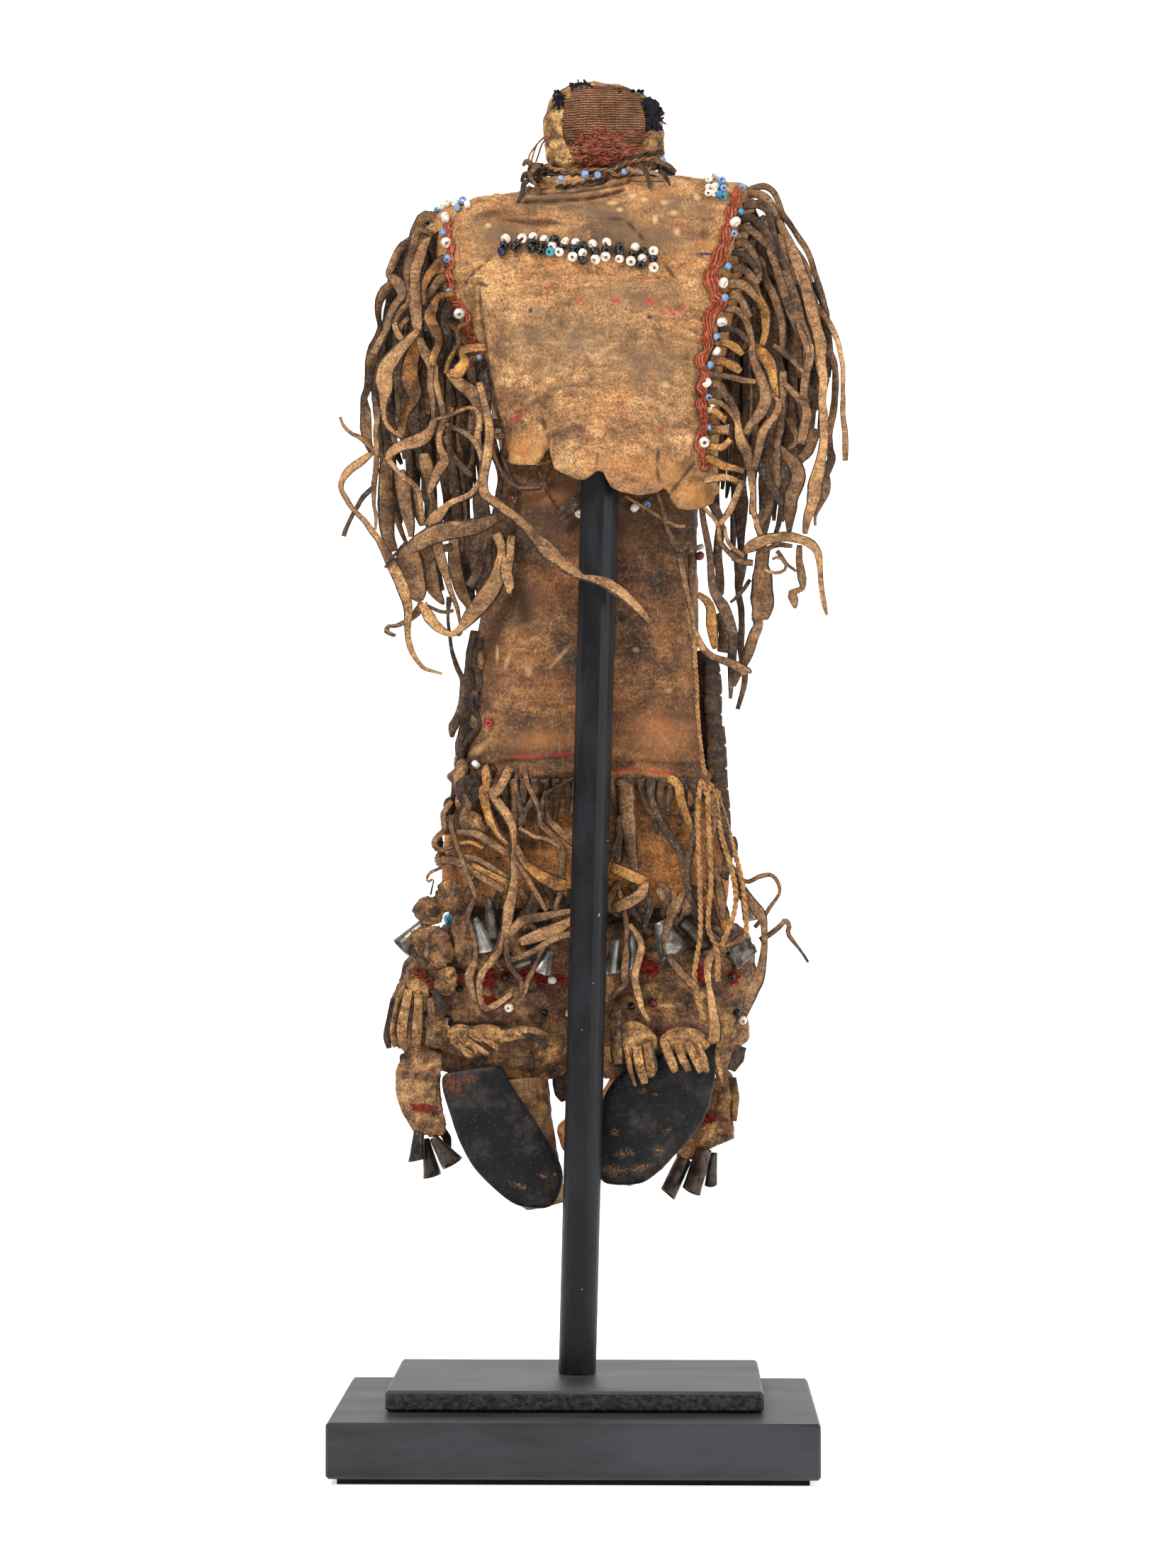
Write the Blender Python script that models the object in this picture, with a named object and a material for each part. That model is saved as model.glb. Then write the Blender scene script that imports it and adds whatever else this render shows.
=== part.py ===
# Beaded hide doll on its display stand, seen from the back.
# The doll's back faces -Y, and the origin is under the middle of the base, on the floor.
# Run with: blender --background --python part.py

import math

import bmesh
import bpy
from mathutils import Vector
from mathutils.bvhtree import BVHTree

MM = 0.001
GAP = 0.3 * MM                      # air left between pieces that touch

# Stand
BOARD_WIDTH = 140 * MM
BOARD_DEPTH = 91 * MM
BOARD_HEIGHT = 16 * MM
FELT_INSET = 3 * MM
FELT_HEIGHT = 1.5 * MM
PLATE_WIDTH = 109 * MM
PLATE_DEPTH = 67 * MM
PLATE_HEIGHT = 6 * MM
PLATE_SET_BACK = 7 * MM             # the plate sits this far past the board's middle
BOARD_EASE = 0.8 * MM               # rounding of the board's and plate's edges
ROD_DIAMETER = 11.2 * MM
ROD_DEPTH_PLACE = 11 * MM           # where the rod stands, along Y
ROD_LEAN = 7 * MM                   # how far its top stands to the right of its foot
ROD_TOP = 300 * MM                  # height of its upper end, under the cape

# Doll
DOLL_MIDDLE = 39 * MM               # the doll's middle plane, along Y
HIDE_THICKNESS = 1.2 * MM
THONG_THICKNESS = 1.3 * MM
BEAD_RADIUS = 1.35 * MM
SMALL_BEAD_RADIUS = 1.1 * MM
PONY_BEAD_RADIUS = 1.8 * MM
CONE_WALL = 0.45 * MM
SOLE_THICKNESS = 2.4 * MM
CORD_DIAMETER = 1.8 * MM
BEAD_HOLD = 0.5 * MM                # how far a sewn bead sinks into its yarn
YARN_LIFT = 1.0 * MM                # from the hide to the thickest part of a seam's yarn
BALL_CORNER = 1.12                  # a faceted bead's corners, over its radius

# The free forms are drawn on a sketch sheet of 1659 by 2212 units, as the eye sees them from
# behind the doll. A unit is a five-thousandth of the distance from the eye.
SHEET_MIDDLE = 829.5
SHEET_HORIZON = 1221
SHEET_REACH = 5000
EYE = Vector((23.5 * MM, -1045.8 * MM, 175.4 * MM))
EYE_TURN = math.radians(1.1)        # the eye looks this far to the left of +Y


def sight(across, down):
    """The direction from the eye through a point of the sketch sheet."""
    side = (across - SHEET_MIDDLE) / SHEET_REACH
    rise = (SHEET_HORIZON - down) / SHEET_REACH
    return Vector((side * math.cos(EYE_TURN) - math.sin(EYE_TURN),
                   math.cos(EYE_TURN) + side * math.sin(EYE_TURN),
                   rise))


def at(across, down, depth):
    """The point of the sketch sheet that lies in the plane y = depth."""
    ray = sight(across, down)
    return EYE + ray * ((depth - EYE.y) / ray.y)


def clear_scene():
    for thing in list(bpy.data.objects):
        bpy.data.objects.remove(thing, do_unlink=True)


def material(name, colour, roughness, metallic=0.0):
    made = bpy.data.materials.get(name)
    if made is None:
        made = bpy.data.materials.new(name)
        made.use_nodes = True
        shader = made.node_tree.nodes["Principled BSDF"]
        shader.inputs["Base Color"].default_value = (*colour, 1.0)
        shader.inputs["Roughness"].default_value = roughness
        shader.inputs["Metallic"].default_value = metallic
    return made


PAINT = ("stand paint", (0.045, 0.045, 0.05), 0.55)
FELT = ("felt", (0.02, 0.02, 0.02), 0.95)
HIDE = ("smoked hide", (0.36, 0.21, 0.09), 0.85)
DARK_HIDE = ("dark hide", (0.12, 0.07, 0.04), 0.8)
THONG = ("thong hide", (0.24, 0.14, 0.07), 0.85)
WOOL = ("brown wool", (0.25, 0.09, 0.05), 0.95)
BLACK_WOOL = ("black wool", (0.015, 0.015, 0.018), 0.95)
YARN = ("red yarn", (0.5, 0.12, 0.05), 0.9)
BEAD = ("glass beads", (0.7, 0.72, 0.75), 0.3)
SOLE = ("sole leather", (0.03, 0.03, 0.033), 0.6)
TIN = ("tin", (0.16, 0.15, 0.14), 0.45, 0.9)
CORD = ("twisted sinew", (0.45, 0.28, 0.12), 0.85)


def add_mesh(name, mesh, look):
    made = bpy.data.objects.new(name, mesh)
    bpy.context.collection.objects.link(made)
    mesh.materials.clear()
    mesh.materials.append(material(*look))
    return made


def add(name, shape, look, sharp_angle=50):
    """Turns a bmesh into a named object, shaded smooth except over sharp edges."""
    bmesh.ops.recalc_face_normals(shape, faces=shape.faces)
    mesh = bpy.data.meshes.new(name)
    shape.to_mesh(mesh)
    shape.free()
    mesh.shade_smooth()
    mesh.set_sharp_from_angle(angle=math.radians(sharp_angle))
    return add_mesh(name, mesh, look)


def join(shapes):
    """One bmesh that holds all the given ones as separate bodies."""
    whole = bmesh.new()
    for shape in shapes:
        bmesh.ops.recalc_face_normals(shape, faces=shape.faces)
        copy = bpy.data.meshes.new("part")
        shape.to_mesh(copy)
        shape.free()
        whole.from_mesh(copy)
        bpy.data.meshes.remove(copy)
    return whole


def evaluated_mesh(thing):
    bpy.context.view_layer.update()
    graph = bpy.context.evaluated_depsgraph_get()
    return bpy.data.meshes.new_from_object(thing.evaluated_get(graph))


def fuse(name, shapes, look):
    """Unites overlapping bodies into one closed body."""
    first = add(name, shapes[0], look)
    rest = add(name + "_rest", join(shapes[1:]), look)
    union = first.modifiers.new("union", "BOOLEAN")
    union.operation = "UNION"
    union.solver = "EXACT"
    union.use_self = True
    union.object = rest
    mesh = evaluated_mesh(first)
    for thing in (first, rest):
        bpy.data.objects.remove(thing, do_unlink=True)
    mesh.name = name
    return add_mesh(name, mesh, look)


def loft(rings):
    """A closed body through rings of points, with flat end caps."""
    shape = bmesh.new()
    loops = [[shape.verts.new(point) for point in ring] for ring in rings]
    count = len(rings[0])
    for lower, upper in zip(loops, loops[1:]):
        for i in range(count):
            j = (i + 1) % count
            shape.faces.new((lower[i], lower[j], upper[j], upper[i]))
    shape.faces.new(list(reversed(loops[0])))
    shape.faces.new(loops[-1])
    return shape


def flat_ring(left, right, middle, half_depth, count, squareness=2.6):
    """Points round a flattened oval. left and right are its ends, as points of the sheet."""
    left_end = at(*left, middle)
    right_end = at(*right, middle)
    points = []
    for i in range(count):
        turn = 2 * math.pi * i / count
        across = math.copysign(abs(math.cos(turn)) ** (2 / squareness), math.cos(turn))
        deep = math.copysign(abs(math.sin(turn)) ** (2 / squareness), math.sin(turn))
        point = left_end.lerp(right_end, (across + 1) / 2)
        points.append(point + Vector((0, deep * half_depth, 0)))
    return points


def along(values, share):
    """The value at a share of the way through an evenly spaced list."""
    place = share * (len(values) - 1)
    low = min(int(place), len(values) - 2)
    return values[low] + (values[low + 1] - values[low]) * (place - low)


def smooth_route(points, steps):
    """Points along a smooth curve through the given points, evenly spaced by share."""
    route = []
    last = len(points) - 1
    for k in range(steps + 1):
        place = k * last / steps
        i = min(int(place), last - 1)
        t = place - i
        a = points[max(i - 1, 0)]
        b = points[i]
        c = points[i + 1]
        d = points[min(i + 2, last)]
        route.append(0.5 * (2 * b + (c - a) * t + (2 * a - 5 * b + 4 * c - d) * t ** 2
                            + (3 * b - a - 3 * c + d) * t ** 3))
    return route


def sweep(route, outline_at):
    """A closed body whose outline, (side, outward) pairs, follows a route."""
    rings = []
    for k, point in enumerate(route):
        ahead = (route[min(k + 1, len(route) - 1)] - route[max(k - 1, 0)]).normalized()
        side = ahead.cross(Vector((0, 1, 0)))
        if side.length < 0.2:
            side = Vector((1, 0, 0))
        side.normalize()
        out = side.cross(ahead).normalized()
        share = k / (len(route) - 1)
        rings.append([point + side * s + out * o for s, o in outline_at(share)])
    return loft(rings)


def thong(points, widths, depths, steps, thickness=THONG_THICKNESS, root=None):
    """A flat strip of hide. points and widths are on the sheet, depths are in millimetres.

    root, where it is given, is the point that the strip starts from instead of its first one."""
    count = len(points) - 1
    route = [at(x, y, along(depths, k / count) * MM) for k, (x, y) in enumerate(points)]
    if root:
        route[0] = root
    unit = 1 / SHEET_REACH

    def outline(share):
        half = along(widths, share) * unit / 2
        return [(-half, -thickness / 2), (half, -thickness / 2),
                (half, thickness / 2), (-half, thickness / 2)]

    return sweep(smooth_route(route, steps), outline)


def tube(route, radii, sides=6):
    """A round body along a route. radii are spread evenly along it."""
    def outline(share):
        radius = along(radii, share)
        return [(radius * math.cos(2 * math.pi * i / sides), radius * math.sin(2 * math.pi * i / sides))
                for i in range(sides)]

    return sweep(route, outline)


def closed_tube(route, radius, sides=6):
    """A ring-shaped body along a closed route round the Z axis."""
    shape = bmesh.new()
    count = len(route)
    loops = []
    for k, point in enumerate(route):
        ahead = (route[(k + 1) % count] - route[k - 1]).normalized()
        out = ahead.cross(Vector((0, 0, 1))).normalized()
        up = out.cross(ahead)
        swell = radius * (1.12 if k % 2 else 0.94)      # the lashing's twists
        loops.append([shape.verts.new(point + out * swell * math.cos(2 * math.pi * i / sides)
                                      + up * swell * math.sin(2 * math.pi * i / sides))
                      for i in range(sides)])
    for k in range(count):
        for i in range(sides):
            j = (i + 1) % sides
            shape.faces.new((loops[k][i], loops[k][j],
                             loops[(k + 1) % count][j], loops[(k + 1) % count][i]))
    return shape


def ball(centre, radius):
    """A bead, with few faces. Its corners stand out so that its mean size is right."""
    shape = bmesh.new()
    bmesh.ops.create_icosphere(shape, subdivisions=1, radius=radius * BALL_CORNER)
    bmesh.ops.translate(shape, verts=shape.verts, vec=centre)
    return shape


def slab(outline, depth_front, thickness):
    """A flat piece of hide or leather with an outline on the sheet, facing the eye."""
    shape = bmesh.new()
    near = [shape.verts.new(at(x, y, depth_front)) for x, y in outline]
    far = [shape.verts.new(vert.co + Vector((0, thickness, 0))) for vert in near]
    shape.faces.new(near)
    shape.faces.new(list(reversed(far)))
    count = len(outline)
    for i in range(count):
        j = (i + 1) % count
        shape.faces.new((near[j], near[i], far[i], far[j]))
    return shape


def nearest_on(route, point):
    """The point of a route of straight stretches that is nearest to a given point."""
    best = None
    for a, b in zip(route, route[1:]):
        share = max(0.0, min(1.0, (point - a).dot(b - a) / (b - a).length_squared))
        place = a.lerp(b, share)
        if best is None or (point - place).length < (point - best).length:
            best = place
    return best


def surface_of(thing):
    mesh = evaluated_mesh(thing)
    tree = BVHTree.FromPolygons([v.co.copy() for v in mesh.vertices],
                                [tuple(p.vertices) for p in mesh.polygons])
    bpy.data.meshes.remove(mesh)
    return tree


def lay_on(tree, across, down, lift):
    """The point above a surface, at a given distance, that the eye sees at a point of the sheet."""
    ray = sight(across, down).normalized()
    hit = tree.ray_cast(EYE, ray)[0]
    if hit is None:                 # just outside the outline, so it lies on the piece's edge
        hit = at(across, down, DOLL_MIDDLE)
    point = hit - ray * lift
    for _ in range(12):
        near, _, _, distance = tree.find_nearest(point)
        point += (point - near).normalized() * (lift - distance)
    return point


def bevelled_box(name, size, place, ease, look):
    shape = bmesh.new()
    bmesh.ops.create_cube(shape, size=1.0)
    bmesh.ops.scale(shape, vec=size, verts=shape.verts)
    bmesh.ops.translate(shape, vec=place, verts=shape.verts)
    if ease:
        bmesh.ops.bevel(shape, geom=shape.edges, offset=ease, segments=1, affect="EDGES", profile=0.5)
    return add(name, shape, look, 30)


def make_stand():
    felt_top = FELT_HEIGHT
    board_bottom = felt_top + GAP
    board_top = board_bottom + BOARD_HEIGHT
    plate_bottom = board_top + GAP
    plate_top = plate_bottom + PLATE_HEIGHT
    bevelled_box("base_felt",
                 (BOARD_WIDTH - 2 * FELT_INSET, BOARD_DEPTH - 2 * FELT_INSET, FELT_HEIGHT),
                 (0, 0, FELT_HEIGHT / 2), 0, FELT)
    bevelled_box("base_board", (BOARD_WIDTH, BOARD_DEPTH, BOARD_HEIGHT),
                 (0, 0, board_bottom + BOARD_HEIGHT / 2), BOARD_EASE, PAINT)
    bevelled_box("base_plate", (PLATE_WIDTH, PLATE_DEPTH, PLATE_HEIGHT),
                 (0, PLATE_SET_BACK, plate_bottom + PLATE_HEIGHT / 2), BOARD_EASE, PAINT)
    foot = Vector((0, ROD_DEPTH_PLACE, plate_top + GAP))
    top = Vector((ROD_LEAN, ROD_DEPTH_PLACE, ROD_TOP))
    sides = 24
    rings = []
    for centre in (foot, top):
        rings.append([centre + Vector((math.cos(2 * math.pi * i / sides),
                                       math.sin(2 * math.pi * i / sides), 0)) * (ROD_DIAMETER / 2)
                      for i in range(sides)])
    add("support_rod", loft(rings), PAINT, 30)


# Head: each line is (left x, left y, right x, right y, half depth in millimetres) on the sheet
HEAD_RINGS = [
    (790, 261, 910, 258, 10.5),
    (786, 242, 914, 238, 11),
    (782, 226, 918, 222, 11.6),
    (767, 213, 934, 209, 13.8),
    (765, 196, 938, 194, 14.5),
    (768, 168, 936, 172, 14.5),
    (775, 147, 929, 155, 13.2),
    (789, 130, 912, 142, 10.5),
    (810, 122, 886, 130, 7),
]


def make_head():
    rings = [flat_ring((lx, ly), (rx, ry), DOLL_MIDDLE, half * MM, 16, 2.3)
             for lx, ly, rx, ry, half in HEAD_RINGS]
    head = add("head", loft(rings), HIDE)
    return head


def patch(tree, rows, lift, thickness):
    """A thin piece laid on a surface. rows are rows of points on the sheet, top to bottom."""
    shape = bmesh.new()
    inner = [[shape.verts.new(lay_on(tree, x, y, lift)) for x, y in row] for row in rows]
    outer = [[shape.verts.new(lay_on(tree, x, y, lift + thickness)) for x, y in row] for row in rows]
    tall = len(rows) - 1
    wide = len(rows[0]) - 1
    for r in range(tall):
        for c in range(wide):
            shape.faces.new((outer[r][c], outer[r + 1][c], outer[r + 1][c + 1], outer[r][c + 1]))
            shape.faces.new((inner[r][c], inner[r][c + 1], inner[r + 1][c + 1], inner[r + 1][c]))
    rim = ([(0, c) for c in range(wide)] + [(r, wide) for r in range(tall)]
           + [(tall, c) for c in range(wide, 0, -1)] + [(r, 0) for r in range(tall, 0, -1)])
    for k, (r, c) in enumerate(rim):
        s, t = rim[(k + 1) % len(rim)]
        shape.faces.new((inner[r][c], outer[r][c], outer[s][t], inner[s][t]))
    return shape


def make_head_trim(head):
    tree = surface_of(head)
    columns = 6
    rows = []
    for level, left, right in ((136, 800, 902), (156, 792, 908), (176, 789, 911), (194, 788, 912),
                               (209, 798, 903)):
        rows.append([(left + (right - left) * c / (columns - 1), level + 5 * c / (columns - 1))
                     for c in range(columns)])
    add("head_cloth", patch(tree, rows, 0.9 * MM, 0.7 * MM), WOOL)
    edging = [(776, 152), (781, 138), (793, 126), (815, 118), (840, 117),
              (865, 121), (890, 126), (915, 137), (930, 152), (933, 170), (926, 187)]
    radii = [0.8, 1.6, 1.1, 1.5, 1.0, 0.7, 0.7, 1.2, 2.0, 2.1, 1.2]
    lift = 2.9 * MM
    route = smooth_route([lay_on(tree, x, y, lift) for x, y in edging], 14)
    add("head_wool_edging", tube(route, [r * MM for r in radii], 5), BLACK_WOOL)


def make_neck_lashing():
    """Two turns of twisted hide round the neck, their knots, loose ends and a few beads."""
    shapes = []
    turns = ((238, 231, 85), (250, 244, 87))
    for left_y, right_y, half_width in turns:
        route = flat_ring((850 - half_width, left_y), (850 + half_width, right_y),
                          DOLL_MIDDLE, 14.2 * MM, 16, 2.2)
        shapes.append(closed_tube(route, 1.75 * MM, 5))
    for x, y in ((757, 245), (934, 239)):
        shapes.append(ball(at(x, y, 32.5 * MM), 3.1 * MM))
    for points in (((757, 246), (742, 264), (733, 282)), ((932, 241), (944, 252), (949, 264))):
        shapes.append(thong(points, (9, 8, 5), (29.5, 20, 17), 2))
    for x, y in ((803, 238), (825, 239), (881, 237)):
        shapes.append(ball(at(x, y, 24.4 * MM), SMALL_BEAD_RADIUS))
    fuse("neck_lashing", shapes, DARK_HIDE)


# Cape rings, top to bottom: left end, right end, half depth in millimetres
CAPE_RINGS = [
    (780, 265, 922, 259, 13.4),
    (756, 276, 945, 262, 15),
    (704, 287, 1000, 260, 17),
    (642, 294, 1048, 264, 19),
    (616, 306, 1063, 276, 20.5),
    (612, 345, 1063, 315, 22),
    (617, 412, 1048, 385, 22.8),
    (646, 475, 1031, 465, 23),
    (667, 525, 1020, 530, 23),
    (682, 590, 1011, 592, 23),
    (690, 650, 1009, 650, 23),
]
CAPE_BACK_STEPS = 14
CAPE_FRONT_STEPS = 8
HEM_LEVEL = 650
# The torn hem of the back, as points of the sheet
HEM = [(690, 652), (723, 653), (753, 656), (779, 633), (789, 633), (825, 676), (845, 664), (864, 690),
       (912, 699), (943, 710), (968, 720), (1002, 707), (1012, 690)]
FRONT_HEM_DROP = 10                 # the front's hem hangs this far below the level
TENT_HALF_WIDTH = 9 * MM            # the hide hangs flat over the rod's end this far each way
TENT_FADE = 13 * MM
TENT_RISE = 9 * MM                  # how far above the rod's end it is still pushed out
TENT_FADE_UP = 26 * MM


def hem_drop(across):
    """How far the hem hangs below its level, in units of the sheet."""
    for (x0, y0), (x1, y1) in zip(HEM, HEM[1:]):
        if x0 <= across <= x1:
            return y0 + (y1 - y0) * (across - x0) / (x1 - x0) - HEM_LEVEL
    return 0.0


def fade(distance, start, length):
    """1 up to start, then falling smoothly to 0 over length."""
    share = min(1.0, max(0.0, 1 - (distance - start) / length))
    return share * share * (3 - 2 * share)


def tent(point):
    """How far the hide is pushed out where it hangs over the rod's end."""
    beside = abs(point.x - ROD_LEAN * point.z / ROD_TOP)
    return (fade(beside, TENT_HALF_WIDTH, TENT_FADE)
            * fade(point.z - ROD_TOP, TENT_RISE, TENT_FADE_UP))


def garment_ring(left, right, half_depth, squareness=2.5):
    """Points round the cape, each with a mark that says whether it is on the back."""
    left_end = at(*left, DOLL_MIDDLE)
    right_end = at(*right, DOLL_MIDDLE)
    ring = []
    for steps, side in ((CAPE_BACK_STEPS, -1), (CAPE_FRONT_STEPS, 1)):
        for k in range(steps):
            even = 2 * k / steps - 1
            across = -side * (0.6 * even + 0.4 * math.sin(math.pi / 2 * even))
            deep = side * (1 - abs(across) ** squareness) ** (1 / squareness)
            point = left_end.lerp(right_end, (across + 1) / 2)
            ring.append((point + Vector((0, deep * half_depth, 0)), side < 0 or k == 0))
    return ring


def make_cape():
    shape = bmesh.new()
    loops = []
    rod_front = ROD_DEPTH_PLACE - ROD_DIAMETER / 2 - HIDE_THICKNESS - 2 * GAP
    for number, (lx, ly, rx, ry, half) in enumerate(CAPE_RINGS):
        hanging = max(0.0, 4 * number / (len(CAPE_RINGS) - 1) - 3)
        loop = []
        for point, back in garment_ring((lx, ly), (rx, ry), half * MM):
            reach = point.y - EYE.y
            across = SHEET_MIDDLE + SHEET_REACH * ((point.x - EYE.x) / reach + math.tan(EYE_TURN))
            drop = hem_drop(across) if back else FRONT_HEM_DROP
            point.z -= drop * hanging * reach / SHEET_REACH
            if back:
                point.y += (min(point.y, rod_front) - point.y) * tent(point)
            loop.append(shape.verts.new(point))
        loops.append(loop)
    count = CAPE_BACK_STEPS + CAPE_FRONT_STEPS
    for upper, lower in zip(loops, loops[1:]):
        for i in range(count):
            j = (i + 1) % count
            shape.faces.new((lower[i], lower[j], upper[j], upper[i]))
    cape = add("cape", shape, HIDE)
    wall = cape.modifiers.new("hide thickness", "SOLIDIFY")
    wall.thickness = HIDE_THICKNESS
    wall.offset = -1
    return cape


# Body rings, top to bottom
BODY_RINGS = [
    (800, 267, 900, 265, 9.5),
    (755, 300, 945, 290, 13),
    (704, 332, 985, 318, 15.5),
    (694, 380, 996, 370, 16.5),
    (694, 450, 992, 445, 17),
    (708, 570, 984, 570, 17.5),
    (708, 670, 984, 670, 18),
    (671, 900, 984, 900, 18.5),
    (662, 1029, 986, 1029, 18.5),
    (646, 1075, 994, 1082, 18.8),
    (643, 1096, 997, 1102, 18.6),
    (652, 1106, 988, 1109, 17.2),
]


def make_body():
    rings = [flat_ring((lx, ly), (rx, ry), DOLL_MIDDLE, half * MM, 18, 2.7)
             for lx, ly, rx, ry, half in BODY_RINGS]
    return add("body", loft(rings), HIDE)


LOWER_SKIRT_RINGS = [
    (655, 1109, 985, 1113, 14.5),
    (634, 1140, 1018, 1142, 15),
    (622, 1190, 1030, 1190, 15),
    (614, 1240, 1040, 1240, 15.5),
    (618, 1272, 1040, 1276, 16),
    (628, 1284, 1030, 1288, 15),
]


def make_lower_skirt():
    rings = [flat_ring((lx, ly), (rx, ry), DOLL_MIDDLE + 1.5 * MM, half * MM, 18, 2.5)
             for lx, ly, rx, ry, half in LOWER_SKIRT_RINGS]
    return add("lower_skirt", loft(rings), HIDE)


LEFT_LEG_RINGS = [
    (640, 1290, 824, 1294, 13),
    (590, 1315, 826, 1315, 14.5),
    (566, 1360, 828, 1360, 15.5),
    (552, 1425, 828, 1425, 16),
    (556, 1468, 822, 1478, 15.5),
    (590, 1497, 806, 1510, 14),
]
RIGHT_LEG_RINGS = [
    (832, 1294, 1020, 1296, 13),
    (831, 1315, 1060, 1318, 14.5),
    (831, 1360, 1068, 1360, 15.5),
    (831, 1425, 1056, 1425, 16),
    (834, 1478, 1050, 1470, 15.5),
    (850, 1510, 1030, 1502, 14),
]


def make_leggings():
    for name, lines in (("left_legging", LEFT_LEG_RINGS), ("right_legging", RIGHT_LEG_RINGS)):
        rings = [flat_ring((lx, ly), (rx, ry), DOLL_MIDDLE + 2.5 * MM, half * MM, 16, 2.4)
                 for lx, ly, rx, ry, half in lines]
        add(name, loft(rings), HIDE)


LEFT_SOLE = [(624, 1521), (660, 1508), (706, 1505), (719, 1528), (752, 1576), (782, 1624), (794, 1655),
             (790, 1682), (776, 1702), (748, 1704), (718, 1694), (674, 1654), (652, 1618), (637, 1578)]
RIGHT_SOLE = [(1013, 1470), (1010, 1512), (1000, 1560), (984, 1593), (952, 1630), (918, 1662),
              (893, 1671), (852, 1668), (844, 1640), (843, 1590), (853, 1545), (881, 1511), (930, 1488),
              (980, 1472)]
SOLE_DEPTH = 21 * MM
# Foot sections from ankle to toe: left end, right end, half depth in millimetres
LEFT_FOOT_RINGS = [
    (640, 1526, 772, 1516, 12),
    (644, 1560, 776, 1540, 12.5),
    (664, 1600, 779, 1580, 11.5),
    (690, 1645, 788, 1628, 9.5),
    (716, 1680, 794, 1664, 7),
    (745, 1702, 798, 1690, 4.5),
]
RIGHT_FOOT_RINGS = [
    (862, 1520, 996, 1514, 12),
    (838, 1552, 988, 1560, 12.5),
    (793, 1582, 970, 1596, 11.5),
    (790, 1606, 944, 1634, 9.5),
    (806, 1634, 920, 1656, 7),
    (838, 1656, 890, 1668, 4.5),
]


def make_feet():
    add("left_sole", slab(LEFT_SOLE, SOLE_DEPTH, SOLE_THICKNESS), SOLE, 30)
    add("right_sole", slab(RIGHT_SOLE, SOLE_DEPTH, SOLE_THICKNESS), SOLE, 30)
    front = SOLE_DEPTH + SOLE_THICKNESS + GAP
    for name, lines in (("left_foot", LEFT_FOOT_RINGS), ("right_foot", RIGHT_FOOT_RINGS)):
        rings = [flat_ring((lx, ly), (rx, ry), front + half * MM, half * MM, 14, 2.2)
                 for lx, ly, rx, ry, half in lines]
        add(name, loft(rings), HIDE)


# The yarn that closes each side seam, on the sheet, and the beads sewn beside it
LEFT_YARN = [(636, 316), (632, 331), (637, 354), (635, 385), (637, 421), (648, 432), (659, 446),
             (662, 466), (668, 481), (677, 493), (683, 503)]
LEFT_YARN_BEADS = [(630, 342, 0), (633, 365, 1), (635, 412, 1), (649, 442, 0), (651, 458, 1),
                   (665, 491, 0), (680, 504, 1)]
RIGHT_YARN = [(1040, 266), (1041, 286), (1031, 309), (1029, 330), (1018, 353), (1011, 378),
              (1008, 399), (1013, 424), (1003, 444), (997, 462), (997, 488), (989, 511), (992, 526),
              (989, 541), (992, 559), (990, 577), (994, 598), (985, 618), (988, 640), (992, 660)]
RIGHT_YARN_BEADS = [(1045, 300, 1), (1036, 313, 0), (1025, 376, 1), (1021, 399, 0), (1017, 455, 0),
                    (1010, 476, 1), (1009, 495, 0), (1000, 516, 1), (997, 540, 0), (1001, 577, 0),
                    (992, 620, 0)]


def make_seam(name, tree, route, beads, radii):
    """A yarn laid along a side seam with beads sewn through it."""
    lift = max(radii) * MM + YARN_LIFT
    points = [lay_on(tree, x, y, lift) for x, y in route]
    shapes = [tube(points, [r * MM for r in radii], 4)]
    for x, y, small in beads:
        radius = SMALL_BEAD_RADIUS if small else PONY_BEAD_RADIUS
        centre = lay_on(tree, x, y, radius * BALL_CORNER + GAP)
        anchor = nearest_on(points, centre)
        reach = min((centre - anchor).length, radius + min(radii) * MM - BEAD_HOLD)
        shapes.append(ball(anchor + (centre - anchor).normalized() * reach, radius))
    fuse(name, shapes, YARN)


# The white and black bead lane across the back, in slanted stacks
LANE_START = (714, 336)
LANE_END = (922, 372)
LANE_COUNTS = (3, 2, 2, 2, 2, 2, 2, 2, 2, 2, 2, 2, 2)
LANE_BEAD_STEP = 11                 # from bead to bead down a stack, in units of the sheet


def make_bead_lane(tree):
    shapes = []
    thread = []
    for k, count in enumerate(LANE_COUNTS):
        share = k / (len(LANE_COUNTS) - 1)
        x = LANE_START[0] + (LANE_END[0] - LANE_START[0]) * share
        y = LANE_START[1] + (LANE_END[1] - LANE_START[1]) * share
        thread.append(lay_on(tree, x - 3, y + LANE_BEAD_STEP, 1.2 * MM))
        for b in range(count):
            centre = lay_on(tree, x - 3 * b, y + LANE_BEAD_STEP * b, BEAD_RADIUS * BALL_CORNER + GAP)
            shapes.append(ball(centre, BEAD_RADIUS))
    fuse("back_bead_lane", [tube(thread, [0.6 * MM, 0.6 * MM], 3)] + shapes, BEAD)


def make_shoulder_beads(tree):
    left = [(630, 304), (643, 300), (656, 297)]
    right = [(1000, 258), (1010, 260), (1018, 268), (1009, 273), (999, 270)]
    for name, places in (("left_shoulder_beads", left), ("right_shoulder_beads", right)):
        centres = [lay_on(tree, x, y, BEAD_RADIUS * BALL_CORNER + GAP) for x, y in places]
        thread = tube(centres, [0.5 * MM, 0.5 * MM], 3)
        fuse(name, [thread] + [ball(c, BEAD_RADIUS) for c in centres], BEAD)


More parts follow.
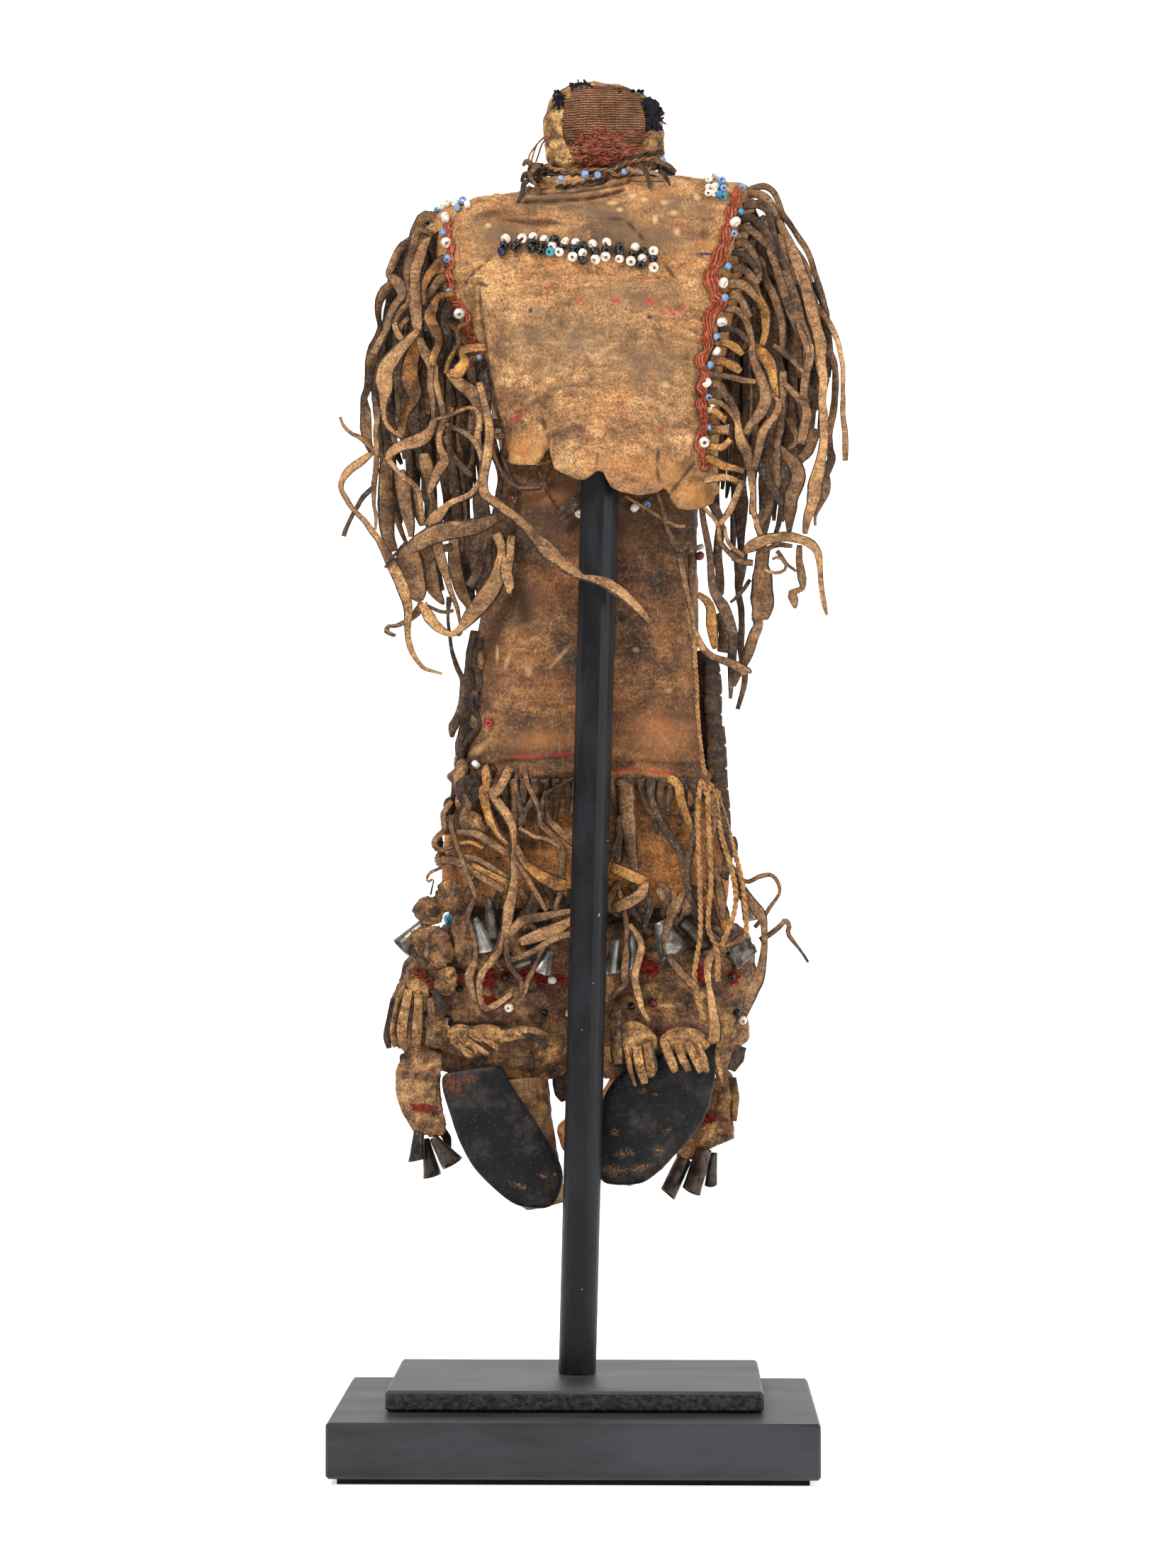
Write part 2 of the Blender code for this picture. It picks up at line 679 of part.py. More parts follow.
# Each fringe thong: its route on the sheet, its widths there, its depths in millimetres
LEFT_FRINGE = [
    ([(612, 312), (583, 330), (553, 378), (536, 430), (529, 490), (512, 565), (518, 605), (529, 640)],
     (12, 12, 12, 11, 12, 20, 18, 8), (34, 31, 30)),
    ([(529, 632), (500, 655), (483, 682), (499, 718), (536, 765), (560, 812), (572, 850), (577, 905),
      (596, 941), (620, 950)], (9, 12, 10, 9, 14, 18, 12, 8, 5, 3), (30, 27, 27)),
    ([(618, 330), (588, 350), (578, 400), (552, 470), (545, 520), (531, 570), (535, 640), (531, 742)],
     (10, 14, 14, 12, 14, 8, 8, 4), (30, 24, 24)),
    ([(620, 350), (600, 400), (588, 470), (560, 505), (541, 560), (550, 600), (571, 618)],
     (14, 12, 14, 24, 26, 12, 5), (27, 19, 20)),
    ([(625, 372), (606, 430), (592, 478), (608, 530), (611, 590), (580, 632), (558, 652), (578, 690),
      (592, 735), (590, 775)], (14, 14, 14, 16, 16, 24, 14, 12, 12, 10), (31, 22, 22)),
    ([(628, 398), (600, 470), (572, 560), (556, 620), (549, 690), (549, 776)],
     (12, 14, 20, 18, 22, 20), (38, 33, 33)),
    ([(632, 420), (612, 500), (600, 600), (574, 700), (576, 780), (600, 860), (638, 894), (676, 850),
      (702, 790), (708, 745)], (14, 18, 18, 26, 30, 20, 14, 20, 22, 18), (40, 38, 34, 26, 19)),
    ([(640, 440), (622, 500), (628, 560), (620, 640), (606, 740), (616, 800), (640, 860), (651, 893)],
     (14, 18, 16, 18, 16, 12, 10, 6), (26, 25, 26)),
    ([(672, 510), (660, 530), (690, 580), (690, 640), (676, 690), (628, 718)],
     (18, 22, 20, 18, 16, 10), (24, 18, 22)),
    ([(684, 535), (693, 600), (696, 660), (706, 735), (722, 780), (716, 836)],
     (14, 22, 16, 22, 16, 18), (26, 21, 16)),
    ([(652, 470), (640, 540), (648, 620), (655, 700), (690, 742), (630, 752), (580, 764), (546, 800)],
     (16, 18, 18, 18, 26, 28, 20, 4), (38, 30, 19)),
    ([(648, 455), (632, 560), (600, 700), (592, 780), (600, 820), (577, 868)],
     (14, 18, 26, 40, 44, 10), (45, 43, 41)),
    ([(662, 492), (650, 600), (634, 720), (628, 790), (641, 860), (645, 930), (655, 965), (638, 1036)],
     (14, 16, 16, 12, 6, 6, 10, 10), (46, 47, 33, 31)),
    ([(622, 360), (580, 420), (560, 560), (530, 670), (500, 715), (484, 757)],
     (12, 14, 14, 10, 8, 9), (44, 38, 33)),
    ([(668, 500), (676, 620), (668, 700), (655, 770), (660, 840)],
     (16, 20, 22, 22, 10), (42, 36, 34)),
]
RIGHT_FRINGE = [
    ([(1050, 268), (1080, 265), (1098, 290), (1122, 342), (1150, 415), (1182, 490), (1189, 560), (1191, 650)],
     (14, 9, 9, 10, 10, 8, 8, 9), (32, 29, 29)),
    ([(1050, 280), (1085, 290), (1108, 340), (1134, 410), (1156, 480), (1165, 560), (1160, 660), (1150, 738)],
     (14, 12, 14, 16, 18, 18, 16, 5), (29, 22, 22)),
    ([(1052, 300), (1100, 360), (1150, 440), (1172, 500), (1178, 570), (1172, 668)],
     (12, 12, 12, 12, 8, 12), (34, 33, 33)),
    ([(1050, 318), (1086, 345), (1104, 400), (1130, 480), (1142, 560), (1150, 640), (1136, 735)],
     (14, 16, 16, 20, 18, 16, 10), (26, 19, 20)),
    ([(1048, 340), (1078, 375), (1094, 430), (1112, 500), (1136, 560), (1126, 650), (1118, 728)],
     (14, 16, 18, 16, 18, 18, 16), (31, 26, 26)),
    ([(1046, 365), (1068, 410), (1082, 470), (1090, 545), (1094, 620), (1105, 690), (1100, 740)],
     (14, 16, 16, 18, 18, 22, 14), (36, 31, 30)),
    ([(1042, 395), (1058, 440), (1074, 520), (1078, 590), (1062, 640), (1064, 700), (1078, 745)],
     (14, 16, 18, 18, 16, 18, 20), (24, 20, 22)),
    ([(1036, 430), (1052, 480), (1062, 540), (1092, 600), (1074, 660), (1092, 720), (1098, 790)],
     (14, 14, 16, 18, 14, 16, 16), (42, 38, 37)),
    ([(1024, 570), (1036, 610), (1052, 660), (1064, 730), (1100, 757), (1140, 766), (1155, 810), (1165, 866)],
     (14, 18, 16, 14, 18, 14, 9, 3), (23, 15, 18)),
    ([(1034, 460), (1070, 560), (1110, 650), (1128, 760), (1134, 812), (1116, 840), (1121, 856)],
     (14, 14, 14, 12, 12, 14, 4), (44, 43, 42)),
    ([(1030, 500), (1046, 580), (1060, 660), (1076, 740), (1075, 800), (1076, 862)],
     (14, 18, 20, 26, 32, 34), (34, 33, 28)),
    ([(1076, 850), (1068, 895), (1050, 930), (1034, 965)], (18, 16, 10, 4), (28, 26)),
    ([(1022, 540), (1034, 640), (1042, 760), (1042, 850), (1048, 930), (1040, 1000)],
     (14, 16, 14, 9, 9, 7), (40, 39, 38)),
    ([(1016, 620), (1006, 700), (1004, 780), (1022, 850), (1030, 910), (1029, 985)],
     (14, 18, 18, 16, 14, 5), (28, 22, 26)),
]
# The flange that each fringe is cut from, down the outside of the side seam
FLANGE_OUT = 12                     # from the cape's end to the flange, in units of the sheet
LEFT_FLANGE = [(left - FLANGE_OUT, down) for left, down, _, _, _ in CAPE_RINGS[4:10]]
RIGHT_FLANGE = [(right + FLANGE_OUT, down) for _, _, right, down, _ in CAPE_RINGS[4:11]]
FLANGE_HALF_WIDTH = 1.6 * MM
FLANGE_HALF_DEPTH = 12 * MM
FLANGE_DEPTH_PLACE = 37 * MM


def flange_root(flange, down, depth):
    """The point inside a flange that is nearest to a height on the sheet and a depth."""
    first = flange[0][1]
    last = flange[-1][1]
    level = min(max(down, first + 6), last - 6)
    for (x0, y0), (x1, y1) in zip(flange, flange[1:]):
        if y0 <= level <= y1:
            across = x0 + (x1 - x0) * (level - y0) / (y1 - y0)
    reach = FLANGE_HALF_DEPTH - THONG_THICKNESS
    place = min(max(depth, FLANGE_DEPTH_PLACE - reach), FLANGE_DEPTH_PLACE + reach)
    return at(across, level, place)


def make_fringe(name, flange, thongs):
    """The flange and the thongs that are cut from it, as one piece of hide.

    A thong that starts below the flange grows from the one before it."""
    route = [at(x, y, FLANGE_DEPTH_PLACE) for x, y in flange]

    def outline(_):
        w = FLANGE_HALF_WIDTH
        d = FLANGE_HALF_DEPTH
        return [(-w, -d), (w, -d), (w, d), (-w, d)]

    shapes = [sweep(route, outline)]
    for points, widths, depths in thongs:
        rooted = points[0][1] < flange[-1][1]
        root = flange_root(flange, points[0][1], depths[0] * MM) if rooted else None
        shapes.append(thong(points, widths, depths, len(points) - 1, root=root))
    fuse(name, shapes, THONG)


def make_loose_thongs():
    """Long thongs that hang away from the fringes, each a strip of its own."""
    crossing = [(694, 672), (705, 704), (741, 745), (792, 788), (830, 814), (856, 822), (884, 842),
                (915, 878)]
    add("crossing_thong", thong(crossing, (12, 20, 20, 22, 18, 9, 22, 8), (8, 4, 2, 2), 14), THONG)
    knotted = [(926, 712), (946, 766), (960, 790), (968, 831), (977, 881)]
    add("knotted_thong", thong(knotted, (6, 9, 16, 11, 9), (17, 16.6, 17), 8), THONG)
    diagonal = [(990, 893), (1006, 912), (1030, 934), (1053, 951)]
    add("diagonal_thong", thong(diagonal, (16, 14, 15, 14), (19, 20, 21), 6), THONG)


# The skirt's fringe, hanging from the body's hem
BAND_LIFT = 2.1 * MM                # from the skirt to the middle of the band
BAND_HALF_HEIGHT = 1.5 * MM
BAND_HALF_THICKNESS = 0.6 * MM
SKIRT_BAND = [(672, 1098), (710, 1101), (760, 1101), (820, 1102), (880, 1103), (930, 1104), (966, 1104)]
SKIRT_FRINGE = [
    ([(676, 1100), (650, 1150), (628, 1185), (660, 1208), (720, 1216), (795, 1236)],
     (14, 14, 12, 14, 16, 12), (19.5, 19, 20)),
    ([(692, 1100), (684, 1128), (712, 1160), (726, 1215), (724, 1270), (703, 1345), (677, 1384), (680, 1420),
      (704, 1427), (721, 1414)], (12, 14, 14, 14, 14, 14, 12, 11, 11, 8), (19, 17.2, 17.2)),
    ([(712, 1100), (734, 1150), (768, 1200), (796, 1246), (800, 1290)], (12, 11, 10, 10, 8), (20, 20.6)),
    ([(742, 1102), (752, 1150), (744, 1200), (764, 1250), (748, 1300), (735, 1345)],
     (12, 10, 10, 10, 9, 6), (20, 17.4, 17.4)),
    ([(776, 1102), (764, 1160), (790, 1192), (802, 1238)], (12, 10, 10, 8), (20, 18.6)),
    ([(800, 1102), (806, 1140), (798, 1180), (812, 1220)], (12, 10, 12, 8), (20.4, 20.4)),
    ([(878, 1104), (874, 1160), (884, 1220), (898, 1270), (892, 1320), (905, 1350), (896, 1400), (916, 1440)],
     (12, 10, 12, 10, 12, 12, 12, 8), (20, 17.2, 17.2)),
    ([(905, 1104), (915, 1160), (945, 1205), (952, 1260), (944, 1310), (942, 1345), (966, 1374), (988, 1396)],
     (12, 10, 12, 14, 14, 12, 12, 8), (20, 18.8, 18.8)),
    ([(942, 1106), (958, 1160), (968, 1215), (964, 1280)], (16, 20, 16, 10), (20.6, 20.6)),
    ([(660, 1100), (652, 1180), (664, 1240), (669, 1290), (662, 1335), (669, 1392)],
     (14, 12, 12, 10, 10, 8), (21.5, 18, 16.5)),
]
FAR_THONGS = [
    ("loop_thong", [(1012, 1150), (1020, 1200), (1040, 1233), (1072, 1228), (1098, 1240), (1098, 1262),
                    (1078, 1292), (1064, 1308)], (8, 8, 7, 6, 6, 6, 7, 6), (25, 26, 26)),
    ("right_long_thong", [(1036, 1236), (1062, 1272), (1080, 1310), (1082, 1344), (1070, 1381), (1058, 1430)],
     (10, 12, 12, 12, 12, 6), (21, 19, 20)),
    ("wide_light_thong", [(1004, 1352), (1006, 1400), (1010, 1462)], (14, 16, 19), (17, 17.5)),
]


def make_skirt_fringe(tree):
    band = [lay_on(tree, x, y, BAND_LIFT) for x, y in SKIRT_BAND]

    def outline(_):
        h = BAND_HALF_HEIGHT
        t = BAND_HALF_THICKNESS
        return [(-h, -t), (h, -t), (h, t), (-h, t)]

    shapes = [sweep(band, outline)]
    for points, widths, depths in SKIRT_FRINGE:
        root = lay_on(tree, *points[0], BAND_LIFT)
        shapes.append(thong(points, widths, depths, len(points) - 1, root=root))
    fuse("skirt_fringe", shapes, THONG)
    for name, points, widths, depths in FAR_THONGS:
        add(name, thong(points, widths, depths, len(points) + 1), THONG)


# Twisted cords that hang free at the right: route on the sheet with depth in millimetres
TWISTED_CORDS = [
    [(986, 1118, 17.5), (984, 1160, 16.4), (987, 1240, 15.6), (988, 1314, 15.2), (980, 1370, 15.2),
     (983, 1404, 15.4), (993, 1440, 15.8)],
    [(998, 1120, 18), (1000, 1165, 16.8), (1003, 1240, 15.8), (999, 1306, 15.2), (1011, 1338, 15.2),
     (1013, 1384, 15.4)],
    [(1010, 1126, 20), (1017, 1175, 18), (1034, 1235, 16.5), (1037, 1281, 15.8), (1018, 1334, 12.2)],
    [(1018, 1140, 24), (1030, 1180, 21), (1046, 1240, 18.5), (1052, 1290, 16.5), (1053, 1322, 16.2)],
]


def make_cords():
    for number, points in enumerate(TWISTED_CORDS, 1):
        route = smooth_route([at(x, y, d * MM) for x, y, d in points], 14)
        curve = bpy.data.curves.new(f"twisted_cord_{number}", "CURVE")
        curve.dimensions = "3D"
        curve.bevel_depth = CORD_DIAMETER / 2
        curve.bevel_resolution = 2
        curve.use_fill_caps = True
        spline = curve.splines.new("POLY")
        spline.points.add(len(route) - 1)
        for slot, point in zip(spline.points, route):
            slot.co = (*point, 1)
        cord = bpy.data.objects.new(f"twisted_cord_{number}", curve)
        bpy.context.collection.objects.link(cord)
        curve.materials.append(material(*CORD))


def make_side_trims():
    lacing = [(658, 905), (650, 960), (644, 1010), (632, 1055), (630, 1100), (618, 1160), (608, 1210)]
    radii = [1.2, 1.9, 1.3, 2.1, 1.3, 1.8, 2.2, 1.4, 2.3, 1.4, 2.0, 1.3, 1.8, 1.0]
    route = smooth_route([at(x, y, DOLL_MIDDLE) for x, y in lacing], 14)
    add("side_lacing", tube(route, [r * MM for r in radii], 6), DARK_HIDE)
    roll = [(1009, 937, 39), (1011, 1000, 39), (1014, 1060, 38), (1019, 1120, 31), (1026, 1176, 29)]
    radii = [2.0, 2.4, 2.4, 1.9, 2.4, 2.4, 1.9, 2.4, 2.4, 1.9, 2.4, 2.3, 1.8, 2.3, 1.8]
    route = smooth_route([at(x, y, d * MM) for x, y, d in roll], 15)
    add("rolled_side_strip", tube(route, [r * MM for r in radii], 6), DARK_HIDE)


def cone(name, top, mouth, top_width, mouth_width, depth):
    """A cone rolled from tin, open below. top and mouth are the ends of its axis on the sheet."""
    sides = 7
    start = at(*top, depth)
    end = at(*mouth, depth)
    ahead = (end - start).normalized()
    side = ahead.cross(Vector((0, 1, 0))).normalized()
    out = side.cross(ahead)

    def circle(centre, radius):
        return [centre + (side * math.cos(2 * math.pi * i / sides)
                          + out * math.sin(2 * math.pi * i / sides)) * radius for i in range(sides)]

    unit = 1 / SHEET_REACH
    small = top_width * unit / 2
    wide = mouth_width * unit / 2
    rings = [circle(start, small), circle(end, wide), circle(end, wide - CONE_WALL),
             circle(start.lerp(end, 0.35), max(0.3 * MM, small - CONE_WALL))]
    add(name, loft(rings), TIN, 40)


# Tin cones: top of the axis, mouth of the axis, width at each, depth in millimetres
TIN_CONES = [
    ((588, 1300), (570, 1336), 10, 22, 36),
    ((690, 1270), (702, 1306), 8, 20, 21.2),
    ((668, 1298), (684, 1338), 8, 22, 20.6),
    ((774, 1340), (744, 1358), 10, 20, 22),
    ((870, 1330), (866, 1368), 12, 21, 22.6),
    ((891, 1328), (889, 1366), 12, 18, 21.2),
    ((926, 1300), (946, 1338), 12, 30, 22.9),
    ((1056, 1338), (1032, 1356), 14, 24, 22),
]
PENDANT_CONES = [
    ((587, 1614), (585, 1644), 9, 20, 25.5),
    ((604, 1616), (611, 1660), 9, 21, 30),
    ((617, 1614), (641, 1644), 9, 22, 25),
    ((964, 1646), (942, 1688), 11, 20, 53),
    ((992, 1648), (978, 1686), 11, 21, 50),
    ((1012, 1644), (1004, 1672), 9, 15, 54),
]


def make_cones():
    for number, line in enumerate(TIN_CONES, 1):
        top, mouth, top_width, mouth_width, depth = line
        cone(f"skirt_cone_{number:02d}", top, mouth, top_width, mouth_width, depth * MM)
    for number, line in enumerate(PENDANT_CONES, 1):
        top, mouth, top_width, mouth_width, depth = line
        cone(f"pendant_cone_{number}", top, mouth, top_width, mouth_width, depth * MM)


PENDANT_THICKNESS = 3 * MM


def make_pendants():
    left = thong([(592, 1482), (594, 1515), (592, 1550), (592, 1578), (598, 1600)],
                 (56, 66, 60, 46, 34), (26, 26.5, 27), 5, PENDANT_THICKNESS)
    add("left_pendant", left, HIDE)
    right = thong([(1004, 1512), (1010, 1545), (1010, 1580), (1004, 1610), (990, 1636)],
                  (36, 52, 56, 50, 40), (51.5, 51.5), 5, PENDANT_THICKNESS)
    add("right_pendant", right, HIDE)


def fingers(outline_top, tips, spread):
    """An outline with cut fingers. outline_top runs round the root, tips are the finger ends."""
    outline = list(outline_top)
    for k, (x, y, valley_x, valley_y) in enumerate(tips):
        outline.append((x + spread, y - 4))
        outline.append((x - spread, y))
        if k < len(tips) - 1:
            outline.append((valley_x, valley_y))
    return outline


# Hide tabs cut like fingers: name, root points, finger tips with the valley after each, depth
CUT_TABS = [
    ("left_cut_tab", [(556, 1430), (566, 1384), (592, 1376), (606, 1392), (612, 1440)],
     [(603, 1476, 592, 1440), (584, 1480, 574, 1442), (566, 1476, 0, 0)], 5, 22),
    ("middle_cut_tab", [(636, 1462), (642, 1446), (700, 1442), (764, 1450), (796, 1476), (740, 1466),
                        (706, 1468)],
     [(700, 1480, 692, 1470), (684, 1486, 672, 1474), (662, 1488, 656, 1474), (642, 1478, 0, 0)], 4, 22),
    ("inner_right_cut_tab", [(882, 1458), (890, 1444), (920, 1446), (928, 1470)],
     [(922, 1516, 914, 1484), (907, 1526, 900, 1486), (892, 1530, 0, 0)], 5, 17.8),
    ("outer_right_cut_tab", [(934, 1470), (940, 1452), (986, 1456), (994, 1470)],
     [(998, 1508, 984, 1478), (976, 1512, 968, 1480), (958, 1512, 952, 1480), (942, 1508, 0, 0)], 5, 17.8),
]


def make_cut_tabs():
    for name, root, tips, spread, depth in CUT_TABS:
        add(name, slab(fingers(root, tips, spread), depth * MM, 1.6 * MM), HIDE, 30)
    knot = thong([(596, 1252), (620, 1290), (596, 1322), (628, 1350)], (26, 34, 34, 24), (22, 21, 20, 20),
                 8, 3 * MM)
    add("folded_side_tab", knot, HIDE)
    dangle = tube(smooth_route([at(788, 1518, 36 * MM), at(792, 1536, 35 * MM), at(797, 1553, 35 * MM)], 5),
                  [1.8 * MM, 2.6 * MM, 1.6 * MM], 6)
    add("dark_dangle", dangle, DARK_HIDE)


def main():
    clear_scene()
    make_stand()
    head = make_head()
    make_head_trim(head)
    make_neck_lashing()
    cape = make_cape()
    cape_surface = surface_of(cape)
    body = make_body()
    make_lower_skirt()
    make_leggings()
    make_feet()
    make_seam("left_seam_yarn", cape_surface, LEFT_YARN, LEFT_YARN_BEADS, (1.0, 1.1, 1.0))
    make_seam("right_seam_yarn", cape_surface, RIGHT_YARN, RIGHT_YARN_BEADS, (1.2, 1.3, 1.4, 1.2))
    make_bead_lane(cape_surface)
    make_shoulder_beads(cape_surface)
    make_fringe("left_cape_fringe", LEFT_FLANGE, LEFT_FRINGE)
    make_fringe("right_cape_fringe", RIGHT_FLANGE, RIGHT_FRINGE)
    make_loose_thongs()
    make_skirt_fringe(surface_of(body))
    make_cords()
    make_side_trims()
    make_cones()
    make_pendants()
    make_cut_tabs()


main()
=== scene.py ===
# The beaded hide doll on its stand, dressed for the render. The doll's back faces the camera.
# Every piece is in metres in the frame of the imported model.

import math
import random

import bpy
from mathutils import Matrix, Vector, noise
from mathutils.bvhtree import BVHTree


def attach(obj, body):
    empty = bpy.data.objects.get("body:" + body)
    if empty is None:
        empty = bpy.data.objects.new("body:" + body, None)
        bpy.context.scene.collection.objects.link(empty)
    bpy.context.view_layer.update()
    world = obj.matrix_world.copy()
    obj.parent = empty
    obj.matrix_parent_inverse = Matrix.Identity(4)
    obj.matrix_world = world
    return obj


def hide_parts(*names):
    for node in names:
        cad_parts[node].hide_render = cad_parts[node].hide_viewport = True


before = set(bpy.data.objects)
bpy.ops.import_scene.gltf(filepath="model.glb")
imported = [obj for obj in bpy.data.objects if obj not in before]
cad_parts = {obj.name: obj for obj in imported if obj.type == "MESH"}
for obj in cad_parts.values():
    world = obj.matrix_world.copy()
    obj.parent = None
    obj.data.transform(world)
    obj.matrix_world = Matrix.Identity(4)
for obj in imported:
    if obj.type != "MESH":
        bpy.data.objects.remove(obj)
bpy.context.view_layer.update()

MM = 0.001
BODY = "root"
# Without it the wander of the thongs would differ from run to run
NOISE_SEED = 7

# The sketch sheet of the model: 1659 by 2212 units, as the camera sees them
SHEET_MIDDLE = 829.5
SHEET_HEIGHT = 2212
SHEET_HORIZON = 1221
SHEET_REACH = 5000
EYE = Vector((23.5 * MM, -1045.8 * MM, 175.4 * MM))
EYE_TURN = math.radians(1.1)
FILM = 36

# Sizes shared with the model
DOLL_MIDDLE = 39 * MM
HIDE_THICKNESS = 1.2 * MM
ROD_DIAMETER = 11.2 * MM
ROD_DEPTH_PLACE = 11 * MM
ROD_LEAN = 7 * MM
ROD_TOP = 300 * MM
GAP = 0.3 * MM


def sight(across, down):
    """The direction from the camera through a point of the sketch sheet."""
    side = (across - SHEET_MIDDLE) / SHEET_REACH
    rise = (SHEET_HORIZON - down) / SHEET_REACH
    return Vector((side * math.cos(EYE_TURN) - math.sin(EYE_TURN),
                   math.cos(EYE_TURN) + side * math.sin(EYE_TURN),
                   rise))


def at(across, down, depth):
    """The point of the sketch sheet that lies in the plane y = depth."""
    ray = sight(across, down)
    return EYE + ray * ((depth - EYE.y) / ray.y)


def make_camera():
    lens = bpy.data.cameras.new("camera")
    lens.sensor_width = FILM
    lens.lens = FILM * SHEET_REACH / SHEET_HEIGHT
    lens.shift_y = (SHEET_HORIZON - SHEET_HEIGHT / 2) / SHEET_HEIGHT
    camera = bpy.data.objects.new("camera", lens)
    camera.location = EYE
    camera.rotation_euler = (math.pi / 2, 0, EYE_TURN)
    bpy.context.collection.objects.link(camera)
    bpy.context.scene.camera = camera


# Materials


def srgb(red, green, blue):
    """A colour as the shader wants it, from its 0 to 255 values on a screen."""
    return tuple(((c / 255 + 0.055) / 1.055) ** 2.4 if c > 10 else c / 255 / 12.92
                 for c in (red, green, blue)) + (1.0,)


class Look:
    """A material whose nodes are added one by one."""

    def __init__(self, name, roughness=0.85, metallic=0.0, specular=0.3):
        self.material = bpy.data.materials.new(name)
        self.material.use_nodes = True
        self.tree = self.material.node_tree
        self.shader = self.tree.nodes["Principled BSDF"]
        self.shader.inputs["Roughness"].default_value = roughness
        self.shader.inputs["Metallic"].default_value = metallic
        self.shader.inputs["Specular IOR Level"].default_value = specular
        self.place = self.node("ShaderNodeTexCoord").outputs["Object"]

    def node(self, kind, settings=None, **inputs):
        made = self.tree.nodes.new(kind)
        for key, value in (settings or {}).items():
            setattr(made, key, value)
        for key, value in inputs.items():
            socket = made.inputs[key.replace("_", " ")]
            if isinstance(value, bpy.types.NodeSocket):
                self.tree.links.new(value, socket)
            else:
                socket.default_value = value
        return made

    def stretched(self, scale):
        return self.node("ShaderNodeMapping", Vector=self.place, Scale=scale).outputs["Vector"]

    def noise(self, scale, detail=4.0, rough=0.6, where=None):
        return self.node("ShaderNodeTexNoise", Vector=where or self.place, Scale=scale, Detail=detail,
                         Roughness=rough).outputs["Fac"]

    def ramp(self, value, *stops):
        made = self.node("ShaderNodeValToRGB", Fac=value)
        ramp = made.color_ramp
        while len(ramp.elements) < len(stops):
            ramp.elements.new(0.5)
        for element, (position, colour) in zip(ramp.elements, stops):
            element.position = position
            element.color = colour
        return made.outputs["Color"]

    def level(self, value, low, high, start=0.0, end=1.0):
        """start below low, end above high."""
        return self.node("ShaderNodeMapRange", Value=value, From_Min=low, From_Max=high, To_Min=start,
                         To_Max=end).outputs["Result"]

    def shade(self, colour, strength):
        """The colour, lighter or darker by a mask around 1."""
        return self.mix(1.0, colour, strength, "MULTIPLY")

    def mix(self, share, first, second, kind="MIX"):
        return self.node("ShaderNodeMixRGB", {"blend_type": kind}, Fac=share, Color1=first,
                         Color2=second).outputs["Color"]

    def sum(self, first, second, operation="MULTIPLY"):
        made = self.node("ShaderNodeMath", {"operation": operation})
        for socket, value in zip(made.inputs, (first, second)):
            if isinstance(value, bpy.types.NodeSocket):
                self.tree.links.new(value, socket)
            else:
                socket.default_value = value
        return made.outputs["Value"]

    def spot(self, centre, size, lean=0.0):
        """1 at the centre, 0 at size (three half axes) from it, leaning in the XZ plane."""
        where = self.node("ShaderNodeMapping", {"vector_type": "TEXTURE"}, Vector=self.place,
                          Location=centre, Rotation=(0, lean, 0), Scale=size).outputs["Vector"]
        return self.node("ShaderNodeTexGradient", {"gradient_type": "SPHERICAL"}, Vector=where).outputs["Fac"]

    def spots(self, places):
        """One mask from several spots, each (across, down, half width, half height, lean in degrees)."""
        mask = None
        for across, down, wide, tall, lean in places:
            centre = at(across, down, 18 * MM)
            unit = (centre.y - EYE.y) / SHEET_REACH
            one = self.spot(centre, (wide * unit, 26 * MM, tall * unit), math.radians(lean))
            mask = one if mask is None else self.sum(mask, one, "MAXIMUM")
        return mask

    def marked(self, colour, marks):
        """The colour with each mark of a table laid over it."""
        for grain, (low, high), strength, tint, places in marks:
            broken = self.sum(self.spots(places), self.noise(*grain))
            colour = self.mix(self.level(broken, low, high, 0, strength), colour, srgb(*tint))
        return colour

    def speckled(self, mask, scale, low, high):
        """A mask broken up by sharp fine noise."""
        sharp = self.level(self.noise(scale, 4.0, 0.8), 0.4, 0.6)
        return self.level(self.sum(mask, sharp), low, high)

    def bump(self, height, strength, distance):
        made = self.node("ShaderNodeBump", Height=height, Strength=strength, Distance=distance)
        last = self.shader.inputs["Normal"]
        if last.is_linked:
            self.tree.links.new(last.links[0].from_socket, made.inputs["Normal"])
        self.tree.links.new(made.outputs["Normal"], last)

    def paint(self, colour):
        socket = self.shader.inputs["Base Color"]
        if isinstance(colour, bpy.types.NodeSocket):
            self.tree.links.new(colour, socket)
        else:
            socket.default_value = colour

    def rough(self, value):
        self.tree.links.new(value, self.shader.inputs["Roughness"])


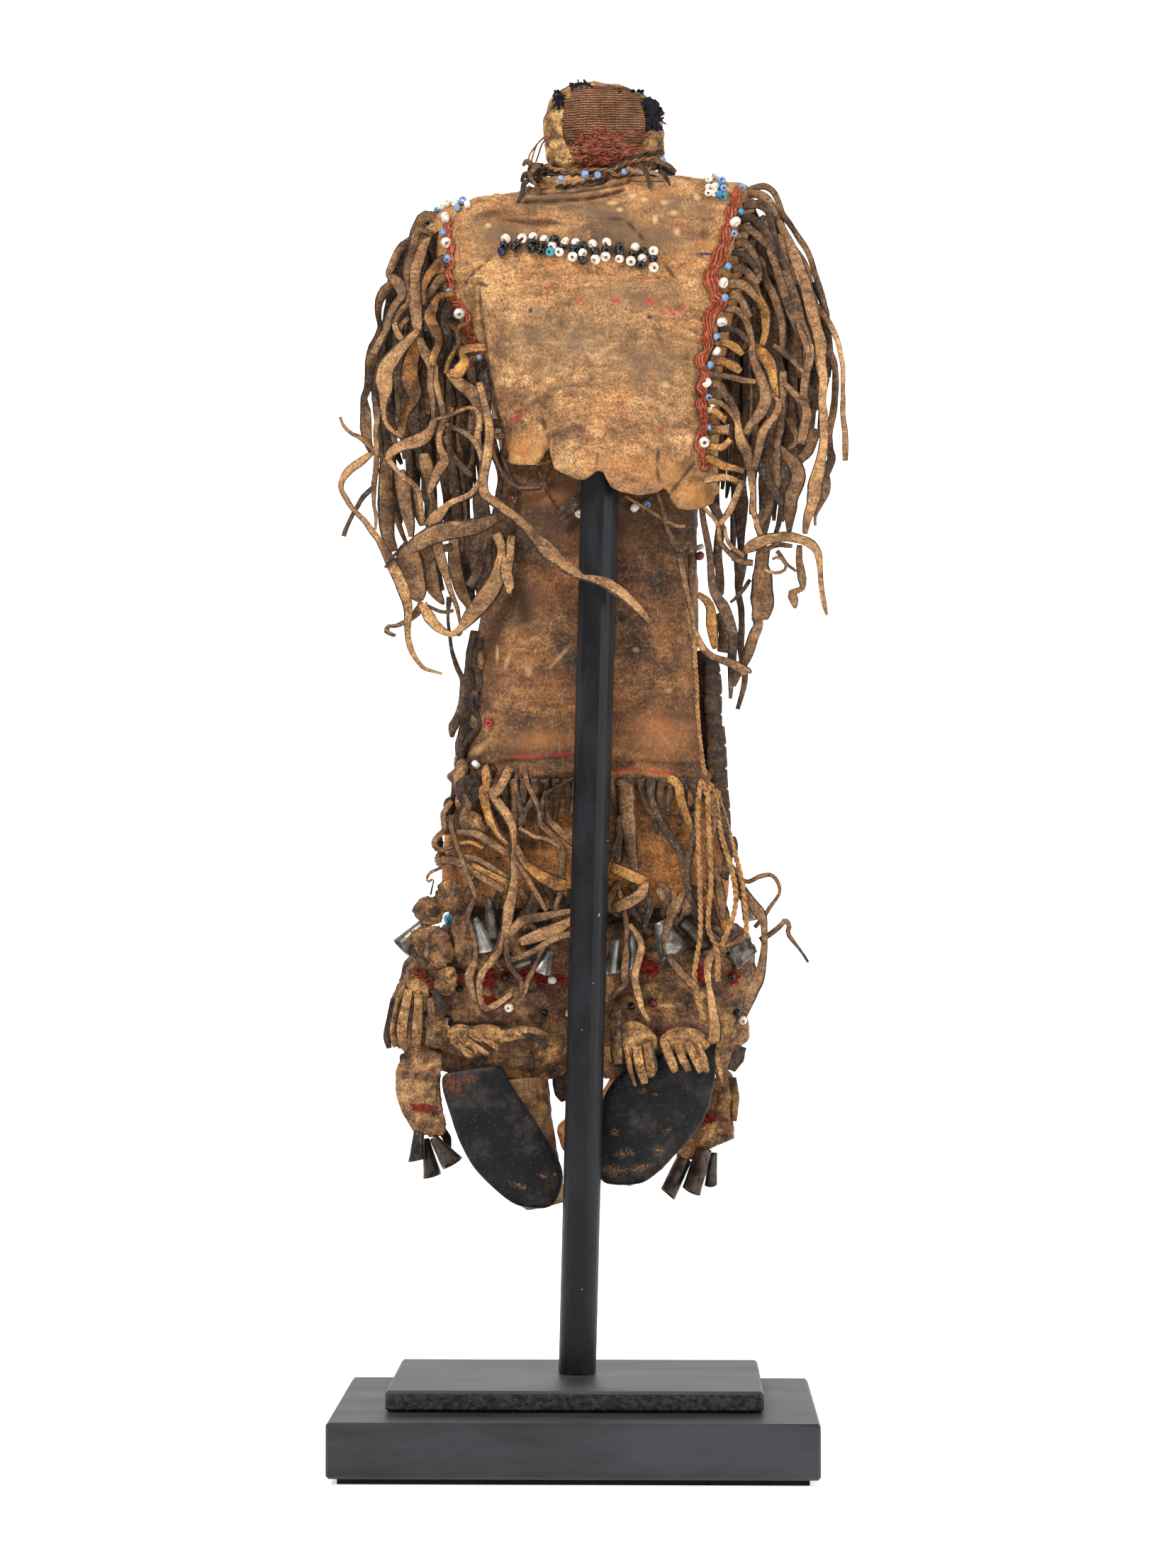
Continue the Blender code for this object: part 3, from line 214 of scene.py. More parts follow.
def hide_look(name, colours, scale=90.0, stain_share=0.65, pits=0.6, dusty=0.24):
    """Smoked hide: blotches, warmer stains, streaks of dirt, a fine nap and dark pits."""
    look = Look(name, 0.78)
    dark, middle, light, stain = (srgb(*colour) for colour in colours)
    colour = look.ramp(look.noise(scale, 6.0, 0.7), (0.37, dark), (0.5, middle), (0.63, light))
    stained = look.level(look.noise(scale * 0.5, 4.0, 0.6), 0.45, 0.6, 0, stain_share)
    colour = look.mix(stained, colour, stain)
    streak = look.noise(1.0, 5.0, 0.65, look.stretched((170.0, 170.0, 480.0)))
    colour = look.shade(colour, look.level(streak, 0.35, 0.65, 0.6, 1.35))
    grain = look.noise(1500.0, 3.0, 0.8)
    colour = look.shade(colour, look.level(grain, 0.36, 0.64, 0.4, 1.6))
    dust = look.level(look.noise(800.0, 3.0, 0.8), 0.54, 0.66, 0, dusty)
    colour = look.mix(dust, colour, srgb(*DUST))
    pitted = look.level(look.noise(430.0, 4.0, 0.75), 0.58, 0.68, 0, pits)
    look.colour = look.mix(pitted, colour, srgb(*PIT))
    look.bump(look.noise(240.0, 5.0, 0.65), 0.6, 0.7 * MM)
    look.bump(grain, 0.6, 0.3 * MM)
    return look


def line_places(lines, width):
    """Spots along drawn lines, for the painted shade that lies in creases."""
    places = []
    for line in lines:
        for start, end in zip(line, line[1:]):
            way = Vector(end) - Vector(start)
            middle = (Vector(start) + Vector(end)) / 2
            lean = math.degrees(math.atan2(way.y, way.x))
            places.append((middle.x, middle.y, way.length * 0.8, width, lean))
    return places


def cape_look():
    look = hide_look("cape hide", CAPE_COLOURS, 62.0, pits=0.35)
    deep_lines = [line for _, lift, line in CREASES if lift < SHADED_CREASE]
    # Painted shade: the deepest creases and the panel's edge are darkened along their lines
    crease_shade = ((260.0, 4.0), (0.06, 0.34), 0.8, (62, 42, 28), line_places(deep_lines + [PANEL_EDGE], 4.5))
    look.paint(look.marked(look.colour, CAPE_STAINS_AND_SHADE + [crease_shade] + CAPE_SCUFFS))
    return look.material


def body_look():
    look = hide_look("body hide", BODY_COLOURS, 70.0)
    look.paint(look.marked(look.colour, BODY_SHADE_AND_MARKS))
    return look.material


def boot_look():
    look = hide_look("boot hide", BOOT_COLOURS, 170.0, pits=0.8)
    knit = look.node("ShaderNodeTexWave", {"bands_direction": "Z"}, Vector=look.place, Scale=420.0,
                     Distortion=5.0, Detail=2.0, Detail_Scale=2.0).outputs["Fac"]
    wool = look.level(look.sum(look.spots(BOOT_WOOL), look.noise(420.0, 3.0)), 0.08, 0.2)
    knitting = look.ramp(knit, (0.2, srgb(62, 18, 14)), (0.8, srgb(140, 44, 30)))
    look.paint(look.marked(look.mix(wool, look.colour, knitting), BOOT_MARKS))
    return look.material


def plain_hide(name, colours, settings):
    look = hide_look(name, colours, **settings)
    look.paint(look.colour)
    return look.material


def thong_look(name, dark, middle, light):
    """Thong hide: even, with a fine dark speckle."""
    return plain_hide(name, (dark, middle, light, middle), {"scale": 60.0, "stain_share": 0.3, "pits": 0.8})


def cloth_look():
    """Ribbed woollen cloth: fine level rows, faintly crossed."""
    look = Look("brown wool", 0.95, specular=0.1)
    rows, crossed = (look.node("ShaderNodeTexWave", {"bands_direction": way}, Vector=look.place,
                               Scale=WAVE_UNIT / CLOTH_PITCH, Distortion=bend, Detail=3.0,
                               Detail_Scale=2.0).outputs["Fac"]
                     for way, bend in (("Z", 2.5), ("X", 4.0)))
    weave = look.sum(look.level(crossed, 0, 1, 0.55, 1), rows)
    colour = look.ramp(weave, (0.05, srgb(52, 32, 22)), (0.8, srgb(146, 104, 76)))
    colour = look.shade(colour, look.level(look.noise(130.0, 6.0, 0.75), 0.38, 0.62, 0.5, 1.4))
    look.paint(colour)
    look.bump(weave, 0.8, 0.35 * MM)
    return look.material


def thread_look(name, colour, dark):
    look = Look(name, 0.9, specular=0.15)
    look.paint(look.ramp(look.noise(700.0, 4.0, 0.75), (0.36, srgb(*dark)), (0.6, srgb(*colour))))
    look.bump(look.noise(2500.0, 2.0), 0.5, 0.1 * MM)
    return look.material


def bead_look(name, colour, dirt):
    look = Look(name, 0.22, specular=0.5)
    look.paint(look.ramp(look.noise(700.0, 4.0, 0.7), (0.38, srgb(*dirt)), (0.52, srgb(*colour))))
    return look.material


def paint_look(name, low, high):
    """Satin charcoal paint with dust specks."""
    look = Look(name, 0.5, specular=0.2)
    streaks = look.noise(60.0, 6.0, 0.65, look.stretched((0.25, 1.0, 1.0)))
    colour = look.ramp(streaks, (0.35, srgb(*low)), (0.65, srgb(*high)))
    specks = look.level(look.noise(1500.0, 2.0, 0.8), 0.68, 0.74, 0, 0.3)
    look.paint(look.mix(specks, colour, srgb(120, 120, 124)))
    look.rough(look.level(streaks, 0.3, 0.8, 0.42, 0.6))
    look.bump(look.noise(500.0, 5.0, 0.7), 0.25, 0.15 * MM)
    return look.material


def pebbled_look():
    look = Look("pebbled paint", 0.4, specular=0.3)
    look.paint(look.ramp(look.noise(700.0, 3.0), (0.4, srgb(18, 19, 20)), (0.62, srgb(50, 51, 54))))
    look.bump(look.noise(700.0, 3.0, 0.5), 0.9, 0.6 * MM)
    return look.material


ROD_CHIPS = [
    (846, 1290, 2.5, 6, 20), (838, 1385, 3, 1.5, 0), (858, 1186, 3, 1, 20), (822, 1450, 5, 1, -25),
    (857, 1318, 1, 6, 0), (822, 1812, 3, 2, 0),
]


def rod_look():
    look = Look("rod paint", 0.34, specular=0.18)
    mottle = look.noise(120.0, 5.0, 0.6, look.stretched((1.0, 1.0, 0.35)))
    colour = look.ramp(mottle, (0.4, srgb(15, 15, 17)), (0.65, srgb(28, 29, 33)))
    colour = look.mix(look.level(look.spots(ROD_CHIPS), 0.35, 0.5), colour, srgb(170, 150, 110))
    dust = look.level(look.noise(900.0, 3.0, 0.8), 0.66, 0.72, 0, 0.25)
    look.paint(look.mix(dust, colour, srgb(110, 112, 120)))
    look.rough(look.level(mottle, 0.35, 0.7, 0.3, 0.46))
    look.bump(look.noise(900.0, 3.0), 0.12, 0.1 * MM)
    return look.material


WORN_HEEL = [(640, 1530, 30, 24, 20), (662, 1522, 22, 10, 12), (905, 1540, 10, 6, 0), (924, 1545, 8, 4, 0)]
WORN_TOES = [
    (868, 1652, 34, 16, 0), (905, 1648, 34, 12, -14), (930, 1625, 14, 14, 0), (880, 1628, 30, 14, 0),
    (732, 1674, 30, 8, 14), (764, 1660, 14, 8, 0), (782, 1658, 6, 6, 0), (867, 1598, 12, 12, 0),
    (942, 1596, 6, 14, 30),
]


def sole_look():
    """Hard black sole leather, worn to ochre at the toes and red-brown at the heel."""
    look = Look("sole leather", 0.42, specular=0.16)
    colour = look.ramp(look.noise(110.0, 6.0, 0.7), (0.36, srgb(8, 8, 9)), (0.52, srgb(20, 19, 20)),
                       (0.68, srgb(56, 50, 47)))
    dust = look.level(look.noise(1100.0, 3.0, 0.8), 0.6, 0.7, 0, 0.25)
    colour = look.mix(dust, colour, srgb(120, 112, 104))
    colour = look.mix(look.speckled(look.spots(WORN_HEEL), 1100.0, 0.1, 0.5), colour, srgb(92, 52, 33))
    colour = look.mix(look.speckled(look.spots(WORN_TOES), 1500.0, 0.3, 0.6), colour, srgb(126, 88, 52))
    look.paint(colour)
    look.bump(look.noise(160.0, 6.0, 0.7), 0.6, 0.8 * MM)
    look.bump(look.noise(700.0, 4.0, 0.65), 0.5, 0.3 * MM)
    return look.material


def tin_look(name, dull, bright):
    look = Look(name, 0.42, 0.85)
    tarnish = look.noise(240.0, 5.0, 0.65)
    look.paint(look.ramp(tarnish, (0.38, srgb(*dull)), (0.62, srgb(*bright))))
    look.rough(look.level(tarnish, 0.35, 0.65, 0.55, 0.3))
    look.bump(look.noise(500.0, 2.0), 0.25, 0.2 * MM)
    return look.material


def felt_look():
    look = Look("felt", 0.95, specular=0.1)
    look.paint(look.ramp(look.noise(900.0), (0.3, srgb(18, 18, 18)), (0.7, srgb(34, 33, 32))))
    look.bump(look.noise(1500.0, 2.0), 0.6, 0.2 * MM)
    return look.material


DUST = (176, 156, 136)
PIT = (46, 32, 22)
# Creases deeper than this get painted shade along them
SHADED_CREASE = -0.55
CLOTH_PITCH = 0.75 * MM
# A wave texture of scale 1 has a wave each 0.314 m
WAVE_UNIT = 0.31416
# Dark, middle, light and stain colours
CAPE_COLOURS = ((100, 68, 42), (158, 116, 74), (204, 164, 112), (146, 96, 52))
BODY_COLOURS = ((52, 34, 20), (94, 62, 35), (140, 98, 57), (106, 62, 31))
BOOT_COLOURS = ((44, 30, 21), (100, 69, 42), (186, 138, 80), (86, 54, 38))
# Marks on a hide: scale and detail of the noise that breaks them up, where the broken mask starts and ends,
# strength and colour, then spots as across, down, half width, half height and lean in degrees
CAPE_STAINS_AND_SHADE = [
    # Ochre round the hem and the right edge, greyer patches at the neck, across the back and along the hem,
    # then near-black painted shade beside the panel's edge, in creases and at the right seam
    ((110.0, 5.0), (0.1, 0.45), 0.6, (184, 122, 60),
     [(740, 632, 70, 40, 0), (860, 668, 190, 44, 0), (985, 700, 60, 40, 0), (1000, 344, 26, 14, 0),
      (1035, 420, 30, 230, 6), (930, 275, 60, 16, -8)]),
    ((140.0, 6.0), (0.08, 0.46), 0.8, (98, 76, 56),
     [(840, 300, 130, 30, 10), (800, 480, 150, 70, 0), (900, 510, 120, 60, 0), (790, 278, 110, 34, -6),
      (900, 420, 120, 34, 0), (700, 330, 90, 44, 0), (800, 268, 110, 26, -4), (900, 330, 160, 50, 0),
      (960, 290, 90, 30, 0), (860, 690, 190, 16, 12), (690, 560, 16, 150, -8)]),
    ((200.0, 5.0), (0.08, 0.4), 0.85, (70, 44, 26),
     [(994, 327, 12, 10, 0), (665, 430, 12, 50, 0), (655, 470, 14, 60, 0), (690, 300, 50, 12, -8),
      (770, 313, 60, 6, 8), (985, 560, 10, 90, 0), (700, 640, 22, 16, 0)]),
]
CAPE_SCUFFS = [
    # Pale rubbed spots, red smears, then dark smudges
    ((420.0, 4.0), (0.06, 0.4), 0.75, (204, 166, 116),
     [(892, 276, 9, 6, 0), (864, 286, 12, 5, 0), (909, 281, 8, 5, 0), (938, 285, 9, 6, 0),
      (984, 275, 8, 7, 0), (924, 310, 6, 10, 0), (951, 300, 9, 6, 0), (955, 326, 8, 8, 0),
      (874, 296, 7, 5, 0), (720, 523, 7, 6, 0), (717, 540, 6, 6, 0), (938, 544, 10, 8, 0),
      (848, 646, 7, 5, 0), (729, 644, 8, 6, 0), (688, 316, 7, 6, 0)]),
    ((800.0, 3.0), (0.08, 0.4), 0.8, (158, 50, 44),
     [(730, 587, 24, 6, -33), (802, 587, 7, 6, 0), (880, 592, 11, 5, -45), (932, 610, 7, 8, 0),
      (951, 444, 6, 5, 0), (912, 393, 14, 4, 0), (962, 316, 7, 5, 0), (870, 426, 13, 6, 25),
      (917, 427, 16, 7, 10), (945, 438, 4, 14, -40), (962, 437, 4, 13, 40), (779, 375, 9, 4, 0),
      (774, 408, 10, 4, -25), (818, 426, 13, 4, -42), (885, 629, 5, 6, 0)]),
    ((700.0, 3.0), (0.1, 0.35), 1.0, (52, 50, 56),
     [(916, 449, 6, 6, 0), (996, 356, 18, 3, 0), (749, 439, 5, 5, 0), (990, 357, 5, 6, 0)]),
]
BODY_SHADE_AND_MARKS = [
    # Painted shade under the cape and down the left side among the fringes, with darker patches lower down,
    # then warm patches, pale rubbed spots and the red line over the hem
    ((120.0, 5.0), (0.08, 0.42), 0.85, (70, 44, 26),
     [(840, 740, 200, 60, 0), (735, 850, 60, 60, 0), (690, 900, 40, 160, 0), (655, 980, 26, 130, 0),
      (800, 700, 160, 50, 0), (720, 1062, 60, 16, 0), (960, 1010, 60, 14, 0)]),
    ((260.0, 6.0, 0.75), (0.1, 0.5), 0.6, (160, 102, 58),
     [(930, 1040, 110, 60, 0), (760, 1044, 90, 30, 0), (770, 700, 60, 20, 0)]),
    ((420.0, 4.0), (0.08, 0.4), 0.7, (184, 144, 94),
     [(700, 922, 4, 22, 0), (714, 932, 5, 20, 20), (745, 945, 8, 12, 0), (790, 925, 5, 30, 42),
      (755, 918, 3, 6, 0), (897, 916, 8, 6, 0), (876, 960, 5, 5, 0), (943, 972, 9, 6, 0),
      (672, 1056, 26, 10, -35)]),
    ((500.0, 4.0), (0.06, 0.34), 0.8, (146, 50, 38),
     [(745, 1067, 44, 5, 0), (795, 1064, 40, 5, -5), (883, 1086, 34, 5, -3), (930, 1089, 40, 5, 3)]),
]
BOOT_WOOL = [
    (672, 1380, 40, 18, -10), (752, 1372, 62, 12, -6), (800, 1384, 30, 12, 0), (916, 1364, 12, 16, 0),
    (989, 1370, 9, 18, 0), (1034, 1374, 12, 10, 0), (688, 1418, 8, 10, 0),
]
BOOT_MARKS = [
    ((300.0, 3.0), (0.1, 0.5), 0.7, (118, 44, 38), [(960, 1453, 50, 12, 0), (1050, 1470, 10, 12, 0),
        (700, 1466, 20, 8, 0)]),
]
HIDES = {
    "under": ((92, 55, 27), (156, 100, 50), (194, 136, 74), (138, 84, 40)),
    "head": ((66, 44, 26), (146, 106, 62), (214, 172, 108), (122, 84, 46)),
    "tab": ((50, 34, 24), (110, 78, 48), (180, 134, 80), (92, 60, 40)),
    "dark": ((26, 20, 16), (54, 38, 26), (94, 68, 44), (44, 32, 26)),
    "gold": ((70, 48, 28), (146, 104, 60), (200, 154, 94), (112, 76, 44)),
    "pendant": ((52, 36, 24), (128, 90, 56), (188, 144, 92), (96, 66, 42)),
}
HIDE_SETTINGS = {
    "head": {"scale": 190.0},
    "tab": {"scale": 260.0},
    "dark": {"scale": 170.0, "dusty": 0.08},
    "gold": {"scale": 330.0, "pits": 0.9},
    "pendant": {"scale": 150.0, "pits": 0.8},
}
# Name, then dark, middle and light colours
THONGS = {
    "thong dark": ("dark thong", (38, 27, 19), (70, 50, 34), (106, 78, 54)),
    "thong middle": ("brown thong", (66, 46, 30), (112, 80, 52), (152, 114, 76)),
    "thong light": ("light thong", (94, 66, 42), (146, 106, 68), (184, 140, 92)),
    "thong gold": ("gold thong", (92, 60, 28), (154, 104, 52), (194, 144, 78)),
    # The rims' dark look: painted shade along the strips' edges
    "edge": ("thong edge", (24, 17, 12), (44, 31, 22), (84, 62, 42)),
}
# Name, then the colour and its dark side
THREADS = {
    "black wool": ("black wool", (34, 34, 40), (12, 12, 15)),
    "yarn": ("red yarn", (178, 86, 60), (100, 42, 30)),
    "pale yarn": ("faded yarn", (190, 128, 88), (126, 70, 46)),
    "dark yarn": ("dark yarn", (140, 56, 40), (76, 28, 22)),
    "red thread": ("red thread", (134, 44, 34), (70, 20, 17)),
    "shred": ("shredded cloth", (146, 88, 62), (80, 46, 32)),
    "red shred": ("red shreds", (132, 54, 42), (70, 28, 22)),
    "cord": ("sinew cord", (176, 130, 82), (96, 66, 40)),
    "copper": ("copper thread", (150, 96, 66), (84, 50, 36)),
}
# The glass and the dirt on it
GLASS = {
    "white": ((226, 218, 206), (176, 154, 124)),
    "blue": ((122, 152, 188), (84, 104, 134)),
    "teal": ((62, 138, 150), (44, 92, 98)),
    "bright blue": ((30, 112, 160), (20, 74, 110)),
    "turquoise": ((86, 176, 204), (56, 118, 138)),
    "black": ((14, 13, 14), (30, 26, 24)),
    "navy": ((22, 24, 58), (20, 20, 38)),
    "red": ((176, 24, 34), (110, 18, 22)),
    "maroon": ((96, 28, 30), (60, 20, 22)),
    "amber": ((96, 64, 40), (46, 32, 26)),
}


def make_looks():
    looks = {
        "cape": cape_look(),
        "body": body_look(),
        "boot": boot_look(),
        "wool": cloth_look(),
        "sole": sole_look(),
        "tin": tin_look("tin", (52, 44, 38), (124, 116, 106)),
        "bright tin": tin_look("bright tin", (84, 78, 72), (176, 170, 162)),
        "old tin": tin_look("old tin", (42, 35, 31), (84, 74, 66)),
        "paint": paint_look("stand paint", (34, 35, 37), (54, 55, 58)),
        "plate": paint_look("plate paint", (42, 43, 45), (62, 63, 66)),
        "pebbled": pebbled_look(),
        "rod": rod_look(),
        "felt": felt_look(),
    }
    for key, colours in HIDES.items():
        looks[key] = plain_hide(key + " hide", colours, HIDE_SETTINGS.get(key, {}))
    for key, thong_colours in THONGS.items():
        looks[key] = thong_look(*thong_colours)
    for key, thread_colours in THREADS.items():
        looks[key] = thread_look(*thread_colours)
    for key, (glass, dirt) in GLASS.items():
        looks[key] = bead_look(key + " glass", glass, dirt)
    return looks


# Shapes


class Piece:
    """Collects the faces of one piece, then makes its object."""

    def __init__(self):
        self.points = []
        self.faces = []
        self.looks = []

    def add(self, points, faces, look=0):
        start = len(self.points)
        self.points.extend(points)
        self.faces.extend(tuple(start + i for i in face) for face in faces)
        self.looks.extend([look] * len(faces))

    def surface(self):
        return BVHTree.FromPolygons(self.points, self.faces)

    def make(self, name, looks, stands_for=()):
        mesh = bpy.data.meshes.new(name)
        mesh.from_pydata([tuple(point) for point in self.points], [], self.faces)
        for look in looks:
            mesh.materials.append(look)
        mesh.polygons.foreach_set("material_index", self.looks)
        mesh.shade_smooth()
        made = bpy.data.objects.new(name, mesh)
        bpy.context.collection.objects.link(made)
        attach(made, BODY)
        if stands_for:
            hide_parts(*stands_for)
        return made


def skin(piece, rings, look=0, closed=True):
    """Faces between rings of points, with a cap at each end if closed."""
    count = len(rings[0])
    points = [point for ring in rings for point in ring]
    faces = []
    for k in range(len(rings) - 1):
        for i in range(count):
            j = (i + 1) % count
            faces.append((k * count + i, k * count + j, (k + 1) * count + j, (k + 1) * count + i))
    if closed:
        last = (len(rings) - 1) * count
        faces.append(tuple(reversed(range(count))))
        faces.append(tuple(last + i for i in range(count)))
    piece.add(points, faces, look)


def along(values, share):
    """The value at a share of the way through an evenly spaced list."""
    place = share * (len(values) - 1)
    low = min(int(place), len(values) - 2)
    return values[low] + (values[low + 1] - values[low]) * (place - low)


def curve(points, place):
    """A point of the smooth curve through the given ones. place counts from one to the next."""
    last = len(points) - 1
    i = min(int(place), last - 1)
    t = place - i
    a = points[max(i - 1, 0)]
    b = points[i]
    c = points[i + 1]
    d = points[min(i + 2, last)]
    return 0.5 * (2 * b + (c - a) * t + (2 * a - 5 * b + 4 * c - d) * t ** 2
                  + (3 * b - a - 3 * c + d) * t ** 3)


def smooth_route(points, steps):
    last = len(points) - 1
    return [curve(points, k * last / steps) for k in range(steps + 1)]


def route_length(route):
    return sum((b - a).length for a, b in zip(route, route[1:]))


def frames(route):
    """The way ahead, a side and an outward direction at each point, with no needless turning."""
    side = None
    for k in range(len(route)):
        ahead = (route[min(k + 1, len(route) - 1)] - route[max(k - 1, 0)]).normalized()
        if side is None:
            side = ahead.cross(Vector((0, 1, 0)))
            if side.length < 0.2:
                side = Vector((1, 0, 0))
        side = (side - ahead * side.dot(ahead)).normalized()
        yield ahead, side, side.cross(ahead)


def sweep(piece, route, outline_at, look=0):
    rings = []
    last = len(route) - 1
    for k, (_, side, out) in enumerate(frames(route)):
        rings.append([route[k] + side * s + out * o for s, o in outline_at(k / last)])
    skin(piece, rings, look)


def circle(radius, sides):
    return [(radius * math.cos(2 * math.pi * i / sides), radius * math.sin(2 * math.pi * i / sides))
            for i in range(sides)]


def tube(piece, route, radii, sides=6, look=0):
    sweep(piece, route, lambda share: circle(along(radii, share), sides), look)


def strands(piece, route, count, strand_radius, offset, pitch, look=0, sides=5):
    """Several strands twisted round a route, one turn in each pitch."""
    done = 0.0
    turns = []
    for k, point in enumerate(route):
        if k:
            done += (point - route[k - 1]).length
        turns.append(done)
    directions = list(frames(route))
    for s in range(count):
        line = []
        for point, (_, side, out), way in zip(route, directions, turns):
            turn = 2 * math.pi * (way / pitch + s / count)
            line.append(point + side * offset * math.cos(turn) + out * offset * math.sin(turn))
        tube(piece, line, (strand_radius, strand_radius), sides, look)


# Across and through a strip, from edge to edge and back; the last two faces at each edge are its rim,
# darkened with painted shade when a rim look is given
STRIP_OUTLINE = [
    (-1.0, 0.0), (-0.82, -0.85), (-0.3, -1.0), (0.3, -1.0), (0.82, -0.85), (1.0, 0.0), (0.82, 0.85),
    (0.0, 1.0), (-0.82, 0.85),
]
RIM_FACES = (0, 4, 5, 8)
THONG_STEP = 1.6 * MM


def thong(piece, points, widths, depths, look, seed, thickness=1.0 * MM, root=None, twist=0.3, rim=None):
    """A cut strip of hide. points and widths are on the sheet, depths are in millimetres."""
    count = len(points) - 1
    bare = [at(x, y, along(depths, k / count) * MM) for k, (x, y) in enumerate(points)]
    if root:
        bare[0] = root
    steps = max(8, int(route_length(bare) / THONG_STEP))
    route = smooth_route(bare, steps)
    for k, point in enumerate(route):
        shake = noise.noise_vector(Vector((seed * 7.3, k * 0.3, 0.5)))
        point += shake * (0.35 * MM) * min(1, k / 4)
    start = 2.0 * noise.noise(Vector((seed * 3.1, 0.2, 0.7)))
    rings = []
    for k, (_, side, out) in enumerate(frames(route)):
        share = k / steps
        half = max(0.45 * MM, along(widths, share) / SHEET_REACH / 2 * (route[k].y - EYE.y))
        way = k * 0.16
        half *= 1 + 0.14 * noise.noise(Vector((seed, way * 2.6, 3.0)))
        turn = twist * (start + 2.4 * noise.noise(Vector((seed, way, 9.0))))
        half /= max(0.75, math.cos(turn))
        cup = 0.5 * noise.noise(Vector((seed, way * 0.8, 5.0)))
        thick = min(thickness, half * 1.1) * (1 + 0.3 * noise.noise(Vector((seed, way * 3, 7.0))))
        ring = []
        for s, o in STRIP_OUTLINE:
            across = s * half
            away = o * thick / 2 + cup * half * (s * s - 0.4)
            ring.append(route[k] + side * (across * math.cos(turn) - away * math.sin(turn))
                        + out * (across * math.sin(turn) + away * math.cos(turn)))
        rings.append(ring)
    first = len(piece.looks)
    skin(piece, rings, look)
    # The rim faces take the rim look: painted shade along the strip's edges
    if rim is not None:
        sides = len(STRIP_OUTLINE)
        for k in range(steps):
            for face in RIM_FACES:
                piece.looks[first + k * sides + face] = rim


def bead(piece, centre, radius, length, axis, look=0):
    """A glass bead with its hole along axis."""
    profile = [(0.32, -0.36), (0.62, -0.5), (0.9, -0.34), (1.0, 0.0), (0.9, 0.34), (0.62, 0.5), (0.32, 0.36)]
    axis = axis.normalized()
    side = axis.orthogonal().normalized()
    other = axis.cross(side)
    sides = 12
    points = []
    for r, h in profile:
        for i in range(sides):
            turn = 2 * math.pi * i / sides
            points.append(centre + (side * math.cos(turn) + other * math.sin(turn)) * (r * radius)
                          + axis * (h * length))
    faces = []
    rows = len(profile)
    for k in range(rows):
        for i in range(sides):
            j = (i + 1) % sides
            m = (k + 1) % rows
            faces.append((k * sides + i, m * sides + i, m * sides + j, k * sides + j))
    piece.add(points, faces, look)


def lay_on(tree, across, down, lift):
    """The point above a surface, at a given distance, that the camera sees there."""
    ray = sight(across, down).normalized()
    hit = tree.ray_cast(EYE, ray)[0]
    if hit is None:
        hit = at(across, down, DOLL_MIDDLE)
    point = hit - ray * lift
    for _ in range(8):
        near, _, _, distance = tree.find_nearest(point)
        point += (point - near).normalized() * (lift - distance)
    return point


def outward(tree, point):
    near = tree.find_nearest(point)[0]
    return (point - near).normalized()


# Forms drawn as rings


def superellipse(turn, squareness):
    across = math.copysign(abs(math.cos(turn)) ** (2 / squareness), math.cos(turn))
    deep = math.copysign(abs(math.sin(turn)) ** (2 / squareness), math.sin(turn))
    return across, deep


def ring_rows(table, rows, middle):
    """The left end, right end and half depth of each row through a table of rings.

    The table's lines are (left x, left y, right x, right y, half depth), on the sheet and in millimetres.
    """
    lines = [(at(lx, ly, middle), at(rx, ry, middle), Vector((half * MM, 0, 0)))
             for lx, ly, rx, ry, half in table]
    for r in range(rows + 1):
        place = r * (len(lines) - 1) / rows
        left, right, half = (curve([line[k] for line in lines], place) for k in range(3))
        yield left, right, half.x


def ring_grid(table, rows, count, middle, squareness):
    """Rings of points, oval to squarish, through a table of rings."""
    grid = []
    for left, right, half in ring_rows(table, rows, middle):
        ring = []
        for i in range(count):
            across, deep = superellipse(2 * math.pi * i / count, squareness)
            ring.append(left.lerp(right, (across + 1) / 2) + Vector((0, deep * half, 0)))
        grid.append(ring)
    return grid


def normals(grid):
    """The outward direction at each point of a grid of rings."""
    count = len(grid[0])
    out = []
    for r, ring in enumerate(grid):
        above = grid[max(r - 1, 0)]
        below = grid[min(r + 1, len(grid) - 1)]
        centre = sum(ring, Vector()) / count
        line = []
        for i, point in enumerate(ring):
            down = below[i] - above[i]
            round_it = ring[(i + 1) % count] - ring[i - 1]
            way = round_it.cross(down)
            if way.length < 1e-12:
                way = point - centre
            way.normalize()
            if way.dot(point - centre) < 0:
                way.negate()
            line.append(way)
        out.append(line)
    return out


def swollen(grid, push):
    """The grid with each point moved outward by push(point, row share, ring share)."""
    rows = len(grid) - 1
    result = []
    for r, (ring, ways) in enumerate(zip(grid, normals(grid))):
        result.append([point + way * push(point, r / rows, i / len(ring))
                       for i, (point, way) in enumerate(zip(ring, ways))])
    return result


def wrinkle(point, scale, stretch=(1, 1, 1), seed=0.0):
    """Smooth folds, from -1 to 1."""
    place = Vector((point.x * stretch[0], point.y * stretch[1], point.z * stretch[2])) * scale
    return noise.fractal(place + Vector((seed, seed * 0.7, 0)), 0.9, 2.1, 4)


def ridge(point, scale, stretch=(1, 1, 1), seed=0.0):
    """Sharp creases at 0, rising to 1 between them."""
    place = Vector((point.x * stretch[0], point.y * stretch[1], point.z * stretch[2])) * scale
    return abs(noise.noise(place + Vector((seed, 3.1, seed))))


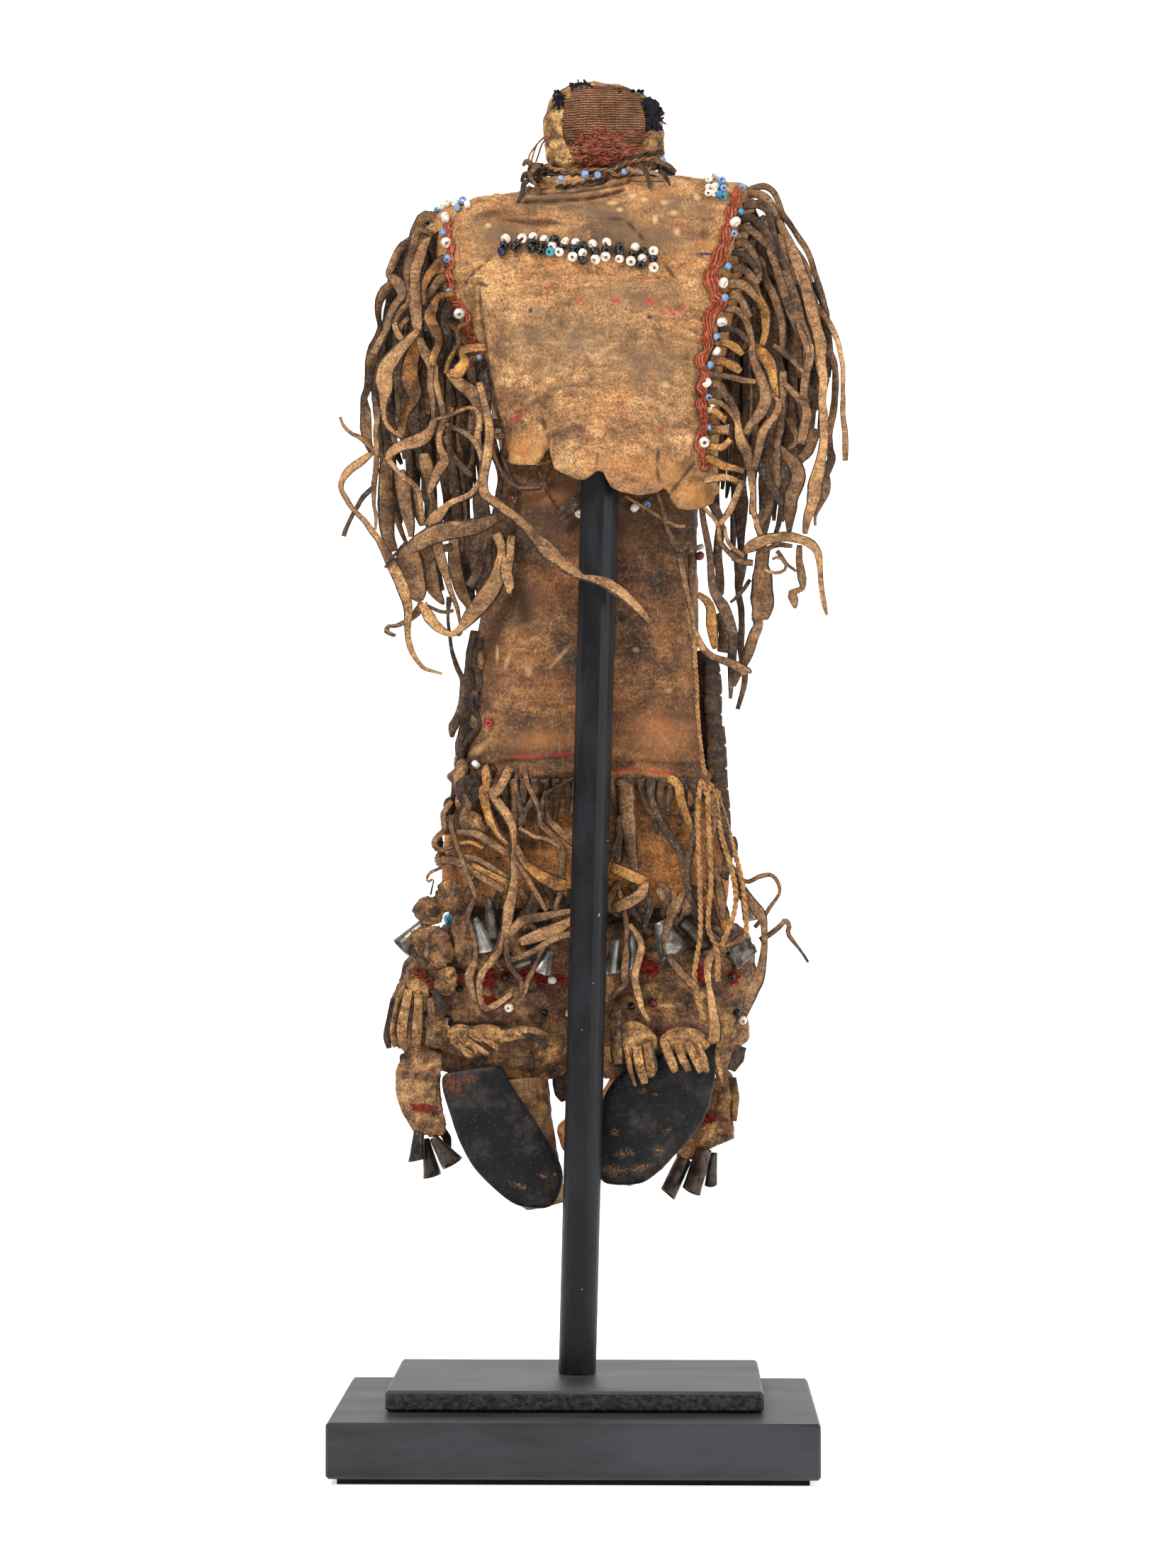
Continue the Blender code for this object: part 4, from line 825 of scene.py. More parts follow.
def sheet_place(point):
    """Where the camera sees a point, on the sketch sheet."""
    way = point - EYE
    side = way.x * math.cos(EYE_TURN) + way.y * math.sin(EYE_TURN)
    ahead = -way.x * math.sin(EYE_TURN) + way.y * math.cos(EYE_TURN)
    return SHEET_MIDDLE + SHEET_REACH * side / ahead, SHEET_HORIZON - SHEET_REACH * way.z / ahead


def line_across(points, down):
    """The across value of a line of (across, down) points at a height on the sheet."""
    for (x0, y0), (x1, y1) in zip(points, points[1:]):
        if y0 <= down <= y1:
            return x0 + (x1 - x0) * (down - y0) / (y1 - y0)
    return points[0][0] if down < points[0][1] else points[-1][0]


def height_of(line, across):
    """The down value of a line of (across, down) points."""
    for (x0, y0), (x1, y1) in zip(line, line[1:]):
        if x0 <= across <= x1:
            return y0 + (y1 - y0) * (across - x0) / (x1 - x0)
    return line[0][1] if across < line[0][0] else line[-1][1]


def fade(distance, start, length):
    """1 up to start, then falling smoothly to 0 over length."""
    share = min(1.0, max(0.0, 1 - (distance - start) / length))
    return share * share * (3 - 2 * share)


# Head


HEAD_RINGS = [
    (790, 263, 912, 258, 10.5), (780, 250, 922, 242, 11.5), (771, 238, 930, 230, 13),
    (768, 216, 936, 212, 14), (767, 196, 937, 194, 14.5), (769, 168, 937, 176, 14.5),
    (775, 148, 932, 156, 13.6), (785, 135, 918, 142, 11.5), (806, 122, 892, 130, 8.2),
    (832, 119, 862, 123, 3),
]


def make_head(looks):
    def push(point, row, _):
        lumps = 0.9 * wrinkle(point, 80) + 0.45 * wrinkle(point, 230, seed=4)
        lumps += 0.2 * wrinkle(point, 600, seed=8)
        fold = 1.1 * (0.16 - min(0.16, ridge(point, 120, (1, 1, 1.6)))) / 0.16
        return (lumps - fold) * MM * min(1, row * 6)

    piece = Piece()
    skin(piece, swollen(ring_grid(HEAD_RINGS, 70, 90, DOLL_MIDDLE, 2.5), push))
    head = piece.make("stuffed_head", [looks["head"]], ["head"])
    tree = piece.surface()
    make_head_cloth(tree, looks)
    make_head_trims(tree, looks)


CLOTH_ROWS = 36
CLOTH_COLUMNS = 46
SHREDS = 170
CLOTH_LEFT = [(814, 123), (799, 142), (794, 168), (794, 190), (800, 204)]
CLOTH_RIGHT = [(884, 127), (904, 146), (910, 172), (911, 190), (906, 204)]


def make_head_cloth(tree, looks):
    """The woven patch over the crown, two layers apart by its thickness."""
    outer = []
    inner = []
    for r in range(CLOTH_ROWS + 1):
        share = r / CLOTH_ROWS
        left = along([Vector(p) for p in CLOTH_LEFT], share)
        right = along([Vector(p) for p in CLOTH_RIGHT], share)
        for grid, lift in ((outer, 1.3 * MM), (inner, 0.4 * MM)):
            line = []
            for c in range(CLOTH_COLUMNS + 1):
                place = left.lerp(right, c / CLOTH_COLUMNS)
                place.x += 3 * noise.noise(Vector((r * 0.5, 3, 1))) * abs(2 * c / CLOTH_COLUMNS - 1)
                place.y += 5 * noise.noise(Vector((c * 0.5, r * 0.2, 1))) * share
                fold = 0.5 * MM * noise.noise(Vector((c * 0.13, r * 0.3, 7)))
                line.append(lay_on(tree, place.x, place.y, lift + fold))
            grid.append(line)
    piece = Piece()
    wrap = [a + list(reversed(b)) for a, b in zip(outer, inner)]
    skin(piece, wrap)
    patch = piece.make("head_wool_patch", [looks["wool"]], ["head_cloth"])
    make_shreds(tree, looks)


def make_shreds(tree, looks):
    """Thin shreds that lie over the cloth's lower edge and the hide below it."""
    rng = random.Random(5)
    shreds = Piece()
    for k in range(SHREDS):
        x = rng.uniform(800, 884)
        y = rng.uniform(190, 234)
        slope = rng.uniform(-0.5, 0.25)
        bow = rng.uniform(-8, 8)
        reach = rng.uniform(14, 34)
        points = [lay_on(tree, x + reach * j / 5, y + slope * reach * j / 5 + bow * math.sin(j * 0.63),
                         rng.uniform(0.7, 1.6) * MM) for j in range(6)]
        tube(shreds, smooth_route(points, 16), (0.24 * MM, 0.36 * MM, 0.16 * MM), 5, (0, 0, 1)[k % 3])
    shreds.make("shredded_cloth", [looks["shred"], looks["red shred"]])


# Black edging: middle and half sizes on the sheet, number of tufts
WOOL_CLUMPS = [
    (789, 142, 4, 9, 30), (818, 123, 12, 3, 40), (884, 129, 24, 1.5, 26), (921, 163, 9, 19, 150),
    (911, 147, 6, 5, 34), (820, 213, 4, 3, 8),
]


def make_head_trims(tree, looks):
    rng = random.Random(8)
    tufts = Piece()
    for cx, cy, wide, tall, count in WOOL_CLUMPS:
        for _ in range(count):
            x = cx + rng.uniform(-1, 1) * wide
            y = cy + rng.uniform(-1, 1) * tall
            points = []
            for _ in range(4):
                points.append(lay_on(tree, x, y, rng.uniform(0.3, 1.3) * MM))
                x += rng.uniform(-4, 4)
                y += rng.uniform(-3, 3)
            tube(tufts, smooth_route(points, 7), (0.42 * MM, 0.4 * MM, 0.2 * MM), 5)
    tufts.make("black_wool_edging", [looks["black wool"]], ["head_wool_edging"])
    loop = Piece()
    for shift, tip in ((0, (746, 221)), (2, (750, 226))):
        points = [(769 + shift, 192), (758, 203), tip, (752, 233), (757, 226), (764, 205), (770, 197)]
        tube(loop, smooth_route([at(x, y, 33 * MM) for x, y in points], 30), (0.28 * MM, 0.28 * MM), 5)
    loop.make("copper_thread_loop", [looks["copper"]])


# Neck


# The lashing's strands across the back, and the loose ends at its sides, on the sheet
LASHINGS = [
    [(758, 241), (780, 248), (812, 249), (845, 243), (871, 232), (893, 223), (914, 217), (934, 214)],
    [(751, 247), (780, 256), (807, 257), (839, 249), (861, 240), (887, 229), (909, 224), (930, 229),
        (944, 236)],
    [(745, 253), (767, 261), (802, 262), (829, 257), (850, 252), (874, 253), (900, 250), (936, 246)],
    [(760, 234), (800, 242), (830, 240), (858, 240), (871, 248), (887, 243), (904, 240), (920, 236),
        (938, 230)],
]
LASH_ENDS = [
    ("d", 22, 18, [(751, 251, 7), (740, 259, 8), (737, 272, 7), (731, 286, 4)]),
    ("m", 24, 22, [(758, 238, 8), (744, 228, 8), (738, 234, 5)]),
    ("d", 26, 25, [(752, 244, 8), (740, 248, 8), (737, 256, 4)]),
    ("m", 22, 20, [(762, 232, 7), (752, 240, 8), (748, 252, 8), (756, 262, 5)]),
    ("d", 20, 18, [(901, 232, 6), (912, 245, 7), (917, 267, 4)]),
    ("d", 22, 20, [(930, 240, 7), (938, 248, 7), (944, 261, 4)]),
    ("m", 26, 24, [(926, 228, 8), (942, 234, 8), (952, 243, 6)]),
    ("d", 27, 26, [(934, 236, 8), (946, 246, 7), (953, 244, 4)]),
    ("m", 20, 19, [(884, 236, 6), (900, 244, 8), (922, 244, 7), (936, 252, 5)]),
]
KNOTS = [(752, 240), (757, 250), (762, 236), (934, 234), (940, 243)]
LASHING_STEPS = 140
NECK_HALF_DEPTH = 14.6 * MM
# Across, down, size against the usual bead
NECK_BEADS = [
    (791, 252, 1.0), (825, 246, 1.3), (843, 247, 1.1), (881, 242, 1.0), (937, 233, 1.4), (935, 226, 1.0),
]


def make_neck(looks):
    """Strands laid round the neck: each line is drawn across the back and closed round the front."""
    lashing = Piece()
    for k, line in enumerate(LASHINGS):
        half_width = (line[-1][0] - line[0][0]) / 2
        middle = (line[-1][0] + line[0][0]) / 2
        route = []
        for i in range(LASHING_STEPS + 1):
            across, deep = superellipse(2 * math.pi * i / LASHING_STEPS, 2.2)
            x = middle + across * half_width
            if deep < 0:
                y = height_of(line, x)
            else:
                y = line[0][1] + (line[-1][1] - line[0][1]) * (across + 1) / 2
            point = at(x, y, DOLL_MIDDLE + deep * (NECK_HALF_DEPTH + 0.35 * k * MM))
            point.z += 0.5 * MM * noise.noise(Vector((i * 0.2, k, 2)))
            route.append(point)
        strands(lashing, route, 2, 0.42 * MM, 0.4 * MM, 5.5 * MM, k % 2)
    for k, (x, y) in enumerate(KNOTS):
        middle = at(x, y, 29 * MM)
        turns = [i * 0.42 + k for i in range(16)]
        loop = [middle + Vector((1.2 * math.cos(t), 1.6 * math.sin(2 * t), 0.9 * math.sin(t))) * MM
                for t in turns]
        tube(lashing, loop, (0.5 * MM, 0.6 * MM, 0.4 * MM), 7)
    traced(lashing, None, LASH_ENDS, 40, 1.3 * MM)
    mine = [looks[look] for look in ("dark", "thong middle", "dark", "dark", "edge")]
    lashing.make("twisted_neck_lashing", mine, ["neck_lashing"])
    beads = Piece()
    for x, y, size in NECK_BEADS:
        depth = 21.6 if x < 900 else 28
        bead(beads, at(x, y, depth * MM), size * MM, 1.7 * size * MM, Vector((1, 0.2, 0.15)))
    beads.make("neck_beads", [looks["blue"]])


# Cape


CAPE_RINGS = [
    (754, 259, 934, 254, 14.4), (740, 268, 946, 258, 15.4), (704, 287, 1000, 260, 17),
    (642, 294, 1048, 264, 19), (616, 306, 1063, 276, 20.5), (612, 345, 1063, 315, 22),
    (617, 412, 1050, 385, 22.8), (650, 475, 1032, 460, 23), (678, 525, 1019, 515, 23),
    (690, 580, 1013, 580, 23), (706, 645, 1009, 650, 23),
]
FRONT_HEM_DROP = 10
HEM = [
    (690, 622), (711, 631), (720, 649), (726, 654), (740, 656), (756, 656), (763, 651), (771, 637),
    (778, 631), (781, 632), (786, 646), (789, 659), (799, 669), (812, 677), (826, 677), (836, 670),
    (842, 664), (851, 666), (855, 675), (862, 688), (877, 695), (899, 699), (918, 695), (929, 686),
    (936, 693), (942, 710), (951, 717), (970, 720), (988, 716), (1001, 710), (1003, 700), (1012, 690),
]
TENT_HALF_WIDTH = 9 * MM
TENT_FADE = 13 * MM
TENT_RISE = 9 * MM
TENT_FADE_UP = 26 * MM
CAPE_SQUARENESS = 2.5
CAPE_ROWS = 130
CAPE_COLUMNS = 210
CAPE_BACK = 0.6
CURL_ROWS = 7
DEEPEST_OVER_ROD = 0.6 * MM
PANEL_EDGE = [
    (676, 404), (677, 440), (682, 465), (686, 498), (690, 523), (695, 548), (698, 564), (703, 598),
    (711, 627),
]
PANEL_TOP = 396
# Creases of the cape: width and depth (positive is a ridge) in sheet units and millimetres, then the line
CREASES = [
    (3, -1.0, [(690, 363), (682, 370), (672, 378), (660, 388), (653, 400)]),
    (4, 0.9, [(707, 369), (682, 375), (661, 389), (654, 406), (655, 422)]),
    (6, -0.7, [(673, 394), (688, 404)]),
    (4, 0.8, [(730, 288), (752, 292), (780, 293), (822, 286), (860, 279)]),
    (3, -1.0, [(738, 284), (760, 283), (794, 283), (822, 281), (845, 277), (862, 272), (880, 266)]),
    (3, -1.0, [(747, 269), (780, 268), (808, 269), (835, 265), (860, 259), (885, 254)]),
    (3, -0.9, [(750, 259), (780, 260), (808, 261), (835, 257), (855, 251)]),
    (8, -0.8, [(707, 307), (770, 318)]),
    (6, -0.7, [(858, 309), (882, 310), (899, 327), (907, 338)]),
    (6, -0.6, [(938, 373), (952, 391)]),
    (6, -0.7, [(778, 636), (772, 612), (764, 590)]),
    (6, -0.7, [(842, 668), (846, 640), (858, 612)]),
    (6, -0.6, [(930, 688), (926, 660), (930, 634)]),
    (6, 0.7, [(800, 660), (806, 636), (820, 616)]),
    (7, 0.6, [(880, 690), (884, 660), (890, 640)]),
    (5, 0.9, [(960, 712), (976, 690), (998, 668)]),
    (5, -0.7, [(944, 700), (960, 676), (980, 650)]),
    (5, 0.6, [(730, 560), (760, 572), (800, 566)]),
    (6, -0.5, [(720, 610), (770, 600), (820, 606)]),
]


def hem_drop(across, down):
    """How far the hem hangs below a place on the sheet."""
    if across < HEM[0][0] or across > HEM[-1][0]:
        return 0.0
    return height_of(HEM, across) - down


def tent(point):
    beside = abs(point.x - ROD_LEAN * point.z / ROD_TOP)
    return fade(beside, TENT_HALF_WIDTH, TENT_FADE) * fade(point.z - ROD_TOP, TENT_RISE, TENT_FADE_UP)


def garment_point(left, right, half_depth, turn):
    """A point round the cape: the back from left to right up to a turn of CAPE_BACK, then the front."""
    if turn < CAPE_BACK:
        even = turn / CAPE_BACK * 2 - 1
        side = -1
    else:
        even = (turn - CAPE_BACK) / (1 - CAPE_BACK) * 2 - 1
        side = 1
    across = -side * (0.6 * even + 0.4 * math.sin(math.pi / 2 * even))
    across = min(1.0, max(-1.0, across))
    deep = side * (1 - abs(across) ** CAPE_SQUARENESS) ** (1 / CAPE_SQUARENESS)
    return left.lerp(right, (across + 1) / 2) + Vector((0, deep * half_depth, 0))


def line_distance(line, across, down):
    """How far a place on the sheet is from a drawn line."""
    spot = Vector((across, down))
    best = 1e9
    for a, b in zip(line, line[1:]):
        start = Vector(a)
        way = Vector(b) - start
        share = min(1, max(0, (spot - start).dot(way) / way.length_squared))
        best = min(best, (spot - start - way * share).length)
    return best


def cape_push(point, back):
    """Folds of the cape: small lumps all over, gathers under the neck, a raised back panel."""
    across, down = sheet_place(point)
    push = 0.9 * wrinkle(point, 40, seed=2) + 0.6 * wrinkle(point, 105, seed=6) + 0.22 * wrinkle(point, 300)
    if not back:
        return push * MM
    push += fade(abs(down - 690), 30, 60) * 0.8 * wrinkle(point, 75, (1, 1, 0.5), 11)
    if down > PANEL_TOP:
        edge = across - line_across(PANEL_EDGE, down)
        push += 2.0 * (1 / (1 + math.exp(-edge / 1.0)) - 0.5) - 1.2 * math.exp(-((edge + 2) / 3) ** 2)
    for width, lift, line in CREASES:
        near = line_distance(line, across, down)
        if near < width * 2.2:
            push += 1.5 * lift * math.exp(-(near / width) ** 2)
    return push * MM


def make_cape(looks):
    """The cape: rings round the doll, tented over the rod, drawn down to the hem, then creased."""
    rod_front = ROD_DEPTH_PLACE - ROD_DIAMETER / 2 - HIDE_THICKNESS - 2 * GAP
    grid = []
    backs = [i / CAPE_COLUMNS < CAPE_BACK for i in range(CAPE_COLUMNS)]
    for left, right, half in ring_rows(CAPE_RINGS, CAPE_ROWS, DOLL_MIDDLE):
        ring = []
        for i, back in enumerate(backs):
            point = garment_point(left, right, half, i / CAPE_COLUMNS)
            if back:
                point.y += (min(point.y, rod_front) - point.y) * tent(point)
            ring.append(point)
        grid.append(ring)
    drops = [hem_drop(*sheet_place(point)) if back else FRONT_HEM_DROP
             for point, back in zip(grid[-1], backs)]
    for r, ring in enumerate(grid):
        hanging = max(0.0, 4 * r / CAPE_ROWS - 3)
        for point, drop in zip(ring, drops):
            point.z -= drop * hanging * (point.y - EYE.y) / SHEET_REACH
    ways = normals(grid)
    outer = []
    inner = []
    for r, ring in enumerate(grid):
        near_hem = fade(CAPE_ROWS - r, 0, CURL_ROWS)
        out_line = []
        in_line = []
        for point, way, back in zip(ring, ways[r], backs):
            push = cape_push(point, back)
            if tent(point) > 0.3:
                push = max(push, -DEEPEST_OVER_ROD)
            curl = near_hem * (0.9 + 0.8 * wrinkle(point, 110, seed=3)) * MM if back else 0.0
            out_line.append(point + way * (push + curl))
            in_line.append(point + way * (push + curl - HIDE_THICKNESS))
        outer.append(out_line)
        inner.append(in_line)
    piece = Piece()
    skin(piece, outer + list(reversed(inner)), closed=False)
    last = (2 * CAPE_ROWS + 1) * CAPE_COLUMNS
    for i in range(CAPE_COLUMNS):
        after = (i + 1) % CAPE_COLUMNS
        piece.faces.append((last + i, last + after, after, i))
    piece.looks.extend([0] * CAPE_COLUMNS)
    cape = piece.make("hide_cape", [looks["cape"]], ["cape"])
    drop = route_length([ring[CAPE_COLUMNS // 4] for ring in outer])
    return piece.surface()


# Yarn and beads on the cape


LEFT_YARN = [
    (634, 310), (632, 322), (634, 336), (637, 354), (635, 372), (634, 390), (637, 410), (636, 424),
    (648, 432), (658, 444), (660, 458), (662, 474), (668, 480), (674, 488), (677, 497), (683, 503),
]
LEFT_BEADS = [
    (630, 307, "w"), (626, 327, "b"), (630, 342, "w"), (633, 365, "b"), (635, 412, "b"), (649, 442, "w"),
    (650, 458, "b"), (665, 490, "w"), (680, 504, "b"),
]
RIGHT_YARN = [
    (1041, 266), (1038, 280), (1034, 293), (1027, 316), (1023, 338), (1016, 360), (1004, 386), (1007, 411),
    (1015, 427), (1001, 448), (999, 472), (997, 494), (988, 511), (996, 526), (989, 542), (992, 558),
    (989, 574), (994, 590), (994, 603), (983, 619), (988, 635), (996, 647), (992, 664),
]
RIGHT_WIDTHS = (12, 11, 12, 13, 14, 15, 17, 18, 18, 14, 12, 11, 12, 10, 10, 10, 11, 10, 9, 8, 10, 14, 16)
RIGHT_BEADS = [
    (1046, 264, "b"), (1045, 299, "t"), (1036, 313, "w"), (1035, 329, "b"), (1026, 376, "b"),
    (1020, 399, "w"), (1022, 420, "b"), (1017, 455, "w"), (1010, 475, "b"), (1009, 496, "w"),
    (1000, 515, "b"), (996, 540, "w"), (999, 560, "b"), (1001, 577, "w"), (1001, 604, "b"), (992, 624, "w"),
]
# Stacks of the lane: across, down, lean and step from bead to bead, and the beads' colours
LANE = [
    (714, 337, -3, 9, "wkn"), (737, 336, -5, 6, "wkk"), (752, 334, -1.5, 8, "wkk"),
    (768, 338, -2.5, 8, "wkk"), (782, 338, -3, 8.5, "kwt"), (797, 341, -4, 7, "wkw"),
    (812, 342, -2, 10, "wkw"), (822, 347, 0, 10, "kwk"), (836, 344, 2, 11, "wkw"),
    (856, 342, -1, 10, "wkw"), (874, 349, 0, 8, "kkw"), (896, 349, -3, 9.5, "wkw"),
    (908, 355, -2, 9.5, "kwk"), (922, 354, 0, 11.5, "wkw"),
]
SHOULDER_BEADS = [
    (998, 247, "w"), (1004, 245, "w"), (1000, 255, "w"), (1008, 253, "w"), (1000, 265, "w"),
    (1008, 264, "w"), (999, 272, "w"), (1007, 272, "w"), (1014, 250, "b"), (1018, 257, "b"),
    (1014, 261, "t"), (1020, 266, "b"), (1014, 274, "B"), (1021, 277, "t"), (616, 296, "b"),
    (624, 292, "w"), (634, 290, "w"), (644, 288, "w"), (654, 285, "b"), (660, 289, "w"), (646, 294, "b"),
]
BEAD_COLOURS = {"w": "white", "b": "blue", "t": "teal", "B": "bright blue", "T": "turquoise", "k": "black",
                "n": "navy", "r": "red", "m": "maroon", "a": "amber"}
PONY = (1.75, 2.0)
SEED = (1.2, 1.9)
LANE_BEAD = (1.5, 1.9)


def sew_beads(name, tree, places, size_of, looks, stands_for=(), seed=1):
    """Beads sewn to a surface. Each place is (across, down, colour letter)."""
    letters = sorted({letter for _, _, letter in places})
    rng = random.Random(seed)
    piece = Piece()
    for across, down, letter in places:
        radius, length = (v * MM * rng.uniform(0.92, 1.08) for v in size_of(letter))
        centre = lay_on(tree, across, down, radius * 0.85)
        away = outward(tree, centre)
        level = away.cross(Vector((0, 0, 1))).normalized()
        axis = level * math.cos(rng.uniform(0, 3)) + away.cross(level) * 0.6 + away * rng.uniform(0.2, 1.3)
        bead(piece, centre, radius, length, axis, letters.index(letter))
    return piece.make(name, [looks[BEAD_COLOURS[letter]] for letter in letters], stands_for)


def make_yarn(name, tree, route, widths, threads, looks, stands_for):
    """Loose threads side by side, each wandering a little."""
    piece = Piece()
    steps = len(route) * 9
    spots = [Vector(p) for p in route]
    last = len(route) - 1
    for t in range(threads):
        line = []
        for k in range(steps + 1):
            share = k / steps
            place = curve(spots, share * last)
            ahead = curve(spots, min(last, share * last + 0.1)) - place
            side = Vector((ahead.y, -ahead.x))
            if side.length > 0:
                side.normalize()
            spread = (t / (threads - 1) - 0.5) * along(widths, share)
            spread += 1.5 * noise.noise(Vector((t * 5.3, k * 0.1, 1)))
            spread += 1.9 * math.sin(k * 0.5 + t * 0.2)
            lift = (0.65 + 0.3 * noise.noise(Vector((t * 2.1, k * 0.2, 8)))) * MM
            line.append(lay_on(tree, place.x + side.x * spread, place.y + side.y * spread, lift))
        tube(piece, line, (0.22 * MM, 0.24 * MM, 0.2 * MM), 5, (0, 1, 0, 2)[t % 4])
    return piece.make(name, [looks["yarn"], looks["dark yarn"], looks["pale yarn"]], stands_for)


def make_cape_trims(tree, looks):
    make_yarn("left_yarn", tree, LEFT_YARN, (7, 8, 8, 10, 8, 7), 9, looks, ["left_seam_yarn"])
    make_yarn("right_yarn", tree, RIGHT_YARN, RIGHT_WIDTHS, 14, looks, ["right_seam_yarn"])

    def seam_size(letter):
        return PONY if letter == "w" else SEED

    sew_beads("left_seam_beads", tree, LEFT_BEADS, seam_size, looks, seed=3)
    sew_beads("right_seam_beads", tree, RIGHT_BEADS, seam_size, looks, seed=4)
    lane = [(x + lean * k, y + step * k, letter) for x, y, lean, step, letters in LANE
            for k, letter in enumerate(letters)]
    sew_beads("back_lane_beads", tree, lane, lambda letter: LANE_BEAD, looks, ["back_bead_lane"], 6)
    sew_beads("shoulder_beads", tree, SHOULDER_BEADS, lambda letter: (1.25, 1.8), looks,
              ["left_shoulder_beads", "right_shoulder_beads"], 7)


# Fringes of the cape


